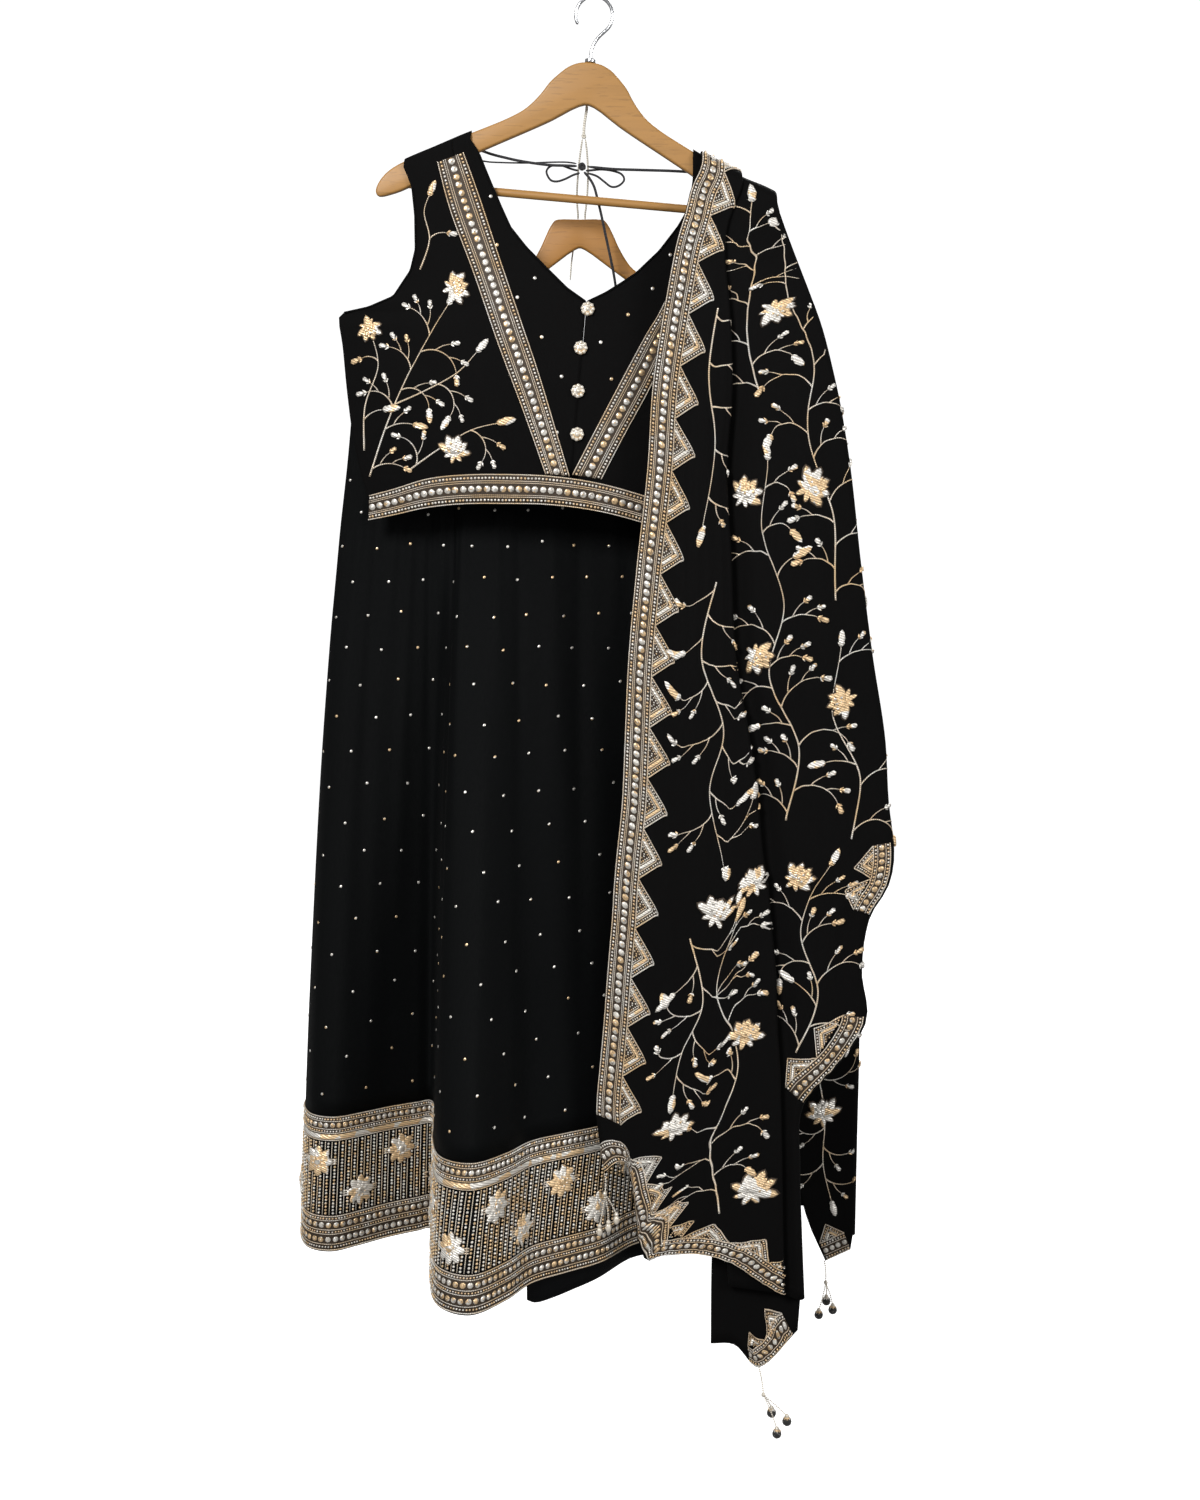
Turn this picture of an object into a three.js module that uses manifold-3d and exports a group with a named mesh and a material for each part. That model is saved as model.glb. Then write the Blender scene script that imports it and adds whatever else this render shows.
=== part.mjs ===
// Lehenga set on two wooden hangers: a sleeveless bodice, a long skirt and a scarf over one shoulder.
// Millimetres, +Z up, the viewer looks along +Y and +X is to the viewer's right.
// The origin is the inner top of the steel hook, where the set hangs. A "drop" is a distance below it.
import * as THREE from "three";
import { mergeVertices } from "three/addons/utils/BufferGeometryUtils.js";
import Module from "manifold-3d";

const wasm = await Module();
wasm.setup();

const { clamp, lerp } = THREE.MathUtils;
const seam = 0.3;
const cloth = 2;
const scarfCloth = 1.4;
const trimGap = 0.8;
const trimCloth = 1;

const colours = {
  blackCloth: { color: 0x131317, roughness: 0.82, metalness: 0 },
  skirtCloth: { color: 0x101014, roughness: 0.7, metalness: 0 },
  liningCloth: { color: 0x0b0b0d, roughness: 0.6, metalness: 0 },
  goldTrim: { color: 0xb79a6e, roughness: 0.42, metalness: 0.55 },
  upperWood: { color: 0xbf9160, roughness: 0.5, metalness: 0 },
  lowerWood: { color: 0xcd9655, roughness: 0.48, metalness: 0 },
  steel: { color: 0xb9bcc0, roughness: 0.25, metalness: 1 },
  blackCord: { color: 0x17161a, roughness: 0.75, metalness: 0 },
  whiteString: { color: 0xd8d2c4, roughness: 0.85, metalness: 0 },
  beads: { color: 0xe2d9c3, roughness: 0.35, metalness: 0.15 },
};

const set = new THREE.Group();
const upper = new THREE.Group();
const hangerTilt = THREE.MathUtils.degToRad(5);
upper.rotation.y = hangerTilt;
set.add(upper);

function add(group, name, geometry, look) {
  const mesh = new THREE.Mesh(geometry, new THREE.MeshStandardMaterial(colours[look]));
  mesh.name = name;
  group.add(mesh);
  return mesh;
}

// Tables and curves

// a named column of a table, smooth between its rows and held at its ends
function column(table, key, name, at) {
  const last = table.length - 1;
  if (at <= table[0][key]) return table[0][name];
  if (at >= table[last][key]) return table[last][name];
  let row = 0;
  while (table[row + 1][key] < at) row++;
  const slope = (low, high) => {
    const a = table[clamp(low, 0, last)];
    const b = table[clamp(high, 0, last)];
    return (b[name] - a[name]) / (b[key] - a[key]);
  };
  const span = table[row + 1][key] - table[row][key];
  const f = (at - table[row][key]) / span;
  const start = slope(row - 1, row + 1) * span;
  const end = slope(row, row + 2) * span;
  const keep = 2 * f ** 3 - 3 * f ** 2 + 1;
  return (
    table[row][name] * keep +
    table[row + 1][name] * (1 - keep) +
    start * (f ** 3 - 2 * f ** 2 + f) +
    end * (f ** 3 - f ** 2)
  );
}

// an outline's point at a share of its length, as { x, drop }
function along(outline) {
  const curve = new THREE.SplineCurve(outline.map((p) => new THREE.Vector2(p.x, p.drop)));
  return (share) => {
    const point = curve.getPointAt(clamp(share, 0, 1));
    return { x: point.x, drop: point.y };
  };
}

const steps = (count, from = 0, to = 1) =>
  Array.from({ length: count + 1 }, (_, i) => lerp(from, to, i / count));

// Walls

// the closed solid between two grids of points; a ring's rows join up with themselves
function wall(outer, inner, ring = false) {
  const rows = outer.length;
  const cols = outer[0].length;
  const spans = ring ? cols : cols - 1;
  const place = [...outer, ...inner].flatMap((row) => row.flatMap((p) => [p.x, p.y, p.z]));
  const at = (side, r, c) => side * rows * cols + r * cols + (c % cols);
  const index = [];
  const quad = (a, b, c, d) => index.push(a, b, c, a, c, d);
  for (let r = 0; r < rows - 1; r++) {
    for (let c = 0; c < spans; c++) {
      quad(at(0, r, c), at(0, r + 1, c), at(0, r + 1, c + 1), at(0, r, c + 1));
      quad(at(1, r, c), at(1, r, c + 1), at(1, r + 1, c + 1), at(1, r + 1, c));
    }
  }
  const end = rows - 1;
  for (let c = 0; c < spans; c++) {
    quad(at(0, 0, c), at(0, 0, c + 1), at(1, 0, c + 1), at(1, 0, c));
    quad(at(0, end, c), at(1, end, c), at(1, end, c + 1), at(0, end, c + 1));
  }
  for (let r = 0; r < end && !ring; r++) {
    const side = cols - 1;
    quad(at(0, r, 0), at(1, r, 0), at(1, r + 1, 0), at(0, r + 1, 0));
    quad(at(0, r, side), at(0, r + 1, side), at(1, r + 1, side), at(1, r, side));
  }
  const geometry = new THREE.BufferGeometry();
  geometry.setAttribute("position", new THREE.Float32BufferAttribute(place, 3));
  geometry.setIndex(enclosed(place, index) < 0 ? index.reverse() : index);
  return geometry;
}

// six times the volume that the triangles enclose, below zero when they face inwards
function enclosed(place, index) {
  const corner = (i) => new THREE.Vector3().fromArray(place, 3 * i);
  let sum = 0;
  for (let i = 0; i < index.length; i += 3) {
    sum += corner(index[i]).dot(corner(index[i + 1]).cross(corner(index[i + 2])));
  }
  return sum;
}

// the grid moved along its own normals, outwards for a distance above zero
function moved(grid, distance, ring = false) {
  const rows = grid.length;
  const cols = grid[0].length;
  const near = (c) => (ring ? (c + cols) % cols : clamp(c, 0, cols - 1));
  return grid.map((row, r) =>
    row.map((point, c) => {
      const down = grid[Math.min(r + 1, rows - 1)][c].clone().sub(grid[Math.max(r - 1, 0)][c]);
      const across = row[near(c + 1)].clone().sub(row[near(c - 1)]);
      return point.clone().addScaledVector(down.cross(across).normalize(), distance);
    })
  );
}

// the same grid set back along Y, towards the wearer
const setBack = (grid, distance) =>
  grid.map((row) => row.map((p) => new THREE.Vector3(p.x, p.y + distance, p.z)));

// a line whose first or last point is drawn in by half a seam, where it is sewn to the next piece
function drawnIn(line, first, last) {
  const end = line.length - 1;
  const towards = { 0: first && line[1], [end]: last && line[end - 1] };
  return line.map((point, i) =>
    towards[i] ? point.clone().add(towards[i].clone().sub(point).setLength(seam / 2)) : point);
}

const turned = (grid) => grid[0].map((_, c) => grid.map((row) => row[c]));
const columnsOf = (grid, from, to) => grid.map((row) => drawnIn(row.slice(from, to + 1), true, true));

// a stretch of rows, whose free hems stay where they are
function rowsOf(grid, from, to) {
  const lines = turned(grid.slice(from, to + 1));
  return turned(lines.map((line) => drawnIn(line, from > 0, to < grid.length - 1)));
}

// Solids that are joined or cut

function solid(geometry) {
  const bare = geometry.clone();
  bare.deleteAttribute("normal");
  bare.deleteAttribute("uv");
  const merged = mergeVertices(bare, 1e-3);
  return new wasm.Manifold(
    new wasm.Mesh({
      numProp: 3,
      vertProperties: Float32Array.from(merged.attributes.position.array),
      triVerts: Uint32Array.from(merged.index.array),
    })
  );
}

function meshOf(manifold) {
  const found = manifold.getMesh();
  const geometry = new THREE.BufferGeometry();
  geometry.setAttribute("position", new THREE.BufferAttribute(found.vertProperties, 3));
  geometry.setIndex(new THREE.BufferAttribute(found.triVerts, 1));
  return geometry;
}

// a round cord or rod through chosen points
function cord(points, radius, count, sides = 8) {
  const round = new THREE.Shape(
    steps(sides).slice(0, sides).map((share) => {
      const turn = share * 2 * Math.PI;
      return new THREE.Vector2(radius * Math.cos(turn), radius * Math.sin(turn));
    })
  );
  const path = new THREE.CatmullRomCurve3(points.map((p) => new THREE.Vector3(...p)));
  return new THREE.ExtrudeGeometry(round, { steps: count, extrudePath: path });
}

// Hangers

const hangerHalf = 221;
const hangerThick = 12;
const hangerBevel = 3;
const hangerTop = [
  { x: 0, drop: 67 },
  { x: 12, drop: 68.5 },
  { x: 23, drop: 73.5 },
  { x: 33, drop: 82 },
  { x: 42, drop: 91.5 },
  { x: 49, drop: 102 },
  { x: 57, drop: 112 },
  { x: 68, drop: 122.5 },
  { x: 85, drop: 133 },
  { x: 108, drop: 144.5 },
  { x: 132, drop: 156 },
  { x: 160, drop: 170.5 },
  { x: 192, drop: 187 },
  { x: 208, drop: 198 },
  { x: 217, drop: 209 },
  { x: hangerHalf, drop: 220 },
];
const hangerUnder = [
  { x: 217, drop: 226 },
  { x: 204, drop: 222.5 },
  { x: 186, drop: 214 },
  { x: 150, drop: 191 },
  { x: 108, drop: 168 },
  { x: 60, drop: 143 },
  { x: 36, drop: 130 },
  { x: 8, drop: 113 },
];
const bar = { radius: 4.5, half: 189, drop: 210, room: 0.35 };
const hookWire = { radius: 1.8, bend: 18, sunk: 24, room: 0.3 };

// the lower hanger has the same arms and a broader head
const lowerTop = [
  { x: 0, drop: 67 },
  { x: 24, drop: 67 },
  { x: 31, drop: 72 },
  { x: 37, drop: 83 },
  { x: 43, drop: 96 },
  { x: 51, drop: 110 },
  { x: 60, drop: 121 },
  { x: 76, drop: 131 },
  ...hangerTop.slice(9),
];
const lowerUnder = [
  ...hangerUnder.slice(0, 5),
  { x: 60, drop: 138 },
  { x: 33, drop: 119 },
  { x: 6, drop: 100 },
];

const armTop = (x) => column(hangerTop, "x", "drop", Math.abs(x));

function hangerBody(top, under) {
  const right = [...top, ...under];
  const left = right.slice(1).reverse().map((p) => ({ x: -p.x, drop: p.drop }));
  const outline = new THREE.Shape([...right, ...left].map((p) => new THREE.Vector2(p.x, -p.drop)));
  const body = new THREE.ExtrudeGeometry(outline, {
    depth: hangerThick - 2 * hangerBevel,
    bevelThickness: hangerBevel,
    bevelSize: hangerBevel,
    bevelOffset: -hangerBevel,
    bevelSegments: 1,
  });
  body.translate(0, 0, hangerBevel - hangerThick / 2);
  return body.rotateX(Math.PI / 2);
}

function rod(radius, length, x, drop, upright) {
  const shape = new THREE.CylinderGeometry(radius, radius, length, 12);
  if (!upright) shape.rotateZ(Math.PI / 2);
  else shape.rotateX(Math.PI / 2);
  return shape.translate(x, 0, -drop);
}

function upperHanger() {
  const socket = rod(bar.radius + bar.room, 2 * (bar.half + bar.room), 0, bar.drop, false);
  const hookHole = rod(hookWire.radius + hookWire.room, 2 * hookWire.sunk, 0, hangerTop[0].drop, true);
  const body = solid(hangerBody(hangerTop, hangerUnder));
  const wood = body.subtract(solid(socket)).subtract(solid(hookHole));
  add(upper, "upper_hanger", meshOf(wood), "upperWood");
  add(upper, "upper_hanger_bar", rod(bar.radius, 2 * bar.half, 0, bar.drop, false), "upperWood");
}

function hook() {
  const { radius, bend, sunk } = hookWire;
  const ring = bend + radius;
  const bendPoint = (degrees) => {
    const turn = THREE.MathUtils.degToRad(degrees);
    return [ring * Math.cos(turn), 0, -bend + ring * Math.sin(turn)];
  };
  const stem = [
    [0, 0, seam - hangerTop[0].drop - sunk + 1],
    [0, 0, -hangerTop[0].drop + 6],
    [0.6, 0, -52],
    [5, 0, -42],
  ];
  const bends = [-48, -20, 10, 40, 70, 100, 130, 160, 190, 212].map(bendPoint);
  add(upper, "hook", cord([...stem, ...bends], radius, 28), "steel");
  const ferrule = [
    [hookWire.radius + 0.3, 0.3],
    [6, 0.3],
    [6, 2.4],
    [4.4, 3.6],
    [hookWire.radius + 0.3, 3.6],
    [hookWire.radius + 0.3, 0.3],
  ].map(([r, h]) => new THREE.Vector2(r, h));
  const collar = new THREE.LatheGeometry(ferrule, 16).rotateX(Math.PI / 2);
  add(upper, "hook_collar", collar.translate(0, 0, -hangerTop[0].drop), "steel");
}

const lowerHangerAt = { x: -18, y: 50, lowered: 158 };

function lowerHanger() {
  const { x, y, lowered } = lowerHangerAt;
  const wood = hangerBody(lowerTop, lowerUnder).translate(x, y, -lowered);
  add(set, "lower_hanger", wood, "lowerWood");
}

// Bodice, in the hanger's tilted frame

const bodiceMid = 18;
const strapReach = 10.3;
const strapCentre = 7.2;
const bodiceOuterLeft = [
  { x: -192, drop: 194.5 },
  { x: -182, drop: 215 },
  { x: -177, drop: 243 },
  { x: -174, drop: 279 },
  { x: -178, drop: 302 },
  { x: -195, drop: 331 },
  { x: -222, drop: 345 },
  { x: -248, drop: 353 },
  { x: -252, drop: 363 },
  { x: -246, drop: 391 },
  { x: -238, drop: 440 },
  { x: -227, drop: 495 },
  { x: -211, drop: 548 },
  { x: -197, drop: 582 },
];
const bodiceOuterRight = [
  { x: 192, drop: 194.5 },
  { x: 189, drop: 225 },
  { x: 193, drop: 262 },
  { x: 203, drop: 300 },
  { x: 222, drop: 328 },
  { x: 244, drop: 345 },
  { x: 264, drop: 355 },
  { x: 268, drop: 364 },
  { x: 263, drop: 395 },
  { x: 258, drop: 440 },
  { x: 251, drop: 490 },
  { x: 242, drop: 540 },
  { x: 232, drop: 580 },
];
const neckLeft = [
  { x: -122, drop: 158.5 },
  { x: -110, drop: 174 },
  { x: -96, drop: 201 },
  { x: -82, drop: 227 },
  { x: -70, drop: 248 },
  { x: -51, drop: 268 },
  { x: -25, drop: 290 },
  { x: -3, drop: 308 },
  { x: bodiceMid - 0.15, drop: 320 },
];
const neckRight = [
  { x: 119, drop: 157 },
  { x: 121, drop: 180 },
  { x: 120, drop: 208 },
  { x: 109, drop: 231 },
  { x: 91, drop: 259 },
  { x: 68, drop: 285 },
  { x: 53, drop: 297 },
  { x: 37, drop: 309 },
  { x: bodiceMid + 0.15, drop: 320 },
];
const veeLeft = [
  { x: -141, drop: 168.5 },
  { x: -121, drop: 229 },
  { x: -94, drop: 289 },
  { x: -64, drop: 356 },
  { x: -32, drop: 428 },
  { x: bodiceMid - 6, drop: 508 },
];
const veeRight = [
  { x: 156, drop: 176 },
  { x: 148, drop: 222 },
  { x: 130, drop: 280 },
  { x: 108, drop: 340 },
  { x: 80, drop: 405 },
  { x: bodiceMid + 8, drop: 508 },
];
const backNeckLeft = [
  { x: -122, drop: 158.5 },
  { x: -112, drop: 190 },
  { x: -104, drop: 230 },
  { x: -92, drop: 275 },
  { x: -72, drop: 320 },
  { x: -36, drop: 352 },
  { x: bodiceMid - 0.15, drop: 362 },
];
const backNeckRight = [
  { x: 124, drop: 159.5 },
  { x: 134, drop: 190 },
  { x: 136, drop: 230 },
  { x: 126, drop: 275 },
  { x: 106, drop: 320 },
  { x: 72, drop: 352 },
  { x: bodiceMid + 0.15, drop: 362 },
];
const bodiceDepth = [
  { drop: 150, bust: 0, back: 0, edge: strapReach },
  { drop: 190, bust: 1.5, back: 0, edge: strapReach },
  { drop: 240, bust: 11, back: 0.4, edge: strapReach },
  { drop: 300, bust: 25, back: 2, edge: 7 },
  { drop: 360, bust: 37, back: 5, edge: 2.4 },
  { drop: 420, bust: 43, back: 7, edge: 2.15 },
  { drop: 500, bust: 44, back: 8, edge: 2.15 },
  { drop: 560, bust: 41, back: 8, edge: 2.15 },
  { drop: 610, bust: 38, back: 8, edge: 2.15 },
];
const waistBand = [
  { x: -209, top: 550, bottom: 578 },
  { x: -178, top: 539, bottom: 569 },
  { x: -140, top: 524, bottom: 557 },
  { x: -100, top: 516, bottom: 549 },
  { x: -50, top: 511, bottom: 544 },
  { x: -4, top: 509, bottom: 541 },
  { x: 47, top: 512, bottom: 543 },
  { x: 97, top: 521, bottom: 551 },
  { x: 150, top: 534, bottom: 565 },
  { x: 205, top: 550, bottom: 581 },
  { x: 245, top: 562, bottom: 592 },
];

const byDrop = (outline) => (drop) => column(outline, "drop", "x", drop);
const leftReach = byDrop(bodiceOuterLeft);
const rightReach = byDrop(bodiceOuterRight);

// how far the bodice's outer face stands from the hanger's plane, side -1 at the front and 1 at the back
function bodiceY(x, drop, side) {
  const half = x < bodiceMid ? bodiceMid - leftReach(drop) : rightReach(drop) - bodiceMid;
  const share = clamp(Math.abs(x - bodiceMid) / half, 0, 1);
  const name = side < 0 ? "bust" : "back";
  const swell = column(bodiceDepth, "drop", name, drop) * (1 - share ** 2.4);
  return side * (column(bodiceDepth, "drop", "edge", drop) + swell);
}

// the rows where a strap bends over the arm, from the top of the arm down to its own first row
const strapTurns = [2, 32, 62];

function strapRow(row, side, degrees, reach) {
  const turn = THREE.MathUtils.degToRad(degrees);
  return row.map((x) => {
    const z = -armTop(x) - strapCentre + reach * Math.cos(turn);
    return new THREE.Vector3(x, side * reach * Math.sin(turn), z);
  });
}

// columns of a side panel, closer together where it turns round to the side seam
const toSeam = [0, 0.05, 0.13, 0.26, 0.46, 0.72, 1];
const fromSeam = toSeam.map((share) => 1 - share).reverse();
const bodiceRows = 11;

// one panel between its left and right edges, both walked from the shoulder to the hem or middle
function panel(name, leftEdge, rightEdge, side, columns, hem) {
  const left = along(leftEdge);
  const right = along(rightEdge);
  const ownSide = leftEdge[0].x < bodiceMid ? Math.min : Math.max;
  const limit = bodiceMid + (ownSide === Math.min ? -seam / 2 : seam / 2);
  const place = (down, across) => ({
    x: ownSide(lerp(left(down).x, right(down).x, across), limit),
    drop: lerp(left(down).drop, right(down).drop, across),
  });
  const outer = steps(bodiceRows).map((down) =>
    columns.map((across) => {
      const { x, drop: level } = place(down, across);
      const first = place(0, across);
      const last = place(1, across);
      const shoulderFix = armTop(first.x) + strapCentre - first.drop;
      const hemFix = hem ? column(waistBand, "x", "bottom", last.x) - 2 - last.drop : 0;
      const drop = level + shoulderFix * (1 - down) ** 4 + hemFix * down ** 4;
      return new THREE.Vector3(x, bodiceY(x, drop, side), -drop);
    })
  );
  const strapX = outer[0].map((p) => p.x);
  const over = (reach) => strapTurns.map((degrees) => strapRow(strapX, side, degrees, reach));
  const inner = setBack(outer, -side * cloth);
  add(upper, name, wall([...over(strapReach), ...outer], [...over(strapReach - cloth), ...inner]),
    "blackCloth");
}

const shiftX = (outline, by) => outline.map((p) => ({ x: p.x + by, drop: p.drop }));

function bodice() {
  const midLeft = { x: bodiceMid - 0.15, drop: 541 };
  const midRight = { x: bodiceMid + 0.15, drop: 541 };
  const gap = seam / 2;
  const veeFoot = { x: bodiceMid, drop: 506 };
  const under = 0.8;
  const yokeLeft = [...shiftX(veeLeft.slice(0, -1), under), veeFoot];
  const yokeRight = [...shiftX(veeRight.slice(0, -1), -under), veeFoot];
  const even = steps(4);
  panel("bodice_side_left", bodiceOuterLeft, [...shiftX(veeLeft, -gap), midLeft], -1, toSeam, true);
  panel("bodice_side_right", [...shiftX(veeRight, gap), midRight], bodiceOuterRight, -1, fromSeam, true);
  panel("bodice_yoke_left", yokeLeft, neckLeft, -1, even, false);
  panel("bodice_yoke_right", neckRight, yokeRight, -1, even, false);
  panel("bodice_back_left", bodiceOuterLeft, [...backNeckLeft, midLeft], 1, toSeam, true);
  panel("bodice_back_right", [...backNeckRight, midRight], bodiceOuterRight, 1, fromSeam, true);
}

// a trim of even rows laid on the bodice between two lines
function bodiceTrim(name, first, second, side, shares) {
  const from = along(first);
  const to = along(second);
  const face = (off) =>
    shares.map((share) =>
      [0, 1].map((across) => {
        const x = lerp(from(share).x, to(share).x, across);
        const drop = lerp(from(share).drop, to(share).drop, across);
        return new THREE.Vector3(x, bodiceY(x, drop, side) + side * off, -drop);
      })
    );
  add(upper, name, wall(face(trimGap + trimCloth), face(trimGap)), "goldTrim");
}

function bodiceTrims() {
  const leftOuter = [
    { x: -156, drop: 186 },
    { x: -138, drop: 236 },
    { x: -108, drop: 298 },
    { x: -76, drop: 369 },
    { x: -39, drop: 446 },
    { x: -11, drop: 507.6 },
  ];
  const leftInner = [
    { x: -128, drop: 173 },
    { x: -106, drop: 220 },
    { x: -80, drop: 280 },
    { x: -52, drop: 343 },
    { x: -24, drop: 407 },
    { x: 16, drop: 507.6 },
  ];
  const rightInner = [
    { x: 139, drop: 181 },
    { x: 127, drop: 240 },
    { x: 100, drop: 318 },
    { x: 82, drop: 356 },
    { x: 44, drop: 444 },
    { x: 18, drop: 506 },
  ];
  const rightOuter = [
    { x: 170, drop: 196 },
    { x: 156, drop: 248 },
    { x: 129, drop: 312 },
    { x: 99, drop: 396 },
    { x: 72, drop: 458 },
    { x: 51, drop: 508 },
  ];
  bodiceTrim("vee_trim_left", leftOuter, leftInner, -1, steps(12));
  bodiceTrim("vee_trim_right", rightInner, rightOuter, -1, steps(12));
  const bandLine = (name) => waistBand.map((row) => ({ x: row.x, drop: row[name] }));
  const shortened = (outline, side) =>
    outline.map((p, i) => {
      const ends = { 0: leftReach(p.drop) + side, [outline.length - 1]: rightReach(p.drop) - side };
      return { x: ends[i] ?? p.x, drop: p.drop };
    });
  const top = shortened(bandLine("top"), 2);
  const bottom = shortened(bandLine("bottom"), 2);
  const bandShares = [...toSeam.map((share) => share / 2), ...fromSeam.slice(1).map((s) => (1 + s) / 2)];
  bodiceTrim("waist_band_front", bottom, top, -1, bandShares);
  bodiceTrim("waist_band_back", top, bottom, 1, bandShares);
}

const buttons = [
  { x: 20, drop: 328 },
  { x: 16, drop: 370 },
  { x: 17, drop: 416 },
  { x: 20, drop: 462 },
];
const button = { radius: 7.8, thick: 2.4, petals: 8, bevel: 0.6 };

function buttonSolid() {
  const rim = steps(button.petals * 3).slice(0, -1).map((share) => {
    const turn = share * 2 * Math.PI;
    const reach = button.radius * (0.93 + 0.07 * Math.cos(button.petals * turn)) - button.bevel;
    return new THREE.Vector2(reach * Math.cos(turn), reach * Math.sin(turn));
  });
  return new THREE.ExtrudeGeometry(new THREE.Shape(rim), {
    depth: button.thick - button.bevel,
    bevelThickness: button.bevel,
    bevelSize: button.bevel,
    bevelSegments: 1,
  }).rotateX(Math.PI / 2);
}

function bodiceButtons() {
  buttons.forEach(({ x, drop }, i) => {
    const reach = 8;
    const low = bodiceY(x, drop + reach, -1);
    const high = bodiceY(x, drop - reach, -1);
    const geometry = buttonSolid();
    geometry.rotateX(Math.atan2(low - high, 2 * reach));
    geometry.translate(x, bodiceY(x, drop, -1) - trimGap - button.bevel, -drop);
    add(upper, `button_${i + 1}`, geometry, "beads");
  });
}

// Skirt: a ring of folds at the hem that flattens to a closed oval at the waist

const skirtTop = 366;
const skirtHem = 1394;
const waistbandTall = 30;
const borderTop = 1235;
const waist = { x: -18, y: 50, half: 254, thick: 15, droop: 12 };
const skirtFolds = [
  { x: -348, y: 8, waistX: -272, side: 0 },
  { x: -337, y: -46, waistX: -262, side: -1 },
  { x: -307, y: -62, waistX: -243, side: -1 },
  { x: -276, y: -44, waistX: -222, side: -1 },
  { x: -246, y: -22, waistX: -205, side: -1 },
  { x: -214, y: -4, waistX: -188, side: -1 },
  { x: -195, y: 2, waistX: -172, side: -1 },
  { x: -186, y: -62, waistX: -160, side: -1 },
  { x: -184, y: -140, waistX: -150, side: -1 },
  { x: -170, y: -204, waistX: -141, side: -1 },
  { x: -134, y: -226, waistX: -118, side: -1 },
  { x: -98, y: -190, waistX: -92, side: -1 },
  { x: -72, y: -148, waistX: -66, side: -1 },
  { x: -30, y: -118, waistX: -30, side: -1 },
  { x: 6, y: -92, waistX: 4, side: -1 },
  { x: 46, y: -42, waistX: 44, side: -1 },
  { x: 90, y: -30, waistX: 84, side: -1 },
  { x: 130, y: -46, waistX: 120, side: -1 },
  { x: 172, y: -34, waistX: 158, side: -1 },
  { x: 208, y: -2, waistX: 204, side: -1 },
  { x: 222, y: 38, waistX: 236, side: 0 },
  { x: 196, y: 72, waistX: 200, side: 1 },
  { x: 140, y: 86, waistX: 144, side: 1 },
  { x: 85, y: 72, waistX: 86, side: 1 },
  { x: 30, y: 92, waistX: 28, side: 1 },
  { x: -30, y: 76, waistX: -34, side: 1 },
  { x: -90, y: 94, waistX: -92, side: 1 },
  { x: -150, y: 80, waistX: -150, side: 1 },
  { x: -210, y: 94, waistX: -200, side: 1 },
  { x: -270, y: 74, waistX: -236, side: 1 },
  { x: -320, y: 50, waistX: -261, side: 1 },
];
const skirtSpread = [
  { drop: 366, wide: 0, deep: 0 },
  { drop: 396, wide: 0.03, deep: 0 },
  { drop: 480, wide: 0.14, deep: 0.01 },
  { drop: 560, wide: 0.27, deep: 0.04 },
  { drop: 610, wide: 0.34, deep: 0.075 },
  { drop: 700, wide: 0.46, deep: 0.18 },
  { drop: 860, wide: 0.63, deep: 0.39 },
  { drop: 1110, wide: 0.83, deep: 0.72 },
  { drop: 1235, wide: 0.91, deep: 0.875 },
  { drop: 1394, wide: 1, deep: 1 },
];

const hemCurve = new THREE.CatmullRomCurve3(
  skirtFolds.map((f) => new THREE.Vector3(f.x, f.y, 0)), true, "catmullrom", 0.5);
const waistCurve = new THREE.CatmullRomCurve3(
  skirtFolds.map((f) => {
    const share = (f.waistX - waist.x) / waist.half;
    const deep = waist.thick * Math.sqrt(Math.max(0, 1 - share ** 4));
    return new THREE.Vector3(f.waistX, waist.y + f.side * deep, 0);
  }), true, "catmullrom", 0.5);

function skirtPoint(turn, drop) {
  const low = hemCurve.getPoint(turn);
  const high = waistCurve.getPoint(turn);
  const wide = column(skirtSpread, "drop", "wide", drop);
  const deep = column(skirtSpread, "drop", "deep", drop);
  const side = (high.x - waist.x) / waist.half;
  const sag = waist.droop * side ** 2 * (1 - wide) ** 2;
  return new THREE.Vector3(lerp(high.x, low.x, wide), lerp(high.y, low.y, deep), -drop - sag);
}

const skirtColumns = 60;
// the columns where one gore of the skirt is sewn to the next, and one length of the border to the next
const goreSeams = [0, 10, 20, 29, 39, 50, 60];
const borderSeams = [0, 10, 20, 39, 60];

function skirtFaces(drops) {
  const around = steps(skirtColumns).slice(0, -1);
  const face = drops.map((drop) => around.map((turn) => skirtPoint(turn, drop)));
  return [face, moved(face, -cloth, true)];
}

// lengths of cloth sewn side by side round the skirt
function sewnRound(name, drops, seams, look) {
  const closed = skirtFaces(drops).map((grid) => grid.map((row) => [...row, row[0]]));
  seams.slice(1).forEach((to, i) => {
    const [outer, inner] = closed.map((grid) => columnsOf(grid, seams[i], to));
    add(set, `${name}_${i + 1}`, wall(outer, inner), look);
  });
}

function skirt() {
  const bandEnd = skirtTop + waistbandTall;
  add(set, "skirt_waistband", wall(...skirtFaces([skirtTop, bandEnd]), true), "skirtCloth");
  const goreRows = [bandEnd + seam, 480, 580, 690, 790, 890, 1000, 1120, borderTop - seam];
  sewnRound("skirt_gore", goreRows, goreSeams, "skirtCloth");
  sewnRound("skirt_border", [borderTop, 1288, 1341, skirtHem], borderSeams, "goldTrim");
}

// the lining is made only where it shows, below the front of the hem
const lining = { from: 11.95, to: 15.9, top: 1300, thick: 1.2, inside: 3.6 };
const liningHem = [
  { x: -76, drop: 1411 },
  { x: -66, drop: 1420 },
  { x: -50, drop: 1421 },
  { x: 8, drop: 1413 },
  { x: 40, drop: 1411 },
];

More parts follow.
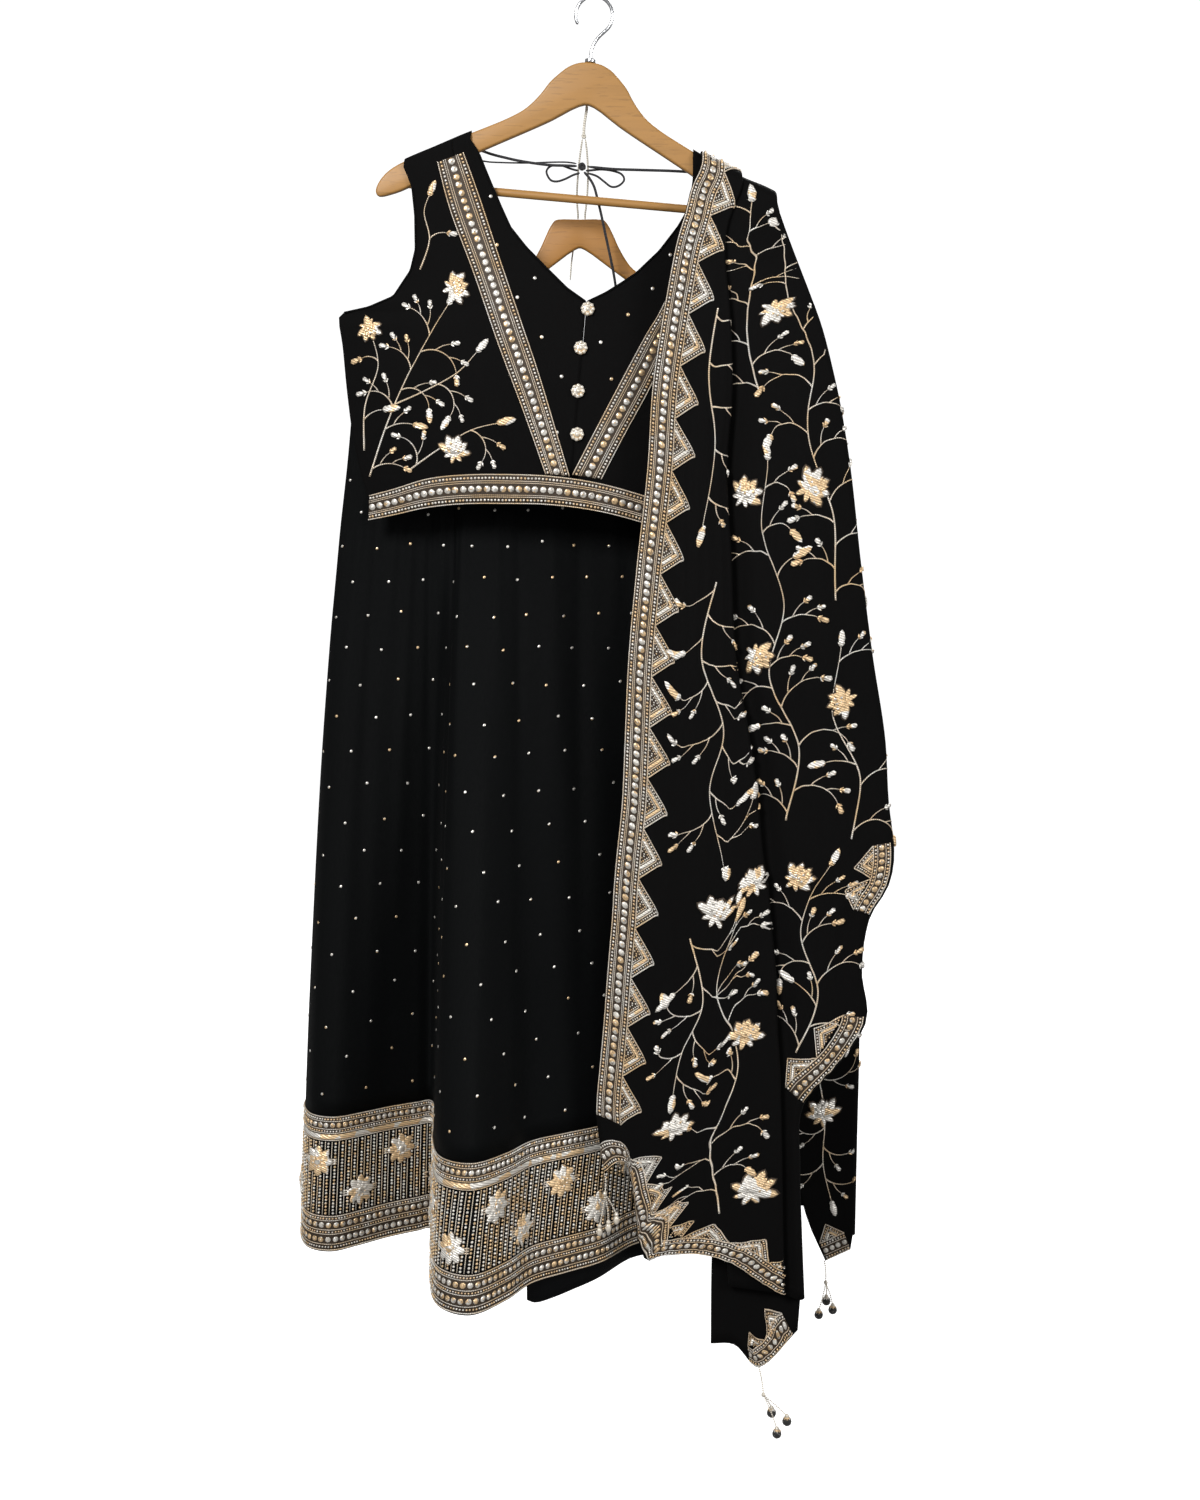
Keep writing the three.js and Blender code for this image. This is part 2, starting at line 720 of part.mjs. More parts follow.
function skirtLining() {
  const turns = steps(9, lining.from, lining.to).map((f) => f / skirtFolds.length);
  const face = steps(4).map((share) =>
    turns.map((turn) => {
      const hem = column(liningHem, "x", "drop", skirtPoint(turn, skirtHem).x);
      return skirtPoint(turn, lerp(lining.top, hem, share));
    })
  );
  const geometry = wall(moved(face, -lining.inside), moved(face, -lining.inside - lining.thick));
  add(set, "skirt_lining", geometry, "liningCloth");
}

// ribbon loops inside the waistband carry the skirt on the lower hanger's arms
const ribbon = { wide: 8, thick: 1, reach: 184, half: 10, tall: 54, chamfer: 5 };

// a loop seen along the arm, its bottom corners square and its top ones cut off
function loopOutline(inset) {
  const half = ribbon.half - inset;
  const tall = ribbon.tall - inset;
  const flat = half - ribbon.chamfer;
  const shoulder = tall - ribbon.chamfer;
  return [[-half, inset], [half, inset], [half, shoulder], [flat, tall], [-flat, tall], [-half, shoulder]]
    .map(([x, y]) => new THREE.Vector2(x, y));
}

function skirtLoops() {
  [-1, 1].forEach((side) => {
    const x = lowerHangerAt.x + side * ribbon.reach;
    const top = armTop(ribbon.reach) + lowerHangerAt.lowered;
    const outer = new THREE.Shape(loopOutline(0));
    outer.holes.push(new THREE.Path(loopOutline(ribbon.thick)));
    const geometry = new THREE.ExtrudeGeometry(outer, { depth: ribbon.wide, bevelEnabled: false });
    geometry.translate(0, 0, -ribbon.wide / 2);
    geometry.applyMatrix4(new THREE.Matrix4().makeBasis(
      new THREE.Vector3(0, 1, 0), new THREE.Vector3(0, 0, 1), new THREE.Vector3(1, 0, 0)));
    geometry.translate(x, waist.y, 3.5 - top - ribbon.tall);
    add(set, side < 0 ? "skirt_loop_left" : "skirt_loop_right", geometry, "blackCloth");
  });
}

// Scarf: one long sheet whose folds go from the front hem over the shoulder to the back hem

const scarfRidge = { drop: 159.8, x: 115, slope: 0.49, reach: 22, rise: 16 };
const scarfFront = [
  { drop: 178, y: 22, left: 114, crease: 158, tuck: 148, right: 196, end: 174, pitch: 2.2, lean: 1 },
  { drop: 205, y: 31, left: 103, crease: 148, tuck: 134, right: 206, end: 178, pitch: 2.6, lean: 0.95 },
  { drop: 235, y: 45, left: 96, crease: 140, tuck: 120, right: 217, end: 180, pitch: 3.2, lean: 0.88 },
  { drop: 270, y: 58, left: 86, crease: 138, tuck: 110, right: 229, end: 184, pitch: 4.2, lean: 0.75 },
  { drop: 310, y: 66, left: 78, crease: 142, tuck: 104, right: 242, end: 188, pitch: 5.2, lean: 0.6 },
  { drop: 360, y: 70, left: 69, crease: 145, tuck: 98, right: 253, end: 190, pitch: 6, lean: 0.4 },
  { drop: 420, y: 74, left: 60, crease: 146, tuck: 95, right: 264, end: 192, pitch: 6.6, lean: 0.2 },
  { drop: 500, y: 77, left: 55, crease: 141, tuck: 94, right: 276, end: 194, pitch: 7, lean: 0.05 },
  { drop: 600, y: 81, left: 44, crease: 147, tuck: 96, right: 288, end: 198, pitch: 7, lean: 0 },
  { drop: 700, y: 87, left: 35, crease: 152, tuck: 100, right: 302, end: 204, pitch: 7, lean: 0 },
  { drop: 790, y: 92, left: 31, crease: 168, tuck: 106, right: 317, end: 210, pitch: 7, lean: 0 },
  { drop: 860, y: 96, left: 28, crease: 178, tuck: 112, right: 322, end: 214, pitch: 7, lean: 0 },
  { drop: 920, y: 100, left: 22, crease: 184, tuck: 118, right: 329, end: 216, pitch: 7, lean: 0 },
  { drop: 955, y: 102, left: 19, crease: 190, tuck: 120, right: 323, end: 216, pitch: 7, lean: 0 },
  { drop: 990, y: 104, left: 17, crease: 193, tuck: 122, right: 303, end: 214, pitch: 7, lean: 0 },
  { drop: 1050, y: 108, left: 12, crease: 199, tuck: 126, right: 295, end: 208, pitch: 7, lean: 0 },
  { drop: 1105, y: 111, left: 8, crease: 201, tuck: 130, right: 301, end: 196, pitch: 7, lean: 0 },
  { drop: 1150, y: 114, left: 4, crease: 204, tuck: 134, right: 274, end: 172, pitch: 6.5, lean: 0 },
  { drop: 1200, y: 117, left: 0, crease: 206, tuck: 138, right: 232, end: 146, pitch: 6, lean: 0 },
  { drop: 1270, y: 119, left: 2, crease: 208, tuck: 142, right: 229, end: 134, pitch: 6, lean: 0 },
  { drop: 1345, y: 121, left: 6, crease: 210, tuck: 146, right: 232, end: 131, pitch: 6, lean: 0 },
  { drop: 1420, y: 122, left: 10, crease: 213, tuck: 150, right: 236, end: 131, pitch: 6, lean: 0 },
];
const scarfBack = [
  { drop: 178, y: 22, left: 114, crease: 158, tuck: 148, right: 196, end: 174, pitch: 2.2, lean: 1 },
  { drop: 210, y: 36, left: 110, crease: 156, tuck: 140, right: 204, end: 174, pitch: 2.8, lean: 0.9 },
  { drop: 250, y: 60, left: 107, crease: 157, tuck: 130, right: 214, end: 172, pitch: 3.8, lean: 0.75 },
  { drop: 300, y: 80, left: 104, crease: 162, tuck: 126, right: 222, end: 174, pitch: 5, lean: 0.5 },
  { drop: 370, y: 92, left: 100, crease: 170, tuck: 124, right: 234, end: 178, pitch: 6, lean: 0.25 },
  { drop: 460, y: 97, left: 96, crease: 178, tuck: 126, right: 250, end: 184, pitch: 6.5, lean: 0.05 },
  { drop: 600, y: 103, left: 90, crease: 190, tuck: 130, right: 275, end: 192, pitch: 7, lean: 0 },
  { drop: 760, y: 109, left: 85, crease: 201, tuck: 134, right: 296, end: 200, pitch: 7, lean: 0 },
  { drop: 920, y: 114, left: 81, crease: 210, tuck: 138, right: 312, end: 206, pitch: 7, lean: 0 },
  { drop: 1080, y: 118, left: 78, crease: 217, tuck: 142, right: 321, end: 214, pitch: 7, lean: 0 },
  { drop: 1220, y: 121, left: 76, crease: 222, tuck: 146, right: 323, end: 224, pitch: 6.5, lean: 0 },
  { drop: 1320, y: 122, left: 75, crease: 224, tuck: 148, right: 323, end: 240, pitch: 6, lean: 0 },
  { drop: 1400, y: 122, left: 74, crease: 225, tuck: 150, right: 323, end: 262, pitch: 6, lean: 0 },
  { drop: 1450, y: 122, left: 74, crease: 226, tuck: 150, right: 323, end: 286, pitch: 6, lean: 0 },
];
// where each layer of the section has its columns, as shares of the layer
const scarfColumns = {
  first: [0, 0.125, 0.205, 0.34, 0.5, 0.66, 0.83, 1],
  second: [0, 0.5, 1],
  third: [0, 0.25, 0.42, 0.56, 0.7, 0.85, 1],
  fourth: [0, 0.22, 0.44, 0.72, 1],
};
// the drop of each layer's cut edge: the front one rises in an arch beside its left corner
const frontHem = {
  first: [
    { share: 0, drop: 1276 },
    { share: 0.07, drop: 1262 },
    { share: 0.14, drop: 1272 },
    { share: 0.2, drop: 1366 },
    { share: 0.32, drop: 1371 },
    { share: 0.52, drop: 1370 },
    { share: 0.7, drop: 1379 },
    { share: 0.87, drop: 1403 },
    { share: 1, drop: 1420 },
  ],
  second: [{ share: 0, drop: 1420 }, { share: 1, drop: 1412 }],
  third: [{ share: 0, drop: 1412 }, { share: 1, drop: 1428 }],
  fourth: [
    { share: 0, drop: 1470 },
    { share: 0.44, drop: 1515 },
    { share: 0.72, drop: 1488 },
    { share: 1, drop: 1486 },
  ],
};
const backHem = {
  first: [{ share: 0, drop: 1388 }, { share: 1, drop: 1404 }],
  second: [{ share: 0, drop: 1404 }, { share: 1, drop: 1404 }],
  third: [{ share: 0, drop: 1404 }, { share: 0.7, drop: 1416 }, { share: 1, drop: 1446 }],
  fourth: [{ share: 0, drop: 1464 }, { share: 1, drop: 1479 }],
};

// the section of one row as { x, n, layer, share }, n counted inwards from the outermost layer
function scarfSection(row, swell) {
  const { left, crease, tuck, right, end, pitch } = row;
  const half = pitch / 2;
  const out = [];
  const put = (x, n, layer, share) => out.push({ x, n, layer, share });
  const ease = (x) => {
    const f = clamp((x - crease) / 30, 0, 1);
    return f * f * (3 - 2 * f);
  };
  scarfColumns.first.forEach((share) => {
    const wave = -swell * Math.sin(Math.PI * share) * (0.6 + 0.4 * Math.sin(3.2 * Math.PI * share));
    put(lerp(left, crease - half, share), wave, "first", share);
  });
  put(crease, half, "first", 1);
  scarfColumns.second.forEach((share) =>
    put(lerp(crease - half, tuck + half, share), pitch, "second", share));
  put(tuck, 1.5 * pitch, "second", 1);
  scarfColumns.third.forEach((share) => {
    const x = lerp(tuck + half, right - pitch, share);
    const free = ease(x);
    const ripple = -swell * Math.sin(Math.PI * clamp((x - crease) / (right - crease), 0, 1));
    put(x, lerp(2 * pitch, 0.9 * pitch, free) + ripple * free, "third", share);
  });
  put(right, 2 * pitch, "third", 1);
  scarfColumns.fourth.forEach((share) =>
    put(lerp(right - pitch, end, share), 3 * pitch, "fourth", share));
  return out;
}

function scarfRow(table, drop) {
  const names = ["y", "left", "crease", "tuck", "right", "end", "pitch", "lean"];
  return Object.fromEntries(names.map((name) => [name, column(table, "drop", name, drop)]));
}

// a row that hangs at the front (side -1) or the back (side 1)
function hangingRow(table, hem, side, drop, pull) {
  const row = scarfRow(table, drop);
  const swell = 5 * clamp((drop - 200) / 300, 0, 1);
  return scarfSection(row, swell).map(({ x, n, layer, share }) => {
    const cut = column(hem[layer], "share", "drop", share);
    const level = pull === null ? drop : lerp(scarfCut.drop, cut, pull);
    const leaned = level + scarfRidge.slope * (x - scarfRidge.x) * row.lean;
    return new THREE.Vector3(x, side * (row.y - n), -leaned);
  });
}

function ridgeRow(degrees) {
  const turn = THREE.MathUtils.degToRad(degrees);
  return scarfSection(scarfFront[0], 0).map(({ x, n }) => {
    const top = scarfRidge.drop + scarfRidge.slope * (x - scarfRidge.x) + scarfRidge.rise;
    const y = (scarfRidge.reach - n) * Math.cos(turn);
    return new THREE.Vector3(x, y, -top + (scarfRidge.rise - n) * Math.sin(turn));
  });
}

const scarfCut = { drop: 1200, front: 1420, back: 1450, pulls: [0.3, 0.62, 0.88, 1] };
const scarfDrops = [205, 240, 285, 340, 420, 520, 640, 760, 860, 920, 955, 990, 1050, 1105, 1150, 1200];
const scarfBackDrops = [215, 260, 310, 380, 500, 660, 840, 1020, 1200];

// the sheet's middle, from the back hem up over the shoulder and down to the front hem
function scarfGrid() {
  const hems = (table, hem, side, last) =>
    scarfCut.pulls.map((pull) =>
      hangingRow(table, hem, side, lerp(scarfCut.drop, last, pull), pull));
  const backRows = scarfBackDrops.map((drop) => hangingRow(scarfBack, backHem, 1, drop, null));
  const frontRows = scarfDrops.map((drop) => hangingRow(scarfFront, frontHem, -1, drop, null));
  return [
    ...hems(scarfBack, backHem, 1, scarfCut.back).reverse(),
    ...backRows.reverse(),
    ...[5, 40, 75, 105, 140, 175].map(ridgeRow),
    ...frontRows,
    ...hems(scarfFront, frontHem, -1, scarfCut.front),
  ];
}

// the rows where each stretch of the scarf starts and ends
const backEnd = scarfCut.pulls.length + scarfBackDrops.length;
const scarfStretches = {
  scarf_back: [0, backEnd - 1],
  scarf_shoulder: [backEnd - 1, backEnd + 6],
  scarf_front: [backEnd + 6, null],
};

function scarf() {
  const middle = scarfGrid();
  const face = moved(middle, scarfCloth / 2);
  const under = moved(middle, -scarfCloth / 2);
  Object.entries(scarfStretches).forEach(([name, [from, to]]) => {
    const end = to ?? middle.length - 1;
    add(set, name, wall(rowsOf(face, from, end), rowsOf(under, from, end)), "blackCloth");
  });
  const firstColumns = scarfColumns.first.length;
  const fourthStart = middle[0].length - scarfColumns.fourth.length;
  const last = middle.length - 1;
  const strip = (name, rows, cols, outwards = 1) => {
    const cut = face.slice(rows[0], rows[1] + 1).map((row) => row.slice(cols[0], cols[1] + 1));
    const clear = outwards > 0 ? 0.4 : 0.4 + scarfCloth;
    const off = [clear, clear + trimCloth].map((d) => moved(cut, outwards * d));
    add(set, name, wall(off[outwards > 0 ? 1 : 0], off[outwards > 0 ? 0 : 1]), "goldTrim");
  };
  strip("scarf_border_long", [1, last - 1], [0, 1]);
  strip("scarf_border_front_hem", [last - 1, last], [2, firstColumns - 1]);
  strip("scarf_border_back_hem", [0, 1], [2, firstColumns - 1]);
  strip("scarf_border_low_corner", [last - 1, last], [fourthStart + 1, fourthStart + 4], -1);
}

// Cords of the bodice and strings of the lower hanger

const tieRadius = 1.5;
const knotAt = [-15, 11, -173];

function ties() {
  const left = [[-137, 12.4, -152], [-125, 12.5, -156], [-113, 12.4, -160], [-99, 12, -163.5],
    [-84, 11.4, -166.8], [-68, 11, -169.4], [-50, 11, -171.5], [-34, 11, -172], [-20.5, 11, -172.5]];
  const right = [[-9.5, 11, -173], [18, 11, -175.6], [48, 11, -176.6], [78, 11.2, -177.4],
    [96, 12, -178.2], [108, 12.4, -179], [118, 12.5, -180]];
  const loopLeft = [[-19, 14.4, -177], [-27, 14.6, -175], [-38, 14.4, -171.4], [-49, 14.2, -172],
    [-54, 13.6, -178], [-50, 13, -186.5], [-43, 13, -188.5], [-34, 13.4, -186], [-25, 14.4, -181.6],
    [-17.4, 14.8, -179.2]];
  const loopRight = [[-11, 14.4, -177], [-4, 14.6, -176.4], [6, 14.4, -175.6], [18, 14.2, -177],
    [28, 13.8, -180.6], [31, 13.4, -187], [25, 13.4, -193], [17, 13.6, -194], [9, 14, -188.4],
    [1, 14.4, -182.6], [-9, 14.8, -179.4]];
  const tail = [[-13, 10.4, -178.8], [-8, 10.4, -184], [-2, 10.6, -194], [2, 11, -208],
    [6, 12, -224], [10, 13.5, -242], [14, 15, -260], [18, 16.5, -278], [21, 18, -294],
    [23, 19, -309], [24, 19.6, -322]];
  const thin = [[-136, 11.7, -165.4], [-126, 11.8, -166.6], [-116, 12.4, -168], [-104, 13.2, -168.4],
    [-90, 14.6, -168.6], [-72, 15.2, -168.6], [-50, 15.4, -167.8], [-32, 15.2, -167.8],
    [-21, 14.4, -169.4]];
  add(set, "tie_left", cord(left, tieRadius, 12), "blackCord");
  add(set, "tie_right", cord(right, tieRadius, 10), "blackCord");
  add(set, "tie_bow_left", cord(loopLeft, 1.2, 18), "blackCord");
  add(set, "tie_bow_right", cord(loopRight, 1.2, 18), "blackCord");
  add(set, "tie_tail", cord(tail, tieRadius, 16), "blackCord");
  add(set, "tie_left_thin", cord(thin, 0.9, 12), "blackCord");
  const knot = new THREE.SphereGeometry(5, 10, 8).scale(1, 0.8, 1.02);
  add(set, "tie_knot", knot.translate(...knotAt), "blackCord");
}

function strings() {
  const knotDrop = 141;
  const one = [[-9.8, 7, -110], [-10, 9.4, -114], [-11.4, 10.6, -122], [-12.6, 11.4, -130],
    [-13, 12, -137.6]];
  const strands = [
    [[-14.6, 12.6, -143.8], [-17, 19, -158], [-19.6, 28, -178], [-21, 38, -200], [-20.6, 44.5, -212],
      [-20, 47.7, -219], [-20, 48.3, -224.4]],
    [[-11.4, 12.6, -143.8], [-9.6, 19, -158], [-8.6, 28, -178], [-9.6, 38, -200], [-11, 44.5, -212],
      [-12, 47.7, -219], [-12, 48.3, -224.4]],
  ];
  const end = [[-20, 57.6, -226], [-22.6, 58.4, -240], [-25.4, 58.8, -256], [-27.6, 58.8, -272],
    [-29, 58.8, -290]];
  add(set, "string_upper", cord(one, 1.6, 8), "whiteString");
  add(set, "string_lower_left", cord(strands[0], 1.1, 10), "whiteString");
  add(set, "string_lower_right", cord(strands[1], 1.1, 10), "whiteString");
  add(set, "string_end", cord(end, 0.9, 8), "whiteString");
  const knot = new THREE.SphereGeometry(3, 8, 6).translate(-13, 12.2, -knotDrop);
  add(set, "string_knot", knot, "whiteString");
}

// Tassels: strands fused into one head, under each corner of the scarf that shows

const ball = { radius: 5.6, gold: 2.6 };

function tassel(name, at, head, ends) {
  const strand = (from, to, thick) => solid(cord([from, to], thick, 1, 4));
  const bead = (point, radius, sides) =>
    solid(new THREE.SphereGeometry(radius, sides, sides - 2).translate(...point));
  let whole = strand(at, head, 1.3).add(bead(head, 2.8, 6));
  ends.forEach((end) => {
    const middle = [end[0], end[1], end[2] + ball.radius + 1.2];
    whole = whole.add(strand(head, middle, 1.1));
    whole = whole.add(bead(middle, ball.gold, 6)).add(bead(end, ball.radius, 8));
  });
  add(set, name, meshOf(whole), "beads");
}

function tassels() {
  tassel("tassel_front_left", [10, -122, -1276.4], [10, -122, -1299],
    [[4, -122, -1344], [14, -125, -1338], [23, -120, -1331]]);
  tassel("tassel_low", [186.4, -104, -1515.4], [192, -104, -1549],
    [[208, -104, -1597], [219, -107, -1580], [202, -99, -1574]]);
  tassel("tassel_back_right", [285, 104, -1480], [287, 104, -1508],
    [[279, 104, -1551], [296, 101, -1543], [289, 111, -1536]]);
}

upperHanger();
hook();
lowerHanger();
bodice();
bodiceTrims();
bodiceButtons();
skirt();
skirtLining();
skirtLoops();
scarf();
ties();
strings();
tassels();

export default set;
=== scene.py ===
"""A lehenga set on two wooden hangers: bodice, skirt and scarf, with beaded trims and vines.

Tables and functions work in millimetres, +Z up, and a "drop" is a distance below the hook's inner top.
Meshes are made in metres.
"""

import functools
import math

import bpy
import numpy as np
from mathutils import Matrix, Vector


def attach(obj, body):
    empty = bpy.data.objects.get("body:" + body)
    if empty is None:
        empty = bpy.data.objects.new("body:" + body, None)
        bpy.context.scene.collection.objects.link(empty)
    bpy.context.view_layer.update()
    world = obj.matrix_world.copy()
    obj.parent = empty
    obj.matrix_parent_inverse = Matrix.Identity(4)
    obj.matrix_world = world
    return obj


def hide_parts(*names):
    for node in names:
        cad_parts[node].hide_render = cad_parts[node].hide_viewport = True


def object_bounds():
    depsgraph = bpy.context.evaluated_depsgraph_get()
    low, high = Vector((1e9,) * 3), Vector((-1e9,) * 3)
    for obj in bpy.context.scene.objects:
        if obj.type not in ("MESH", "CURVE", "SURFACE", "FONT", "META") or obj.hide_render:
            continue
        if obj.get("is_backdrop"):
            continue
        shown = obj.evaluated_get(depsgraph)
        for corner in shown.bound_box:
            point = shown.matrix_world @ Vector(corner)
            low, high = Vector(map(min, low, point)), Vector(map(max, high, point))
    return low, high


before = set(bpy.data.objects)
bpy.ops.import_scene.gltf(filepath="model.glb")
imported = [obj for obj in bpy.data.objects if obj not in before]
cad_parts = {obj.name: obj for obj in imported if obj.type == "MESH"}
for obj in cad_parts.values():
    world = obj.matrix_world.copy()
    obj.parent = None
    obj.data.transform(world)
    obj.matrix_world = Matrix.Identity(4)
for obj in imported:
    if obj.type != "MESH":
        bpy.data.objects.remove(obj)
cad_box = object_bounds()

bl_info = {
    "name": "Lehenga Set",
    "version": (1, 0, 0),
    "blender": (4, 5, 0),
    "location": "View3D > Sidebar > Lehenga",
    "description": "Builds a hanging lehenga set with its embroidery, hangers and studio",
    "category": "Object",
}

MM = 0.001
TURN = 2 * math.pi
# the materials of a beaded piece, in this order
BEADED = ("ribbon", "thread", "bead", "sequin", "petal")
RIBBON, THREAD, BEAD, SEQUIN, PETAL = range(5)
rng = np.random.default_rng(11)

# Tables and lines


class Table:
    """Rows with named columns, smooth between the rows and held at the ends."""

    def __init__(self, names, *rows):
        self.columns = dict(zip(names.split(), np.array(rows, float).T))

    def at(self, key, name, where):
        x, y = self.columns[key], self.columns[name]
        where = np.clip(where, x[0], x[-1])
        low = np.clip(np.searchsorted(x, where, side="right") - 1, 0, len(x) - 2)
        before, after = np.maximum(low - 1, 0), np.minimum(low + 2, len(x) - 1)
        span = x[low + 1] - x[low]
        f = (where - x[low]) / span
        start = (y[low + 1] - y[before]) / (x[low + 1] - x[before]) * span
        end = (y[after] - y[low]) / (x[after] - x[low]) * span
        keep = 2 * f**3 - 3 * f**2 + 1
        curve = start * (f**3 - 2 * f**2 + f) + end * (f**3 - f**2)
        return y[low] * keep + y[low + 1] * (1 - keep) + curve


def through(points, where, closed=False):
    """A smooth line through the points, where is counted in points from the first."""
    points = np.asarray(points, float)
    count = len(points)
    low = np.floor(where).astype(int)
    if not closed:
        low = np.clip(low, 0, count - 2)
    f = (where - low)[..., None]
    pick = (lambda i: points[i % count]) if closed else (lambda i: points[np.clip(i, 0, count - 1)])
    p0, p1, p2, p3 = (pick(low + i) for i in (-1, 0, 1, 2))
    v1, v2 = (p2 - p0) / 2, (p3 - p1) / 2
    return (2 * p1 - 2 * p2 + v1 + v2) * f**3 + (-3 * p1 + 3 * p2 - 2 * v1 - v2) * f**2 + v1 * f + p1


def line_run(line):
    """How far along a line each of its points is."""
    return np.concatenate([[0], np.cumsum(np.linalg.norm(np.diff(line, axis=0), axis=1))])


def along(points, shares, dense=40):
    """Points at shares of the length of the smooth line through the given ones."""
    fine = through(points, np.linspace(0, len(points) - 1, dense * (len(points) - 1) + 1))
    reach = line_run(fine)
    shares = np.clip(shares, 0, 1) * reach[-1]
    return np.stack([np.interp(shares, reach, fine[:, k]) for k in range(fine.shape[1])], -1)


def line_length(points):
    return float(np.linalg.norm(np.diff(points, axis=0), axis=1).sum())


def lerp(a, b, f):
    return a + (b - a) * f


def smooth(f):
    f = np.clip(f, 0, 1)
    return f * f * (3 - 2 * f)


# Meshes


class Heap:
    """Vertices, faces and cloth coordinates that are gathered into one mesh."""

    def __init__(self):
        self.points, self.faces, self.looks, self.cloth, self.count = [], [], [], [], 0

    def add(self, points, faces, look=0, cloth=None):
        """Adds closed shapes, turned so that their faces point outwards."""
        points = np.asarray(points, float).reshape(-1, 3)
        if enclosed(points, faces) < 0:
            faces = [block[:, ::-1] for block in faces]
        self.points.append(points)
        self.cloth.append(np.zeros((len(points), 2)) if cloth is None else np.asarray(cloth, float))
        for block in faces:
            self.faces.append(block + self.count)
            self.looks.append(look)
        self.count += len(points)

    def piece(self, name, materials, slot, replaces=()):
        """Makes the mesh, puts it on the part's body and hides the nodes that it stands for."""
        mesh = bpy.data.meshes.new(name)
        points = np.concatenate(self.points) * MM
        loops = np.concatenate([block.ravel() for block in self.faces])
        sizes = np.concatenate([np.full(len(block), block.shape[1]) for block in self.faces])
        looks = np.concatenate([np.full(len(b), look) for b, look in zip(self.faces, self.looks)])
        mesh.vertices.add(len(points))
        mesh.vertices.foreach_set("co", points.ravel())
        mesh.loops.add(len(loops))
        mesh.loops.foreach_set("vertex_index", loops)
        mesh.polygons.add(len(sizes))
        mesh.polygons.foreach_set("loop_start", np.concatenate([[0], np.cumsum(sizes)[:-1]]))
        mesh.update(calc_edges=True)
        mesh.polygons.foreach_set("material_index", looks)
        mesh.polygons.foreach_set("use_smooth", np.full(len(sizes), True))
        layer = mesh.uv_layers.new(name="cloth")
        layer.data.foreach_set("uv", (np.concatenate(self.cloth)[loops] * MM).ravel())
        mesh.validate()
        for look in materials:
            mesh.materials.append(look)
        piece = bpy.data.objects.new(name, mesh)
        bpy.context.scene.collection.objects.link(piece)
        return settle(piece, replaces)


def settle(piece, replaces=()):
    """The piece rides on the part and hides the nodes that it stands for."""
    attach(piece, "root")
    if replaces:
        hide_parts(*replaces)
    return piece


def normals(grid, ring=False):
    """The direction out of a grid's face at each of its points."""
    down = np.gradient(grid, axis=0)
    if ring:
        across = np.roll(grid, -1, 1) - np.roll(grid, 1, 1)
    else:
        across = np.gradient(grid, axis=1)
    out = np.cross(down, across)
    return out / np.maximum(np.linalg.norm(out, axis=2, keepdims=True), 1e-9)


def moved(grid, distance, ring=False):
    return grid + normals(grid, ring) * distance


def cloth_coordinates(grid):
    """How far each point lies across and down the cloth."""
    across = np.linalg.norm(np.diff(grid, axis=1), axis=2)
    down = np.linalg.norm(np.diff(grid, axis=0), axis=2).mean(1)
    across = np.concatenate([np.zeros((len(grid), 1)), np.cumsum(across, 1)], 1)
    down = np.concatenate([[0], np.cumsum(down)])
    return np.stack([across, np.repeat(down[:, None], grid.shape[1], 1)], -1).reshape(-1, 2)


def wall_faces(rows, cols, ring):
    """The quads of a closed wall between an outer grid and an inner one of the same size."""
    spans = cols if ring else cols - 1
    r, c = np.meshgrid(np.arange(rows - 1), np.arange(spans), indexing="ij")
    at = lambda side, r, c: side * rows * cols + r * cols + c % cols
    quads = lambda *corners: np.stack([np.ravel(k) for k in corners], -1)
    outer = quads(at(0, r, c), at(0, r + 1, c), at(0, r + 1, c + 1), at(0, r, c + 1))
    inner = quads(at(1, r, c), at(1, r, c + 1), at(1, r + 1, c + 1), at(1, r + 1, c))
    e, c = rows - 1, np.arange(spans)
    top = quads(at(0, 0, c), at(0, 0, c + 1), at(1, 0, c + 1), at(1, 0, c))
    low = quads(at(0, e, c), at(1, e, c), at(1, e, c + 1), at(0, e, c + 1))
    found = [outer, inner, top, low]
    if not ring:
        e, r = cols - 1, np.arange(rows - 1)
        found.append(quads(at(0, r, 0), at(1, r, 0), at(1, r + 1, 0), at(0, r + 1, 0)))
        found.append(quads(at(0, r, e), at(0, r + 1, e), at(1, r + 1, e), at(1, r, e)))
    return np.concatenate(found)


def ring_quads(rings, sides):
    """The quads round a cord, from each of its rings of points to the next."""
    first, k = np.meshgrid(np.arange(rings - 1) * sides, np.arange(sides), indexing="ij")
    after = (k + 1) % sides
    corners = (first + k, first + after, first + sides + after, first + sides + k)
    return np.stack([np.ravel(corner) for corner in corners], -1)


def enclosed(points, faces):
    """Six times the volume inside the faces, below zero when they point inwards."""
    points = points - points.mean(0)
    total = 0.0
    for block in faces:
        for k in range(1, block.shape[1] - 1):
            a, b, c = (points[block[:, i]] for i in (0, k, k + 1))
            total += np.einsum("ij,ij->", a, np.cross(b, c))
    return total


def add_wall(heap, outer, inner, ring=False, look=0):
    points = np.concatenate([outer.reshape(-1, 3), inner.reshape(-1, 3)])
    faces = wall_faces(*outer.shape[:2], ring)
    heap.add(points, [faces], look, np.tile(cloth_coordinates(outer), (2, 1)))


def select_only(piece=None):
    bpy.ops.object.select_all(action="DESELECT")
    if piece:
        piece.select_set(True)
    bpy.context.view_layer.objects.active = piece


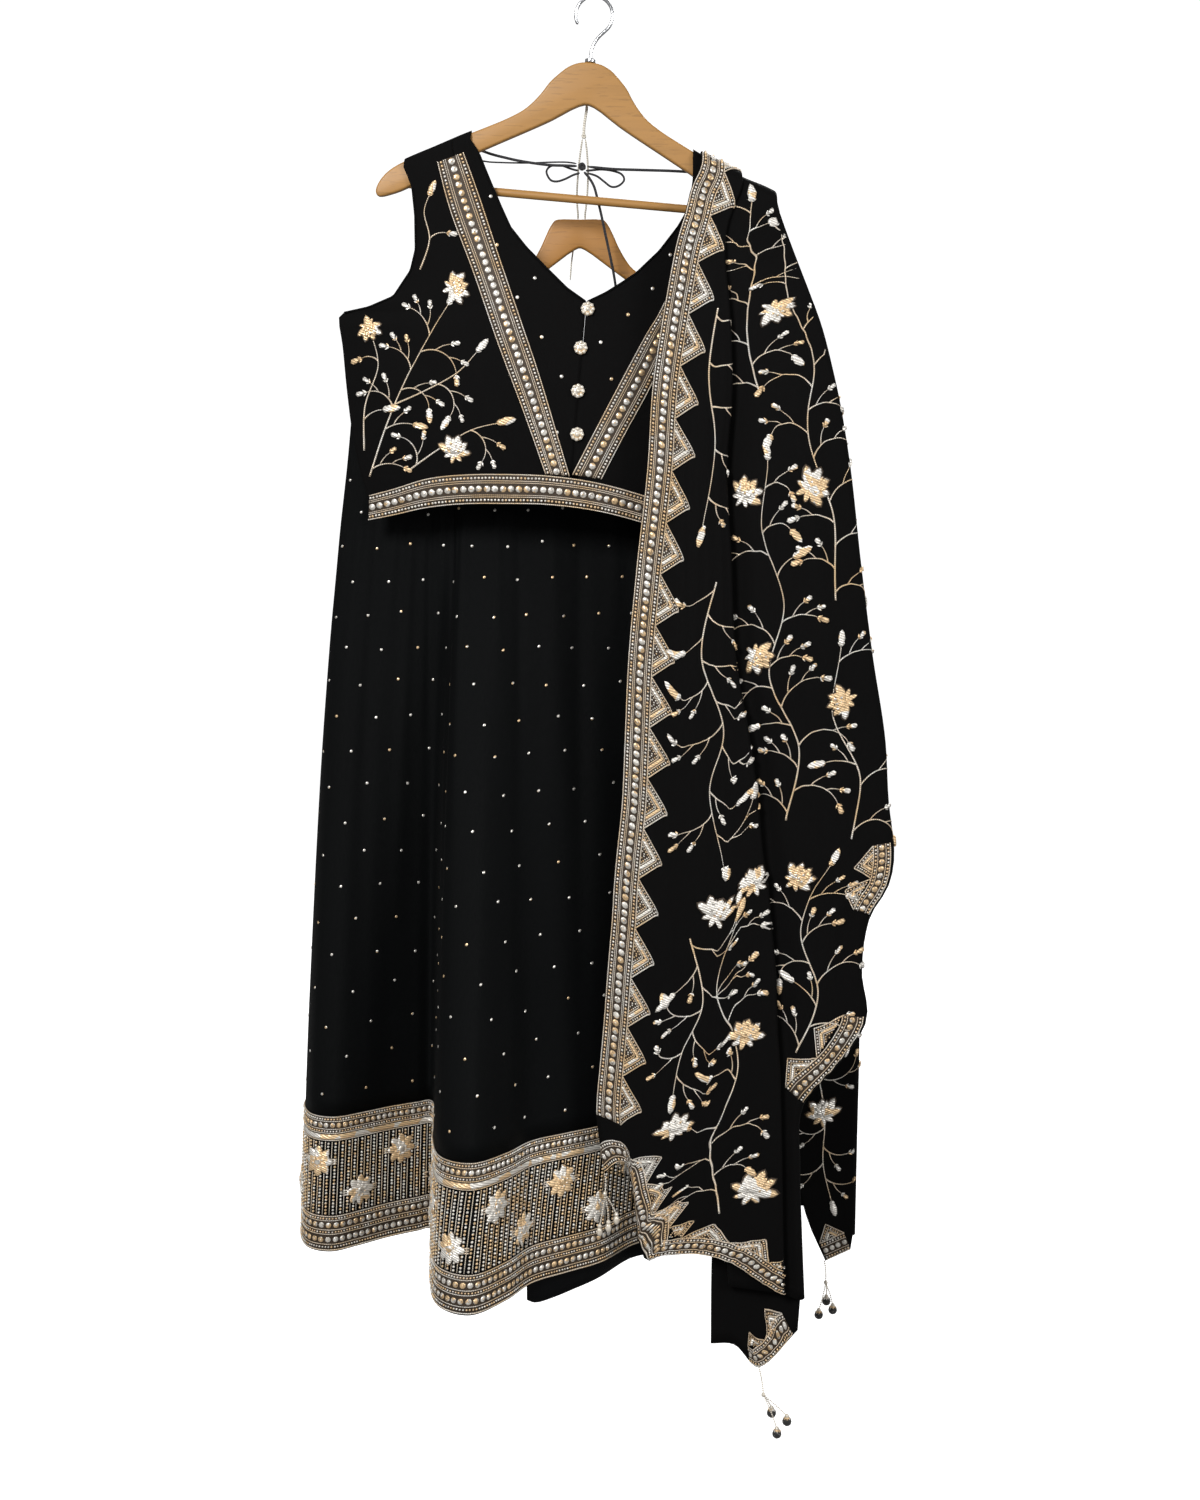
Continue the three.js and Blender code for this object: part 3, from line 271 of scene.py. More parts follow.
def taken_shape(make, shape=None):
    """A primitive that is added and shaped, as points and faces to copy."""
    select_only()
    make()
    piece = bpy.context.active_object
    if shape:
        shape(piece)
    mesh = piece.data
    points = np.array([v.co for v in mesh.vertices])
    faces = {}
    for polygon in mesh.polygons:
        faces.setdefault(len(polygon.vertices), []).append(list(polygon.vertices))
    bpy.data.objects.remove(piece)
    return points, [np.array(block) for block in faces.values()]


def stamp(heap, lay, shape, places, look=0):
    """Copies of one shape laid on a face: each place is across, down, turn, size across, size down, lift."""
    points, faces = shape
    places = np.atleast_2d(np.asarray(places, float))
    turn = places[:, 2, None]
    x = points[None, :, 0] * places[:, 3, None]
    y = points[None, :, 1] * places[:, 4, None]
    s = places[:, 0, None] + x * np.cos(turn) - y * np.sin(turn)
    t = places[:, 1, None] + x * np.sin(turn) + y * np.cos(turn)
    lift = places[:, 5, None] + points[None, :, 2] * np.sqrt(places[:, 3] * places[:, 4])[:, None]
    laid = lay(s.ravel(), t.ravel(), lift.ravel())
    step = np.arange(len(places))[:, None, None] * len(points)
    blocks = [(block[None] + step).reshape(-1, block.shape[1]) for block in faces]
    heap.add(laid, blocks, look, np.stack([s.ravel(), t.ravel()], -1))


def thread(heap, lay, line, width, height, lift=0.0, look=THREAD, taper=False):
    """A flat-bottomed thread laid on a face along a line of points across and down it."""
    line = np.asarray(line, float)
    ahead = np.gradient(line, axis=0)
    ahead /= np.maximum(np.linalg.norm(ahead, axis=1, keepdims=True), 1e-9)
    beside = np.stack([-ahead[:, 1], ahead[:, 0]], -1)
    count = len(line)
    thin = np.ones(count)
    if taper:
        thin = lerp(1.0, 0.45, np.linspace(0, 1, count))
    spots, lifts = [], []
    for share, rise in ((-0.5, 0.0), (-0.28, 1.0), (0.28, 1.0), (0.5, 0.0)):
        spots.append(line + beside * (width * share * thin)[:, None])
        lifts.append(lift + height * rise * thin)
    spots, lifts = np.stack(spots, 1), np.stack(lifts, 1)
    laid = lay(spots[..., 0].ravel(), spots[..., 1].ravel(), lifts.ravel())
    last = 4 * count
    ends = np.array([[3, 2, 1, 0], [last - 4, last - 3, last - 2, last - 1]])
    cloth = np.stack([np.tile([0.0, 1.0, 2.0, 3.0], count), np.repeat(line_run(line), 4)], -1)
    heap.add(laid, [np.concatenate([ring_quads(count, 4), ends])], look, cloth)


class Face:
    """A cloth's outer face, on which pieces are laid by millimetres across and down it.

    With levels, "down" is each row's own level and each row is as wide as the widest.
    Without them it is the way along the cloth from the row that is numbered origin.
    """

    def __init__(self, grid, levels=None, origin=0, step=3.0):
        self.step = step
        across = np.linalg.norm(np.diff(grid, axis=1), axis=2)
        self.across = np.concatenate([np.zeros((len(grid), 1)), np.cumsum(across, 1)], 1)
        self.width = self.across[:, -1].max()
        self.shrunk = self.across[:, -1] / self.width
        if levels is not None:
            self.across = self.across / self.shrunk[:, None]
        self.s = np.arange(int(self.width / step) + 2) * step
        both = np.concatenate([grid, normals(grid)], 2)
        rows = np.array([[np.interp(self.s, self.across[r], both[r, :, k]) for k in range(6)]
                         for r in range(len(grid))]).transpose(0, 2, 1)
        if levels is not None:
            down = np.repeat(np.asarray(levels, float)[:, None], len(self.s), 1)
        else:
            down = np.linalg.norm(np.diff(rows[..., :3], axis=0), axis=2)
            down = np.concatenate([np.zeros((1, len(self.s))), np.cumsum(down, 0)])
            down = down - down[origin]
        self.down = down
        self.t = np.arange(down.min(), down.max() + step, step)
        self.table = np.array([[np.interp(self.t, down[:, c], rows[:, c, k]) for k in range(6)]
                               for c in range(len(self.s))]).transpose(2, 0, 1)

    def __call__(self, s, t, lift):
        rows, cols = self.table.shape[:2]
        r = np.clip((np.asarray(t) - self.t[0]) / self.step, 0, rows - 1.001)
        c = np.clip(np.asarray(s) / self.step, 0, cols - 1.001)
        r0, c0 = r.astype(int), c.astype(int)
        fr, fc = (r - r0)[:, None], (c - c0)[:, None]
        high = lerp(self.table[r0, c0], self.table[r0, c0 + 1], fc)
        low = lerp(self.table[r0 + 1, c0], self.table[r0 + 1, c0 + 1], fc)
        found = lerp(high, low, fr)
        return found[:, :3] + found[:, 3:] * np.asarray(lift)[:, None]

    def edge(self, s, end):
        """How far down the cloth's cut edge is, end 0 for its first row and -1 for its last."""
        return np.interp(s, self.s, self.down[end])


def creased(grid, marks):
    """The grid with soft troughs and ridges: marks has each one's ends, width and height."""
    rows, cols = grid.shape[:2]
    v, u = np.meshgrid(np.linspace(0, 1, rows), np.linspace(0, 1, cols), indexing="ij")
    rise = np.zeros((rows, cols))
    for u0, v0, u1, v1, width, height in marks:
        f = np.clip((v - v0) / (v1 - v0), 0, 1)
        beyond = np.maximum(v0 - v, 0) + np.maximum(v - v1, 0)
        aside = u - lerp(u0, u1, smooth(f))
        ends = np.sin(np.pi * f) ** 0.6
        rise += height * np.exp(-((aside / width) ** 2)) * ends * (beyond <= 0)
    return grid + normals(grid) * rise[..., None]


# Shader maths


class Paint:
    """One material's node tree, with a method that adds any node."""

    def __init__(self, name):
        self.material = bpy.data.materials.new(name)
        self.material.use_nodes = True
        self.tree = self.material.node_tree
        self.shader = self.tree.nodes["Principled BSDF"]

    def node(self, kind, settings=None, output=0, **sockets):
        """Adds a node: settings are set first, then its sockets take values or links."""
        node = self.tree.nodes.new(kind)
        for key, value in (settings or {}).items():
            if key == "stops":
                ramp = node.color_ramp
                while len(ramp.elements) < len(value):
                    ramp.elements.new(1)
                for element, (position, colour) in zip(ramp.elements, value):
                    element.position = position
                    element.color = (*colour, 1)
            else:
                setattr(node, key, value)
        for key, value in sockets.items():
            which = int(key[1:]) if key[1:].isdigit() else key.replace("_", " ")
            self.feed(node.inputs[which], value)
        return Wire(self, node.outputs[output])

    def feed(self, socket, value):
        if isinstance(value, Wire):
            self.tree.links.new(value.socket, socket)
        elif isinstance(value, (tuple, list)) and len(value) == 3 and socket.type == "RGBA":
            socket.default_value = (*value, 1)
        else:
            socket.default_value = value

    def set(self, **sockets):
        for key, value in sockets.items():
            self.feed(self.shader.inputs[key.replace("_", " ")], value)
        return self.material

    def place(self):
        return self.node("ShaderNodeTexCoord", output="Object")

    def cloth(self):
        return self.node("ShaderNodeUVMap", {"uv_map": "cloth"})

    def scaled(self, place, *scale):
        return self.node("ShaderNodeMapping", Vector=place, Scale=scale)

    def noise(self, place, scale, detail=3.0, rough=0.55):
        return self.node("ShaderNodeTexNoise", Vector=place, Scale=scale, Detail=detail, Roughness=rough)

    def cells(self, place, scale, output="Color"):
        return self.node("ShaderNodeTexVoronoi", output=output, Vector=place, Scale=scale)

    def mix(self, share, first, second):
        return self.node("ShaderNodeMix", {"data_type": "RGBA"}, output=2, _0=share, _6=first, _7=second)

    def bump(self, height, strength, distance):
        return self.node("ShaderNodeBump", Height=height, Strength=strength, Distance=distance)


class Wire:
    """A socket that takes part in Python expressions."""

    def __init__(self, paint, socket):
        self.paint, self.socket = paint, socket

    def _maths(self, operation, first, second=0.0):
        return self.paint.node("ShaderNodeMath", {"operation": operation}, _0=first, _1=second)

    def __add__(self, other):
        return self._maths("ADD", self, other)

    def __radd__(self, other):
        return self._maths("ADD", other, self)

    def __sub__(self, other):
        return self._maths("SUBTRACT", self, other)

    def __rsub__(self, other):
        return self._maths("SUBTRACT", other, self)

    def __mul__(self, other):
        return self._maths("MULTIPLY", self, other)

    def __rmul__(self, other):
        return self._maths("MULTIPLY", other, self)

    def __gt__(self, other):
        return self._maths("GREATER_THAN", self, other)

    def sine(self):
        return self._maths("SINE", self)

    def size(self):
        return self._maths("ABSOLUTE", self)

    def part(self, name):
        """One part of a vector: x, y or z."""
        split = self.paint.tree.nodes.new("ShaderNodeSeparateXYZ")
        self.paint.tree.links.new(self.socket, split.inputs[0])
        return Wire(self.paint, split.outputs[name.upper()])


# Settings


def colour_setting(name, description, value):
    return bpy.props.FloatVectorProperty(
        name=name, description=description, subtype="COLOR", size=3, min=0, max=1, default=value)


def length_setting(name, description, value):
    return bpy.props.FloatProperty(
        name=name, description=description, subtype="DISTANCE", unit="LENGTH", min=0, default=value)


class ClothSettings(bpy.types.PropertyGroup):
    crepe: colour_setting("Crepe", "Colour of the bodice and the scarf", (0.0018, 0.0017, 0.0017))
    georgette: colour_setting("Georgette", "Colour of the skirt", (0.0015, 0.0017, 0.0018))
    taffeta: colour_setting("Taffeta", "Colour of the skirt's lining", (0.0014, 0.0015, 0.0017))
    weave: length_setting("Weave", "Distance from yarn to yarn", 0.0006)
    thickness: length_setting("Cloth thickness", "Thickness of the bodice and skirt cloth", 0.0012)


class TrimSettings(bpy.types.PropertyGroup):
    gold: colour_setting("Gold", "Colour of the gold beads and threads", (0.93, 0.67, 0.39))
    silver: colour_setting("Silver", "Colour of the silver beads and threads", (0.96, 0.92, 0.85))
    ribbon: colour_setting("Ribbon", "Colour of the ribbon under the beads", (0.03, 0.02, 0.012))
    bead: length_setting("Bead", "Diameter of a bead", 0.0024)
    bead_pitch: length_setting("Bead pitch", "Distance from bead to bead", 0.0038)
    sequin: length_setting("Sequin", "Diameter of a sequin", 0.0072)
    sequin_pitch: length_setting("Sequin pitch", "Distance from sequin to sequin", 0.0094)


class HangerSettings(bpy.types.PropertyGroup):
    upper_wood: colour_setting("Upper wood", "Colour of the upper hanger", (0.36, 0.18, 0.045))
    lower_wood: colour_setting("Lower wood", "Colour of the lower hanger", (0.37, 0.165, 0.028))
    steel: colour_setting("Steel", "Colour of the hook", (0.62, 0.63, 0.65))
    thickness: length_setting("Thickness", "Thickness of the hangers", 0.012)


class CordSettings(bpy.types.PropertyGroup):
    tie: colour_setting("Tie", "Colour of the neck ties", (0.012, 0.012, 0.015))
    string: colour_setting("String", "Colour of the cotton string", (0.62, 0.58, 0.5))
    tie_width: length_setting("Tie diameter", "Diameter of the neck ties", 0.003)


class StageSettings(bpy.types.PropertyGroup):
    floor: colour_setting("Floor", "Colour of the floor", (0.86, 0.86, 0.86))
    background: bpy.props.FloatProperty(
        name="Background", description="Brightness of the surrounding light", min=0, default=0.3)
    key: bpy.props.FloatProperty(
        name="Key light", description="Power of the main light", unit="POWER", min=0, default=100)


def settings(name):
    return getattr(bpy.context.scene, "lehenga_" + name)


def colour(group, name):
    return tuple(getattr(settings(group), name))


# Materials


@functools.cache
def look(name):
    """A material by name, made once."""
    return LOOKS[name]()


def woven_look(name, pale, rough):
    """A dull woven cloth with crossing yarns, its tone uneven up to pale times as light."""
    paint = Paint(name)
    tone = colour("cloth", name)
    cloth = paint.cloth()
    rate = TURN / settings("cloth").weave
    yarns = (cloth.part("x") * rate).sine() * (cloth.part("y") * rate).sine()
    cloudy = paint.noise(paint.place(), 9.0, 4.0)
    slubs = paint.noise(paint.scaled(cloth, 300, 30, 1), 1.0, 2.0)
    tone_share = cloudy * 0.7 + slubs * 0.3
    base = paint.mix(tone_share, tone, lighter(tone, pale))
    height = yarns * 0.5 + slubs * 0.8
    return paint.set(
        Base_Color=base, Roughness=rough + (cloudy - 0.5) * 0.12, Sheen_Weight=0.006, Sheen_Roughness=0.45,
        Specular_IOR_Level=0.045, Normal=paint.bump(height, 0.35, 0.0004))


def lighter(tone, by):
    return tuple(min(1.0, c * by) for c in tone)


def ribbon_look():
    """The trim's ribbon: a ribbed metallic weave."""
    paint = Paint("ribbon")
    cloth = paint.cloth()
    ribs = (cloth.part("y") * (TURN / 0.0016)).sine() * 0.5 + 0.5
    tone = colour("trim", "ribbon")
    patches = paint.noise(paint.place(), 60.0, 3.0)
    # painted light and shade: the ribs are painted lighter on their crowns and darker in the furrows, besides
    # the random patches
    base = paint.mix(patches * 0.6 + ribs * 0.4, tone, lighter(tone, 1.8))
    return paint.set(Base_Color=base, Metallic=0.35, Roughness=0.6, Normal=paint.bump(ribs, 0.4, 0.0003))


def metal_look(name, cell, rough, gold_share, dark, metal):
    """Gold and silver pieces: each small cell of the place has its own tone, and dark is the share of painted
    shade that darkens random patches.
    """
    paint = Paint(name)
    place = paint.place()
    tones = paint.cells(place, 1 / cell).part("x")
    painted_shade_and_roughness_noise = paint.noise(place, 240.0, 2.0)
    drift = paint.noise(place, 7.0, 2.0)
    share = (tones * 0.75 + drift * 0.6) > gold_share
    base = paint.mix(share, colour("trim", "gold"), colour("trim", "silver"))
    # painted shade: random patches of the metal are darkened towards brown-black, standing for shade and dark
    # reflections
    painted_shade_patches = paint.mix((painted_shade_and_roughness_noise - 0.3) * 2.4, (0.1, 0.08, 0.06), (1, 1, 1))
    shaded = paint.node("ShaderNodeMix", {"data_type": "RGBA", "blend_type": "MULTIPLY"}, output=2,
                        _0=dark, _6=base, _7=painted_shade_patches)
    return paint.set(Base_Color=shaded, Metallic=metal, Roughness=rough + painted_shade_and_roughness_noise * 0.2)


def thread_look():
    """Metallic embroidery thread, with the slant of its twist."""
    paint = Paint("thread")
    cloth = paint.cloth()
    twist = (cloth.part("y") * (TURN / 0.0022) + cloth.part("x") * (TURN / 0.004)).sine()
    drift = paint.noise(paint.place(), 22.0, 3.0)
    base = paint.mix((drift - 0.35) * 3.3, colour("trim", "gold"), colour("trim", "silver"))
    dark = paint.mix((twist > 0.25) * 0.5, base, colour("trim", "ribbon"))
    return paint.set(Base_Color=dark, Metallic=0.4, Roughness=0.4, Normal=paint.bump(twist, 0.6, 0.0005))


def petal_look():
    """Filled leaves and petals: rows of short stitches with sequins among them."""
    paint = Paint("petals")
    place = paint.place()
    stitches = (place.part("x") * 900 + place.part("z") * 2400).sine()
    spots = paint.cells(place, 330, "Distance")
    tones = paint.cells(place, 75).part("x")
    drift = paint.noise(place, 9.0, 2.0)
    base = paint.mix((tones * 0.6 + drift * 0.8) > 0.66, colour("trim", "gold"), colour("trim", "silver"))
    base = paint.mix((stitches > 0.35) * 0.4, base, lighter(colour("trim", "ribbon"), 3.0))
    height = stitches * 0.4 - spots
    return paint.set(Base_Color=base, Metallic=0.5, Roughness=0.38, Normal=paint.bump(height, 0.7, 0.0008))


def wood_look(name):
    """Varnished wood with long grain and darker pores."""
    paint = Paint(name)
    tone = colour("hanger", name)
    place = paint.place()
    sway = paint.noise(paint.scaled(place, 2.2, 20, 9), 1.0, 3.0)
    grain = paint.noise(paint.scaled(place, 5, 60, 90), 1.4, 6.0, 0.6)
    pores = paint.noise(paint.scaled(place, 40, 400, 520), 1.0, 2.0)
    share = grain * 0.7 + sway * 0.4
    base = paint.mix(share, lighter(tone, 0.62), lighter(tone, 1.18))
    base = paint.mix((pores > 0.62) * 0.35, base, lighter(tone, 0.45))
    return paint.set(
        Base_Color=base, Roughness=0.45 + grain * 0.2, Coat_Weight=0.12, Coat_Roughness=0.25,
        Normal=paint.bump(grain + pores, 0.12, 0.0006))


def steel_look():
    paint = Paint("steel")
    wear = paint.noise(paint.place(), 160.0, 4.0)
    return paint.set(
        Base_Color=paint.mix(wear, lighter(colour("hanger", "steel"), 0.85), colour("hanger", "steel")),
        Metallic=1.0, Roughness=0.14 + wear * 0.16, Normal=paint.bump(wear, 0.05, 0.0002))


def cord_look(name, twist):
    """Twisted cord: grooves run round it, painted darker as painted shade, and the strands' crowns are
    painted lighter as painted light.
    """
    paint = Paint(name)
    tone = colour("cord", name)
    cloth = paint.cloth()
    strands = (cloth.part("y") * (TURN / twist) + cloth.part("x") * TURN).sine() * 0.5 + 0.5
    fuzz = paint.noise(paint.place(), 700.0, 2.0)
    # painted light and shade: the cord is lighter on the strands' crowns and darker in the grooves between
    # them
    base = paint.mix(strands * 0.7 + fuzz * 0.3, lighter(tone, 0.55), lighter(tone, 1.25))
    return paint.set(Base_Color=base, Roughness=0.8, Sheen_Weight=0.2,
                     Normal=paint.bump(strands + fuzz * 0.4, 0.7, 0.0005))


def pearl_look():
    paint = Paint("pearl")
    drift = paint.noise(paint.place(), 220.0, 2.0)
    base = paint.mix(drift, (0.55, 0.47, 0.36), (0.78, 0.74, 0.66))
    return paint.set(Base_Color=base, Metallic=0.25, Roughness=0.22 + drift * 0.12, Coat_Weight=0.5)


def dark_ball_look():
    """Black velvet balls with specks of sequin."""
    paint = Paint("dark_ball")
    place = paint.place()
    specks = paint.cells(place, 420, "Distance")
    fuzz = paint.noise(place, 900.0, 2.0)
    speck = 1.0 - (specks > 0.16)
    base = paint.mix(speck * 0.4, lighter(colour("cloth", "crepe"), 1.6), colour("trim", "silver"))
    return paint.set(Base_Color=base, Roughness=0.6, Sheen_Weight=0.3, Normal=paint.bump(fuzz, 0.5, 0.0005))


LOOKS = {
    "crepe": lambda: woven_look("crepe", pale=1.9, rough=0.7),
    "georgette": lambda: woven_look("georgette", pale=2.1, rough=0.6),
    "taffeta": lambda: woven_look("taffeta", pale=2.4, rough=0.5),
    "ribbon": ribbon_look,
    # dark is the share of painted shade on the beads and sequins
    "bead": lambda: metal_look("beads", cell=0.006, rough=0.25, gold_share=0.62, dark=0.4, metal=0.45),
    "sequin": lambda: metal_look("sequins", cell=0.0085, rough=0.2, gold_share=0.55, dark=0.6, metal=0.6),
    "thread": thread_look,
    "petal": petal_look,
    "upper_wood": lambda: wood_look("upper_wood"),
    "lower_wood": lambda: wood_look("lower_wood"),
    "steel": steel_look,
    "tie": lambda: cord_look("tie", twist=0.0035),
    "string": lambda: cord_look("string", twist=0.0025),
    "pearl": pearl_look,
    "dark_ball": dark_ball_look,
}

# Hangers

HANGER_TOP = Table(
    "x drop",
    (0, 67), (12, 68.5), (23, 73.5), (33, 82), (42, 91.5), (49, 102), (57, 112), (68, 122.5), (85, 133),
    (108, 144.5), (132, 156), (160, 170.5), (192, 187), (208, 198), (217, 209), (221, 220))
HANGER_UNDER = Table(
    "x drop", (217, 226), (204, 222.5), (186, 214), (150, 191), (108, 168), (60, 143), (36, 130), (8, 113))
LOWER_TOP = Table(
    "x drop",
    (0, 67), (24, 67), (31, 72), (37, 83), (43, 96), (51, 110), (60, 121), (76, 131),
    (108, 144.5), (132, 156), (160, 170.5), (192, 187), (208, 198), (217, 209), (221, 220))
LOWER_UNDER = Table(
    "x drop", (217, 226), (204, 222.5), (186, 214), (150, 191), (108, 168), (60, 138), (33, 119), (6, 100))
BAR = {"radius": 4.5, "half": 189, "drop": 210}
HOOK = {"radius": 1.8, "bend": 19.8}
LOWER_AT = {"x": -18, "y": 50, "lowered": 158}
COLLAR = {"radius": 6, "high": 3.3, "middle": 1.95}
TILT = math.radians(5)
SHARP = math.radians(40)


def tilted(points):
    """Points of the upper hanger's own frame, turned as it hangs."""
    points = np.asarray(points, float)
    x, y, z = points[..., 0], points[..., 1], points[..., 2]
    return np.stack([x * math.cos(TILT) + z * math.sin(TILT), y, z * math.cos(TILT) - x * math.sin(TILT)], -1)


def arm_top(x):
    return HANGER_TOP.at("x", "drop", np.abs(x))


def transform_mesh(piece, change):
    """Moves a mesh's points, given and taken in millimetres."""
    mesh = piece.data
    points = np.zeros(len(mesh.vertices) * 3)
    mesh.vertices.foreach_get("co", points)
    points = change(points.reshape(-1, 3) / MM) * MM
    mesh.vertices.foreach_set("co", points.ravel())
    mesh.update()


def round_edges(piece, width, segments, above=None):
    """Bevels a piece's edges, those that turn by more than some degrees where above is given."""
    rounding = piece.modifiers.new("rounding", "BEVEL")
    rounding.width = width * MM
    rounding.segments = segments
    if above:
        rounding.limit_method = "ANGLE"
        rounding.angle_limit = math.radians(above)
    select_only(piece)
    bpy.ops.object.modifier_apply(modifier=rounding.name)


def finish_hard(piece, tone, node):
    """Gives a hard piece its material and its shading, and hides the node that it stands for."""
    piece.data.materials.append(look(tone))
    select_only(piece)
    bpy.ops.object.shade_smooth_by_angle(angle=SHARP)
    return settle(piece, [node])


def hanger_board(name, top, under, place, wood, node):
    """A board cut to the hanger's outline, extruded to its thickness with rounded edges."""
    right = np.stack([np.concatenate([t.columns[k] for t in (top, under)]) for k in ("x", "drop")], -1)
    left = right[1:][::-1] * [-1, 1]
    corners = np.concatenate([right, left])
    rounds = 3
    outline = through(corners, np.arange(len(corners) * rounds) / rounds, closed=True)
    select_only()
    bpy.ops.mesh.primitive_circle_add(vertices=len(outline), radius=1, fill_type="NGON")
    piece = bpy.context.active_object
    piece.name = name
    half = settings("hanger").thickness / MM / 2
    for vertex, (x, drop) in zip(piece.data.vertices, outline):
        vertex.co = Vector((x, -half, -drop)) * MM
    bpy.ops.object.mode_set(mode="EDIT")
    bpy.ops.mesh.select_all(action="SELECT")
    bpy.ops.mesh.extrude_region_move(TRANSFORM_OT_translate={"value": (0, 2 * half * MM, 0)})
    bpy.ops.mesh.select_all(action="SELECT")
    bpy.ops.mesh.normals_make_consistent(inside=False)
    bpy.ops.object.mode_set(mode="OBJECT")
    round_edges(piece, 2.6, 4, above=60)
    transform_mesh(piece, place)
    return finish_hard(piece, wood, node)


def lowered(points):
    return points + [LOWER_AT["x"], LOWER_AT["y"], -LOWER_AT["lowered"]]


class LEHENGA_OT_hangers(bpy.types.Operator):
    """Adds both wooden hangers and the upper one's bar"""

    bl_idname = "lehenga.hangers"
    bl_label = "Hangers"

    def execute(self, context):
        hanger_board("hanger_upper", HANGER_TOP, HANGER_UNDER, tilted, "upper_wood", "upper_hanger")
        hanger_board("hanger_lower", LOWER_TOP, LOWER_UNDER, lowered, "lower_wood", "lower_hanger")
        self.bar()
        return {"FINISHED"}

    def bar(self):
        select_only()
        bpy.ops.mesh.primitive_cylinder_add(
            vertices=32, radius=BAR["radius"] * MM, depth=2 * BAR["half"] * MM)
        piece = bpy.context.active_object
        piece.name = "hanger_bar"
        round_edges(piece, 0.8, 3)
        lie = lambda p: np.stack([p[:, 2], p[:, 1], -p[:, 0] - BAR["drop"]], -1)
        transform_mesh(piece, lambda p: tilted(lie(p)))
        finish_hard(piece, "upper_wood", "upper_hanger_bar")


class LEHENGA_OT_hook(bpy.types.Operator):
    """Adds the steel hook and its collar"""

    bl_idname = "lehenga.hook"
    bl_label = "Hook"

    def execute(self, context):
        heap = Heap()
        degrees = np.concatenate([[-48], np.arange(-40, 213, 12)])
        bend = [(HOOK["bend"] * math.cos(math.radians(a)), 0, -18 + HOOK["bend"] * math.sin(math.radians(a)))
                for a in degrees]
        stem = [(0, 0, -90), (0, 0, -75), (0, 0, -61), (0.6, 0, -52), (5, 0, -42)]
        tube(heap, tilted(stem + bend), HOOK["radius"], sides=16, fine=5, rounded=True)
        heap.piece("hook_wire", [look("steel")], "steel", ["hook"])
        self.collar()
        return {"FINISHED"}

    def collar(self):
        select_only()
        bpy.ops.mesh.primitive_cylinder_add(
            vertices=40, radius=COLLAR["radius"] * MM, depth=COLLAR["high"] * MM,
            location=(0, 0, COLLAR["middle"] * MM))
        piece = bpy.context.active_object
        piece.name = "hook_ferrule"
        bpy.ops.object.transform_apply(location=True, rotation=False, scale=False)
        bpy.ops.object.mode_set(mode="EDIT")
        bpy.ops.mesh.select_all(action="DESELECT")
        bpy.ops.object.mode_set(mode="OBJECT")
        for polygon in piece.data.polygons:
            polygon.select = polygon.normal.z > 0.9
        bpy.ops.object.mode_set(mode="EDIT")
        bpy.ops.mesh.select_mode(type="FACE")
        bpy.ops.mesh.inset(thickness=1.6 * MM)
        bpy.ops.mesh.extrude_region_move(TRANSFORM_OT_translate={"value": (0, 0, 0.9 * MM)})
        bpy.ops.mesh.inset(thickness=1.4 * MM)
        bpy.ops.object.mode_set(mode="OBJECT")
        round_edges(piece, 0.35, 3)
        top = HANGER_TOP.columns["drop"][0]
        transform_mesh(piece, lambda p: tilted(p + [0, 0, -top]))
        finish_hard(piece, "steel", "hook_collar")


def frames_along(path):
    """Two directions across a path at each of its points, turning as little as they can."""
    ahead = np.gradient(path, axis=0)
    ahead /= np.linalg.norm(ahead, axis=1, keepdims=True)
    first = np.cross(ahead[0], [0.3, 0.9, 0.2])
    sides = [first / np.linalg.norm(first)]
    for step in ahead[1:]:
        side = sides[-1] - step * np.dot(sides[-1], step)
        sides.append(side / np.linalg.norm(side))
    sides = np.array(sides)
    return sides, np.cross(ahead, sides)


def tube(heap, points, radius, sides=8, fine=4, look=0, rounded=False):
    """A round cord through points in millimetres. Gives back the path that it follows."""
    points = np.asarray(points, float)
    path = through(points, np.linspace(0, len(points) - 1, fine * (len(points) - 1) + 1))
    first, second = frames_along(path)
    size = np.full(len(path), radius, float)
    if rounded:
        ends = np.array([0.35, 0.75, 0.95])
        size[:3] *= ends
        size[-3:] *= ends[::-1]
    turn = np.arange(sides) / sides * TURN
    ring = first[:, None] * np.cos(turn)[None, :, None] + second[:, None] * np.sin(turn)[None, :, None]
    around = path[:, None] + ring * size[:, None, None]
    everything = np.concatenate([around.reshape(-1, 3), path[:1], path[-1:]])
    low = len(everything) - 2
    k = np.arange(sides)
    after = (k + 1) % sides
    last = (len(path) - 1) * sides
    start = np.stack([after, k, np.full(sides, low)], -1)
    end = np.stack([last + k, last + after, np.full(sides, low + 1)], -1)
    run = line_run(path)
    cloth = np.stack([np.tile(np.arange(sides) / sides / MM, len(path)), np.repeat(run, sides)], -1)
    cloth = np.concatenate([cloth, [[0, 0], [0, run[-1]]]])
    heap.add(everything, [ring_quads(len(path), sides), np.concatenate([start, end])], look, cloth)
    return path


# Bodice, in the hanger's tilted frame

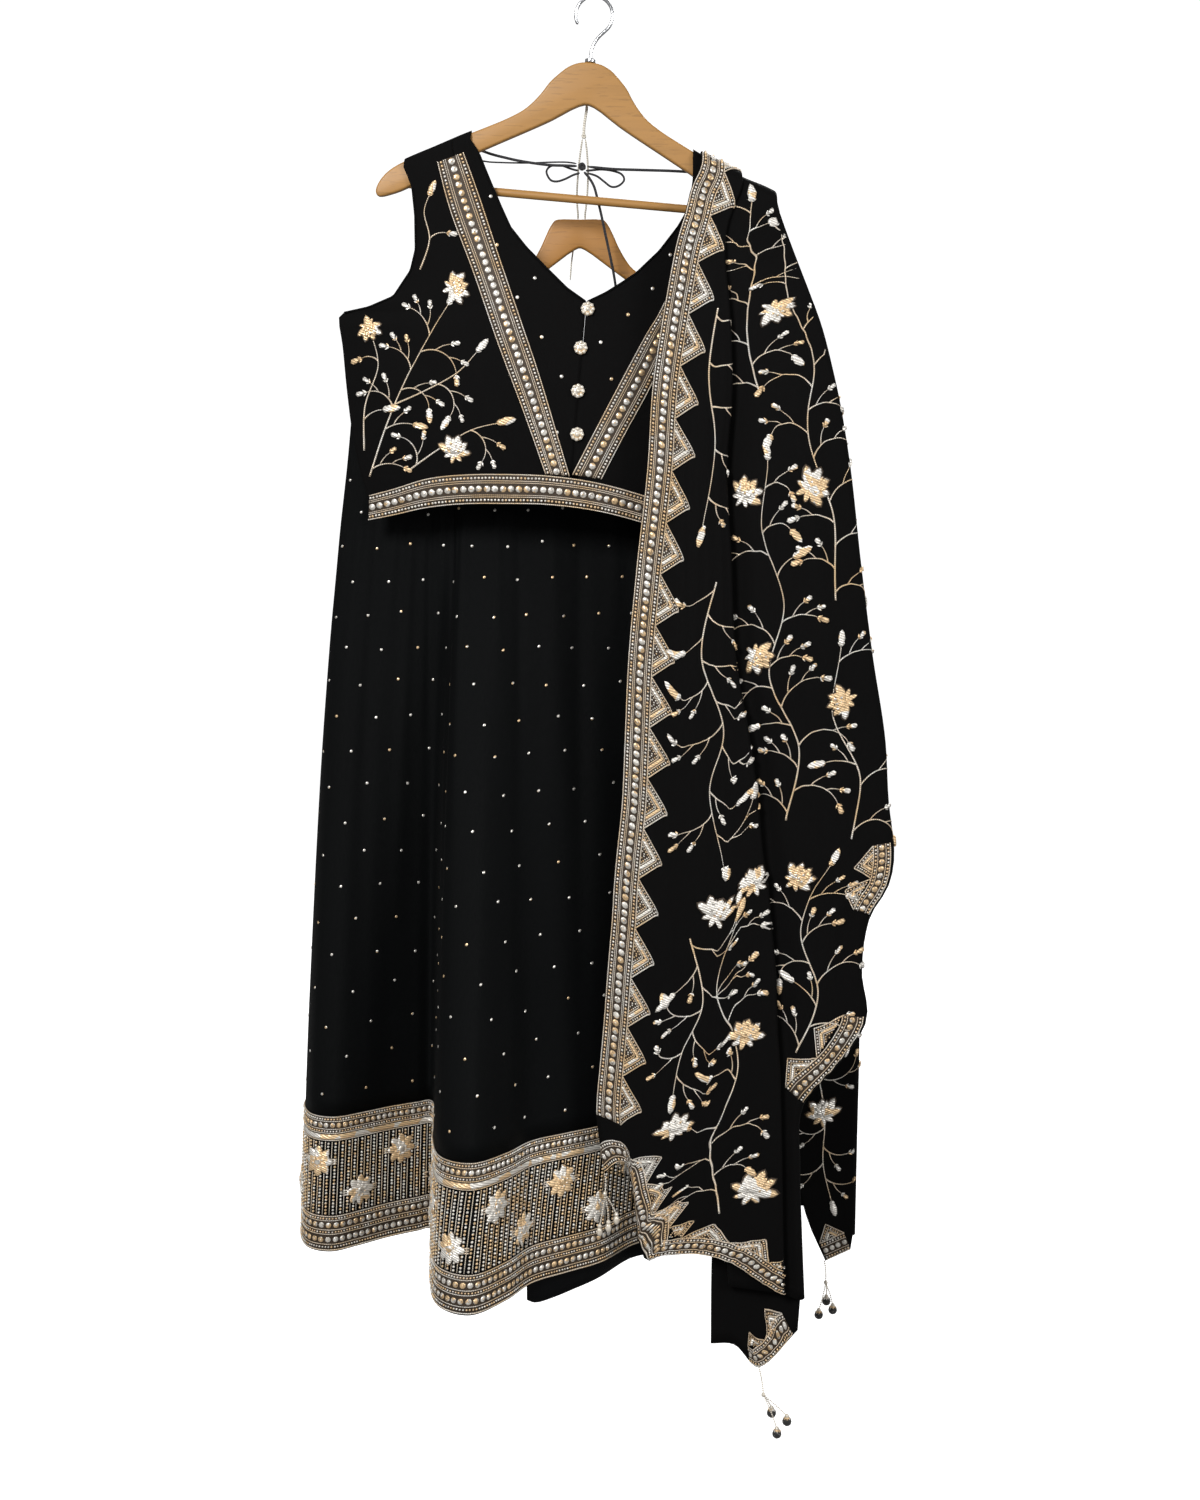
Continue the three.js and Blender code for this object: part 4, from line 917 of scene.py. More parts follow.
MIDDLE = 18
STRAP = {"reach": 10.3, "centre": 7.2}
SIDE_LEFT = (
    (-192, 194.5), (-182, 215), (-177, 243), (-174, 279), (-178, 302), (-195, 331), (-222, 345), (-248, 353),
    (-252, 363), (-246, 391), (-238, 440), (-227, 495), (-211, 548), (-197, 582))
SIDE_RIGHT = (
    (192, 194.5), (189, 225), (193, 262), (203, 300), (222, 328), (244, 345), (264, 355), (268, 364),
    (263, 395), (258, 440), (251, 490), (242, 540), (232, 580))
NECK_LEFT = (
    (-122, 158.5), (-110, 174), (-96, 201), (-82, 227), (-70, 248), (-51, 268), (-25, 290), (-3, 308),
    (MIDDLE - 0.15, 320))
NECK_RIGHT = (
    (119, 157), (121, 180), (120, 208), (109, 231), (91, 259), (68, 285), (53, 297), (37, 309),
    (MIDDLE + 0.15, 320))
VEE_LEFT = ((-141, 168.5), (-121, 229), (-94, 289), (-64, 356), (-32, 428), (MIDDLE - 6, 508))
VEE_RIGHT = ((156, 176), (148, 222), (130, 280), (108, 340), (80, 405), (MIDDLE + 8, 508))
BACK_NECK_LEFT = (
    (-122, 158.5), (-112, 190), (-104, 230), (-92, 275), (-72, 320), (-36, 352), (MIDDLE - 0.15, 362))
BACK_NECK_RIGHT = (
    (124, 159.5), (134, 190), (136, 230), (126, 275), (106, 320), (72, 352), (MIDDLE + 0.15, 362))
BODICE_DEPTH = Table(
    "drop bust back edge",
    (150, 0, 0, 10.3), (190, 1.5, 0, 10.3), (240, 11, 0.4, 10.3), (300, 25, 2, 7), (360, 37, 5, 2.4),
    (420, 43, 7, 2.15), (500, 44, 8, 2.15), (560, 41, 8, 2.15), (610, 38, 8, 2.15))
WAIST_BAND = Table(
    "x top bottom",
    (-209, 550, 578), (-178, 539, 569), (-140, 524, 557), (-100, 516, 549), (-50, 511, 544), (-4, 509, 541),
    (47, 512, 543), (97, 521, 551), (150, 534, 565), (205, 550, 581), (245, 562, 592))
LEFT_REACH = Table("x drop", *SIDE_LEFT)
RIGHT_REACH = Table("x drop", *SIDE_RIGHT)
TO_SEAM = np.array([0, 0.05, 0.13, 0.26, 0.46, 0.72, 1])
FROM_SEAM = 1 - TO_SEAM[::-1]
# soft marks on the bodice's front: where each starts and ends, its width and its height
BODICE_MARKS = (
    (-205, 372, -130, 420, 9, -1.6), (-232, 400, -165, 452, 8, 1.2), (-190, 505, -110, 480, 10, 1.3),
    (150, 380, 215, 420, 10, -1.4), (190, 470, 235, 520, 9, 1.2), (-60, 470, -100, 415, 12, 1.0),
    (-175, 225, -160, 300, 7, 1.0), (60, 350, 40, 470, 12, -1.1), (-20, 360, -8, 470, 14, -1.2))


def bodice_marks(x, drop):
    """How far the creases lift the bodice's front."""
    rise = 0.0
    for x0, d0, x1, d1, width, height in BODICE_MARKS:
        run = np.array([x1 - x0, d1 - d0], float)
        length = np.hypot(*run)
        f = ((x - x0) * run[0] + (drop - d0) * run[1]) / length**2
        aside = ((x - x0) * run[1] - (drop - d0) * run[0]) / length
        ends = np.exp(-np.maximum(np.abs(f - 0.5) - 0.3, 0) ** 2 / 0.03)
        rise = rise + height * np.exp(-((aside / width) ** 2)) * ends
    return rise


def bodice_y(x, drop, side):
    """Where the bodice's outer face is, side -1 at the front and 1 at the back."""
    left = LEFT_REACH.at("drop", "x", drop)
    right = RIGHT_REACH.at("drop", "x", drop)
    half = np.where(x < MIDDLE, MIDDLE - left, right - MIDDLE)
    share = np.clip(np.abs(x - MIDDLE) / half, 0, 1)
    swell = BODICE_DEPTH.at("drop", "bust" if side < 0 else "back", drop) * (1 - share**2.4)
    fade = 1 - share**6
    marks = bodice_marks(x, drop) * fade if side < 0 else 0
    return side * (BODICE_DEPTH.at("drop", "edge", drop) + swell + marks)


def bodice_face(side):
    """Lays points on the bodice: across is x and down is the drop, in the hanger's frame."""

    def lay(x, drop, lift):
        y = bodice_y(x, drop, side)
        step = 2.0
        slope_x = (bodice_y(x + step, drop, side) - bodice_y(x - step, drop, side)) / (2 * step)
        slope_d = (bodice_y(x, drop + step, side) - bodice_y(x, drop - step, side)) / (2 * step)
        out = np.stack([slope_x, -np.ones_like(y), -slope_d], -1) * -side
        out /= np.linalg.norm(out, axis=1, keepdims=True)
        return tilted(np.stack([x, y, -drop], -1) + out * np.asarray(lift)[:, None])

    return lay


def refine(shares, times):
    shares = np.asarray(shares, float)
    return np.interp(np.arange((len(shares) - 1) * times + 1) / times, np.arange(len(shares)), shares)


def panel(name, left_edge, right_edge, side, columns, hem, node):
    """One bodice panel between its edges, with its strap turned over the hanger's arm."""
    rows = 44
    own_left = left_edge[0][0] < MIDDLE
    limit = MIDDLE - 0.05 if own_left else MIDDLE + 0.05
    down = np.linspace(0, 1, rows + 1)[:, None]
    left, right = along(left_edge, down[:, 0]), along(right_edge, down[:, 0])
    x = lerp(left[:, :1], right[:, :1], columns[None])
    x = np.minimum(x, limit) if own_left else np.maximum(x, limit)
    drop = lerp(left[:, 1:], right[:, 1:], columns[None])
    shoulder = arm_top(x[0]) + STRAP["centre"] - drop[0]
    fix = WAIST_BAND.at("x", "bottom", x[-1]) - 2 - drop[-1] if hem else 0
    drop = drop + shoulder * (1 - down) ** 4 + fix * down**4
    body = np.stack([x, bodice_y(x, drop, side), -drop], -1)
    turns = np.radians(np.linspace(2, 80, 14))[:, None]
    strap_x = np.repeat(x[:1], len(turns), 0)

    def over(reach):
        rise = -arm_top(strap_x) - STRAP["centre"] + reach * np.cos(turns)
        return np.stack([strap_x, side * reach * np.sin(turns) + 0 * strap_x, rise], -1)

    thick = settings("cloth").thickness / MM
    outer = np.concatenate([over(STRAP["reach"]), body])
    inner = np.concatenate([over(STRAP["reach"] - thick), body + [0, -side * thick, 0]])
    heap = Heap()
    add_wall(heap, tilted(outer), tilted(inner))
    piece = heap.piece(name, [look("crepe")], "black_cloth", [node])
    width, length = cut_box(outer)
    area = min(grid_area(outer), width * length)
    return piece


class LEHENGA_OT_bodice(bpy.types.Operator):
    """Adds the bodice's six panels"""

    bl_idname = "lehenga.bodice"
    bl_label = "Bodice"

    def execute(self, context):
        middle_left, middle_right = (MIDDLE - 0.15, 541), (MIDDLE + 0.15, 541)
        shift = lambda edge, by: tuple((x + by, drop) for x, drop in edge)
        yoke_left = (*shift(VEE_LEFT[:-1], 0.1), (MIDDLE, 506))
        yoke_right = (*shift(VEE_RIGHT[:-1], -0.1), (MIDDLE, 506))
        to_seam, from_seam, even = refine(TO_SEAM, 7), refine(FROM_SEAM, 7), np.linspace(0, 1, 25)
        panels = (
            ("bodice_front_left", SIDE_LEFT, (*shift(VEE_LEFT, -0.15), middle_left), -1, to_seam, True,
             "bodice_side_left"),
            ("bodice_front_right", (*shift(VEE_RIGHT, 0.15), middle_right), SIDE_RIGHT, -1, from_seam, True,
             "bodice_side_right"),
            ("yoke_left", yoke_left, NECK_LEFT, -1, even, False, "bodice_yoke_left"),
            ("yoke_right", NECK_RIGHT, yoke_right, -1, even, False, "bodice_yoke_right"),
            ("back_left", SIDE_LEFT, (*BACK_NECK_LEFT, middle_left), 1, to_seam, True, "bodice_back_left"),
            ("back_right", (*BACK_NECK_RIGHT, middle_right), SIDE_RIGHT, 1, from_seam, True,
             "bodice_back_right"),
        )
        for name, left_edge, right_edge, side, columns, hem, node in panels:
            panel(name, left_edge, right_edge, side, columns, hem, node)
        return {"FINISHED"}


# Skirt

SKIRT = {"top": 366, "hem": 1394, "band": 30, "border": 1235}
WAIST = {"x": -18, "y": 50, "half": 254, "thick": 15, "droop": 12}
SKIRT_FOLDS = Table(
    "x y waist side",
    (-348, 8, -272, 0), (-337, -46, -262, -1), (-307, -62, -243, -1), (-276, -44, -222, -1),
    (-246, -22, -205, -1), (-214, -4, -188, -1), (-195, 2, -172, -1), (-186, -62, -160, -1),
    (-184, -140, -150, -1), (-170, -204, -141, -1), (-134, -226, -118, -1), (-98, -190, -92, -1),
    (-72, -148, -66, -1), (-30, -118, -30, -1), (6, -92, 4, -1), (46, -42, 44, -1), (90, -30, 84, -1),
    (130, -46, 120, -1), (172, -34, 158, -1), (208, -2, 204, -1), (222, 38, 236, 0), (196, 72, 200, 1),
    (140, 86, 144, 1), (85, 72, 86, 1), (30, 92, 28, 1), (-30, 76, -34, 1), (-90, 94, -92, 1),
    (-150, 80, -150, 1), (-210, 94, -200, 1), (-270, 74, -236, 1), (-320, 50, -261, 1))
SKIRT_SPREAD = Table(
    "drop wide deep",
    (366, 0, 0), (396, 0.03, 0), (480, 0.14, 0.01), (560, 0.27, 0.04), (610, 0.34, 0.075),
    (700, 0.46, 0.18), (860, 0.63, 0.39), (1110, 0.83, 0.72), (1235, 0.91, 0.875), (1394, 1, 1))


def skirt_lines():
    """The closed line of the hem and that of the waist, through the same folds."""
    folds = SKIRT_FOLDS.columns
    hem = np.stack([folds["x"], folds["y"]], -1)
    share = (folds["waist"] - WAIST["x"]) / WAIST["half"]
    deep = WAIST["thick"] * np.sqrt(np.maximum(0, 1 - share**4))
    waist = np.stack([folds["waist"], WAIST["y"] + folds["side"] * deep], -1)
    return hem, waist


def skirt_grid(drops, turns):
    """Points of the skirt's outer face, turns is counted in shares of the way round."""
    hem, waist = skirt_lines()
    low = through(hem, turns * len(hem), closed=True)[None]
    high = through(waist, turns * len(waist), closed=True)[None]
    drops = np.asarray(drops, float)[:, None]
    wide = SKIRT_SPREAD.at("drop", "wide", drops)
    deep = SKIRT_SPREAD.at("drop", "deep", drops)
    side = (high[..., 0] - WAIST["x"]) / WAIST["half"]
    sag = WAIST["droop"] * side**2 * (1 - wide) ** 2
    x, y = lerp(high[..., 0], low[..., 0], wide), lerp(high[..., 1], low[..., 1], deep)
    return np.stack([x, y, -drops - sag], -1)


GATHERS_FROM = 380
# gathers under the waistband and long soft folds: where each is round the skirt, at its top and its foot,
# down to which drop, its width as a share of the way round, and its height
SKIRT_GATHERS = (
    (0.055, 0.05, 900, 0.006, 2.2), (0.08, 0.086, 1180, 0.007, -2.6), (0.112, 0.108, 700, 0.005, 2.0),
    (0.14, 0.134, 1050, 0.006, 2.4), (0.17, 0.176, 820, 0.005, -2.2), (0.2, 0.198, 640, 0.005, 2.0),
    (0.245, 0.262, 1200, 0.008, -3.0), (0.285, 0.3, 960, 0.007, 2.6), (0.33, 0.338, 760, 0.005, 2.2),
    (0.362, 0.37, 1120, 0.008, -2.8), (0.4, 0.408, 900, 0.006, 2.4), (0.43, 0.432, 1230, 0.007, -2.4),
    (0.468, 0.464, 720, 0.005, 2.0), (0.5, 0.502, 980, 0.006, 2.4), (0.54, 0.55, 1180, 0.008, -2.6),
    (0.58, 0.584, 800, 0.006, 2.2), (0.62, 0.616, 1060, 0.007, -2.8), (0.66, 0.664, 700, 0.005, 2.2),
    (0.7, 0.694, 1200, 0.008, 2.6), (0.74, 0.744, 860, 0.006, -2.4), (0.78, 0.776, 1020, 0.007, 2.4),
    (0.82, 0.826, 760, 0.005, -2.2), (0.86, 0.854, 1150, 0.008, 2.8), (0.9, 0.904, 900, 0.006, -2.4),
    (0.94, 0.936, 1080, 0.007, 2.4), (0.975, 0.98, 800, 0.006, -2.2))


def skirt_rise(drops, turns):
    """How far the gathers lift the skirt's face."""
    drops, turns = np.asarray(drops, float)[:, None], turns[None]
    rise = np.zeros(np.broadcast(drops, turns).shape)
    for top, foot, end, width, height in SKIRT_GATHERS:
        f = np.clip((drops - GATHERS_FROM) / (end - GATHERS_FROM), 0, 1)
        aside = turns - lerp(top, foot, f)
        aside = aside - np.round(aside)
        swell = np.sin(np.pi * np.clip(f * 0.92 + 0.08, 0, 1)) ** 0.8 * (drops < end)
        rise += height * np.exp(-((aside / (width * (1 + f))) ** 2)) * swell
    return rise


def skirt_face_grid(drops, turns):
    grid = skirt_grid(drops, turns)
    return grid + normals(grid, ring=True) * skirt_rise(drops, turns)[..., None]


SKIRT_TURNS = np.arange(372) / 372


def skirt_ring(name, drops, nodes):
    outer = skirt_face_grid(drops, SKIRT_TURNS)
    heap = Heap()
    add_wall(heap, outer, moved(outer, -settings("cloth").thickness / MM, ring=True), ring=True)
    return heap.piece(name, [look("georgette")], "skirt_cloth", nodes)


def lengths(name, count):
    """The nodes of a part that is sewn from numbered lengths."""
    return [f"{name}_{i + 1}" for i in range(count)]


class LEHENGA_OT_skirt(bpy.types.Operator):
    """Adds the skirt's waistband, body, border cloth, lining and hanging loops"""

    bl_idname = "lehenga.skirt"
    bl_label = "Skirt"

    def execute(self, context):
        band_end = SKIRT["top"] + SKIRT["band"]
        band = skirt_ring("waistband", np.linspace(SKIRT["top"], band_end, 7), ["skirt_waistband"])
        drops = np.linspace(band_end + 0.3, SKIRT["border"] - 0.3, 44)
        body = skirt_ring("skirt_body", drops, lengths("skirt_gore", 6))
        hem_drops = np.linspace(SKIRT["border"], SKIRT["hem"], 13)
        hem = skirt_ring("skirt_hem", hem_drops, lengths("skirt_border", 4))
        declare_ring(np.linspace(SKIRT["top"], band_end, 3))
        declare_ring(drops)
        declare_ring(np.linspace(SKIRT["border"], SKIRT["hem"], 5))
        self.lining()
        self.loops()
        return {"FINISHED"}

    def lining(self):
        """The lining is made only where it shows, below the front of the hem."""
        turns = np.linspace(11.95, 15.9, 60) / len(SKIRT_FOLDS.columns["x"])
        foot = Table("x drop", (-76, 1411), (-66, 1420), (-50, 1421), (8, 1413), (40, 1411))
        hem = skirt_grid([SKIRT["hem"]], turns)[0, :, 0]
        end = foot.at("x", "drop", hem)
        rows = []
        for share in np.linspace(0, 1, 16):
            drops = lerp(1300, end, share)
            rows.append([skirt_grid([drop], np.array([turn]))[0, 0] for drop, turn in zip(drops, turns)])
        face = np.array(rows)
        inwards, thick = 3.6, 0.8
        outer, inner = moved(face, -inwards), moved(face, -inwards - thick)
        heap = Heap()
        add_wall(heap, outer, inner)
        piece = heap.piece("lining", [look("taffeta")], "lining_cloth", ["skirt_lining"])
        width, length = size_across(outer), size_down(outer)

    def loops(self):
        """Ribbon loops inside the waistband carry the skirt on the lower hanger."""
        reach, half, tall, chamfer, wide = 184, 10, 54, 5, 8
        for side, end in ((-1, "left"), (1, "right")):
            x = LOWER_AT["x"] + side * reach
            top = arm_top(reach) + LOWER_AT["lowered"] - 3.5
            heap = Heap()
            profile = []
            for inset in (0.0, 0.8):
                h, t = half - inset, tall - inset
                corners = [(-h, inset), (h, inset), (h, t - chamfer), (h - chamfer, t), (chamfer - h, t),
                           (-h, t - chamfer)]
                around = np.concatenate([np.linspace(a, b, 6, endpoint=False)
                                         for a, b in zip(corners, corners[1:] + corners[:1])])
                profile.append(around)
            rows = np.linspace(-wide / 2, wide / 2, 5)
            at = lambda w, p: (x + w, LOWER_AT["y"] + p[0], -top - tall + p[1])
            grids = [np.array([[at(w, p) for p in outline] for w in rows]) for outline in profile]
            add_wall(heap, *grids, ring=True)
            heap.piece("loop_" + end, [look("crepe")], "skirt_cloth", ["skirt_loop_" + end])


def size_across(grid):
    return float(np.linalg.norm(np.diff(grid, axis=1), axis=2).sum(1).max()) * MM


def size_down(grid):
    return float(np.linalg.norm(np.diff(grid, axis=0), axis=2).sum(0).max()) * MM


def cut_box(grid):
    """The width and length of the narrow box around a panel that is unrolled flat, its strap too."""
    steps = np.linalg.norm(np.diff(grid[..., 1:], axis=0), axis=2)
    down = np.concatenate([0 * steps[:1], np.cumsum(steps, axis=0)]) - grid[0, :, 2]
    flat = np.stack([grid[..., 0], down], -1).reshape(-1, 2)
    flat = flat - flat.mean(0)
    reach = np.ptp(flat @ np.linalg.svd(flat, full_matrices=False)[2].T, axis=0) * MM
    return float(reach[1]), float(reach[0])


def grid_area(grid):
    across, down = np.diff(grid, axis=1)[:-1], np.diff(grid, axis=0)[:, :-1]
    return float(np.linalg.norm(np.cross(across, down), axis=2).sum()) * MM * MM


def declare_ring(drops):
    """Works out the cloth's cut: as wide as the ring is round at its widest, and its real area."""
    grid = skirt_grid(drops, np.append(SKIRT_TURNS, 1.0))
    width, length = size_across(grid), size_down(grid)
    area = min(grid_area(grid), width * length)


# Scarf

RIDGE = {"drop": 159.8, "x": 115, "slope": 0.49, "reach": 22, "rise": 16}
SCARF_FRONT = Table(
    "drop y left crease tuck right end pitch lean",
    (178, 22, 114, 158, 148, 196, 174, 2.2, 1), (205, 31, 103, 148, 134, 206, 178, 2.6, 0.95),
    (235, 45, 96, 140, 120, 217, 180, 3.2, 0.88), (270, 58, 86, 138, 110, 229, 184, 4.2, 0.75),
    (310, 66, 78, 142, 104, 242, 188, 5.2, 0.6), (360, 70, 69, 145, 98, 253, 190, 6, 0.4),
    (420, 74, 60, 146, 95, 264, 192, 6.6, 0.2), (500, 77, 55, 141, 94, 276, 194, 7, 0.05),
    (600, 81, 44, 147, 96, 288, 198, 7, 0), (700, 87, 35, 152, 100, 302, 204, 7, 0),
    (790, 92, 31, 168, 106, 317, 210, 7, 0), (860, 96, 28, 178, 112, 322, 214, 7, 0),
    (920, 100, 22, 184, 118, 329, 216, 7, 0), (955, 102, 19, 190, 120, 323, 216, 7, 0),
    (990, 104, 17, 193, 122, 303, 214, 7, 0), (1050, 108, 12, 199, 126, 295, 208, 7, 0),
    (1105, 111, 8, 201, 130, 301, 196, 7, 0), (1150, 114, 4, 204, 134, 274, 172, 6.5, 0),
    (1200, 117, 0, 206, 138, 232, 146, 6, 0), (1270, 119, 2, 208, 142, 229, 134, 6, 0),
    (1345, 121, 6, 210, 146, 232, 131, 6, 0), (1420, 122, 10, 213, 150, 236, 131, 6, 0))
SCARF_BACK = Table(
    "drop y left crease tuck right end pitch lean",
    (178, 22, 114, 158, 148, 196, 174, 2.2, 1), (210, 36, 110, 156, 140, 204, 174, 2.8, 0.9),
    (250, 60, 107, 157, 130, 214, 172, 3.8, 0.75), (300, 80, 104, 162, 126, 222, 174, 5, 0.5),
    (370, 92, 100, 170, 124, 234, 178, 6, 0.25), (460, 97, 96, 178, 126, 250, 184, 6.5, 0.05),
    (600, 103, 90, 190, 130, 275, 192, 7, 0), (760, 109, 85, 201, 134, 296, 200, 7, 0),
    (920, 114, 81, 210, 138, 312, 206, 7, 0), (1080, 118, 78, 217, 142, 321, 214, 7, 0),
    (1220, 121, 76, 222, 146, 323, 224, 6.5, 0), (1320, 122, 75, 224, 148, 323, 240, 6, 0),
    (1400, 122, 74, 225, 150, 323, 262, 6, 0), (1450, 122, 74, 226, 150, 323, 286, 6, 0))
FRONT_HEM = {
    "first": Table(
        "share drop", (0, 1276), (0.07, 1262), (0.14, 1272), (0.2, 1366), (0.32, 1371), (0.52, 1370),
        (0.7, 1379), (0.87, 1403), (1, 1420)),
    "second": Table("share drop", (0, 1420), (1, 1412)),
    "third": Table("share drop", (0, 1412), (1, 1428)),
    "fourth": Table("share drop", (0, 1470), (0.44, 1515), (0.72, 1488), (1, 1486)),
}
BACK_HEM = {
    "first": Table("share drop", (0, 1388), (1, 1404)),
    "second": Table("share drop", (0, 1404), (1, 1404)),
    "third": Table("share drop", (0, 1404), (0.7, 1416), (1, 1446)),
    "fourth": Table("share drop", (0, 1464), (1, 1479)),
}
LAYERS = ("first", "second", "third", "fourth")
LAYER_SHARES = {
    "first": np.linspace(0, 1, 33), "second": np.linspace(0, 1, 10),
    "third": np.linspace(0, 1, 33), "fourth": np.linspace(0, 1, 20)}
SCARF_CUT = {"drop": 1200, "front": 1420, "back": 1450}
FOLD_POINTS = 7


def half_round(x, n, across, deep, count=FOLD_POINTS):
    """A fold's round between two layers, as points across and inwards."""
    turn = np.linspace(-90, 90, count + 2)[1:-1] * math.pi / 180
    return x + across * np.cos(turn), n + deep * np.sin(turn)


def scarf_section(row, swell):
    """One row across the folded scarf: x, n inwards from the outer layer, layer number and share."""
    half = row["pitch"] / 2
    pitch, crease, tuck, right = row["pitch"], row["crease"], row["tuck"], row["right"]
    parts = []

    def put(x, n, layer, share):
        parts.append((np.broadcast_to(x, np.shape(share)), np.broadcast_to(n, np.shape(share)),
                      np.full(np.shape(share), layer), share))

    share = LAYER_SHARES["first"]
    wave = -swell * np.sin(np.pi * share) * (0.6 + 0.4 * np.sin(3.2 * np.pi * share))
    put(lerp(row["left"], crease - half, share), wave, 0, share)
    x, n = half_round(crease - half, half, half, half)
    put(x, n, 0, np.ones_like(x))
    share = LAYER_SHARES["second"]
    put(lerp(crease - half, tuck + half, share), pitch, 1, share)
    x, n = half_round(tuck + half, 1.5 * pitch, -half, half)
    put(x, n, 1, np.ones_like(x))
    share = LAYER_SHARES["third"]
    x = lerp(tuck + half, right - pitch, share)
    free = smooth((x - crease) / 30)
    ripple = -swell * np.sin(np.pi * np.clip((x - crease) / (right - crease), 0, 1))
    put(x, lerp(2 * pitch, 0.9 * pitch, free) + ripple * free, 2, share)
    last = lerp(2 * pitch, 0.9 * pitch, free[-1]) + ripple[-1] * free[-1]
    x, n = half_round(right - pitch, (last + 3 * pitch) / 2, pitch, (3 * pitch - last) / 2)
    put(x, n, 2, np.ones_like(x))
    share = LAYER_SHARES["fourth"]
    put(lerp(right - pitch, row["end"], share), 3 * pitch, 3, share)
    return [np.concatenate(found) for found in zip(*parts)]


def scarf_row(table, drop):
    return {name: float(table.at("drop", name, drop)) for name in table.columns}


def hanging_row(table, hem, side, drop, pull=None):
    """A row that hangs at the front (side -1) or the back (side 1), drawn down to the cut edge by pull."""
    row = scarf_row(table, drop)
    swell = 5 * float(np.clip((drop - 200) / 300, 0, 1))
    x, n, layer, share = scarf_section(row, swell)
    level = np.full(len(x), float(drop))
    if pull is not None:
        cut = np.choose(layer.astype(int), [hem[name].at("share", "drop", share) for name in LAYERS])
        level = lerp(SCARF_CUT["drop"], cut, pull)
    level = level + RIDGE["slope"] * (x - RIDGE["x"]) * row["lean"]
    return np.stack([x, side * (row["y"] - n), -level], -1)


def ridge_row(degrees):
    """A row where the scarf goes over the shoulder."""
    x, n, _, _ = scarf_section(scarf_row(SCARF_FRONT, 178), 0)
    turn = math.radians(degrees)
    top = RIDGE["drop"] + RIDGE["slope"] * (x - RIDGE["x"]) + RIDGE["rise"]
    y = (RIDGE["reach"] - n) * math.cos(turn)
    return np.stack([x, y, -top + (RIDGE["rise"] - n) * math.sin(turn)], -1)


SCARF_ROWS = {
    "back_pulls": np.linspace(0.08, 1, 14),
    "back": np.arange(192, 1201, 16.0),
    "ridge": np.arange(3, 178, 9.0),
    "front": np.arange(186, 1201, 13.0),
    "front_pulls": np.linspace(0.06, 1, 20),
}


def scarf_grid():
    """The scarf's middle, from the back hem over the shoulder to the front hem."""

    def hems(table, hem, side, last, pulls):
        return [hanging_row(table, hem, side, lerp(SCARF_CUT["drop"], last, pull), pull) for pull in pulls]

    back = [hanging_row(SCARF_BACK, BACK_HEM, 1, drop) for drop in SCARF_ROWS["back"]]
    front = [hanging_row(SCARF_FRONT, FRONT_HEM, -1, drop) for drop in SCARF_ROWS["front"]]
    back_hem = hems(SCARF_BACK, BACK_HEM, 1, SCARF_CUT["back"], SCARF_ROWS["back_pulls"])
    front_hem = hems(SCARF_FRONT, FRONT_HEM, -1, SCARF_CUT["front"], SCARF_ROWS["front_pulls"])
    rows = [*back_hem[::-1], *back[::-1], *[ridge_row(a) for a in SCARF_ROWS["ridge"]], *front, *front_hem]
    return np.array(rows)


# long soft folds of the scarf, in shares across the sheet and from its back hem to its front hem
SCARF_MARKS = (
    (0.13, 0.58, 0.16, 0.80, 0.008, 2.0), (0.2, 0.62, 0.18, 0.92, 0.010, -2.2),
    (0.26, 0.56, 0.25, 0.74, 0.008, 1.8), (0.1, 0.78, 0.12, 0.97, 0.010, 1.8),
    (0.56, 0.58, 0.6, 0.86, 0.010, -2.2), (0.62, 0.6, 0.66, 0.8, 0.008, 2.0),
    (0.7, 0.57, 0.72, 0.9, 0.009, 2.0), (0.6, 0.76, 0.58, 0.95, 0.008, 1.8),
    (0.14, 0.06, 0.16, 0.34, 0.010, 2.2), (0.24, 0.1, 0.22, 0.42, 0.009, -2.0),
    (0.6, 0.08, 0.64, 0.36, 0.010, 2.0), (0.7, 0.14, 0.68, 0.44, 0.009, -2.2))


class ScarfFace(Face):
    """The scarf's right side, with its four layers from the left edge to the last."""

    def __init__(self, middle):
        self.middle = middle
        self.outer = moved(middle, 0.5)
        ridge = len(SCARF_ROWS["back_pulls"]) + len(SCARF_ROWS["back"]) + len(SCARF_ROWS["ridge"]) // 2
        super().__init__(self.outer, origin=ridge)
        self.ridge = ridge
        counts = [len(LAYER_SHARES[name]) for name in LAYERS]
        self.layers, first = [], 0
        for count in counts:
            self.layers.append((first, first + count - 1))
            first += count + FOLD_POINTS

    def across_at(self, layer, share, row):
        """How far across the cloth a share of a layer is, on one row."""
        first, last = self.layers[layer]
        return float(lerp(self.across[row, first], self.across[row, last], share))

    def spot(self, layer, share, drop, back=False):
        """A share of a layer at a drop, as the places across and down the cloth."""
        first, last = self.layers[layer]
        column = int(round(lerp(first, last, share)))
        rows = np.arange(self.ridge + 1) if back else np.arange(len(self.outer) - 1, self.ridge - 1, -1)
        drops = -self.outer[rows, column, 2]
        order = np.argsort(drops)
        across = lerp(self.across[rows, first], self.across[rows, last], share)
        down = np.array([np.interp(s, self.s, self.down[row]) for s, row in zip(across, rows)])
        return [float(np.interp(drop, drops[order], values[order])) for values in (across, down)]


@functools.cache
def scarf_face():
    """The scarf's face, made once."""
    return ScarfFace(creased(scarf_grid(), SCARF_MARKS))


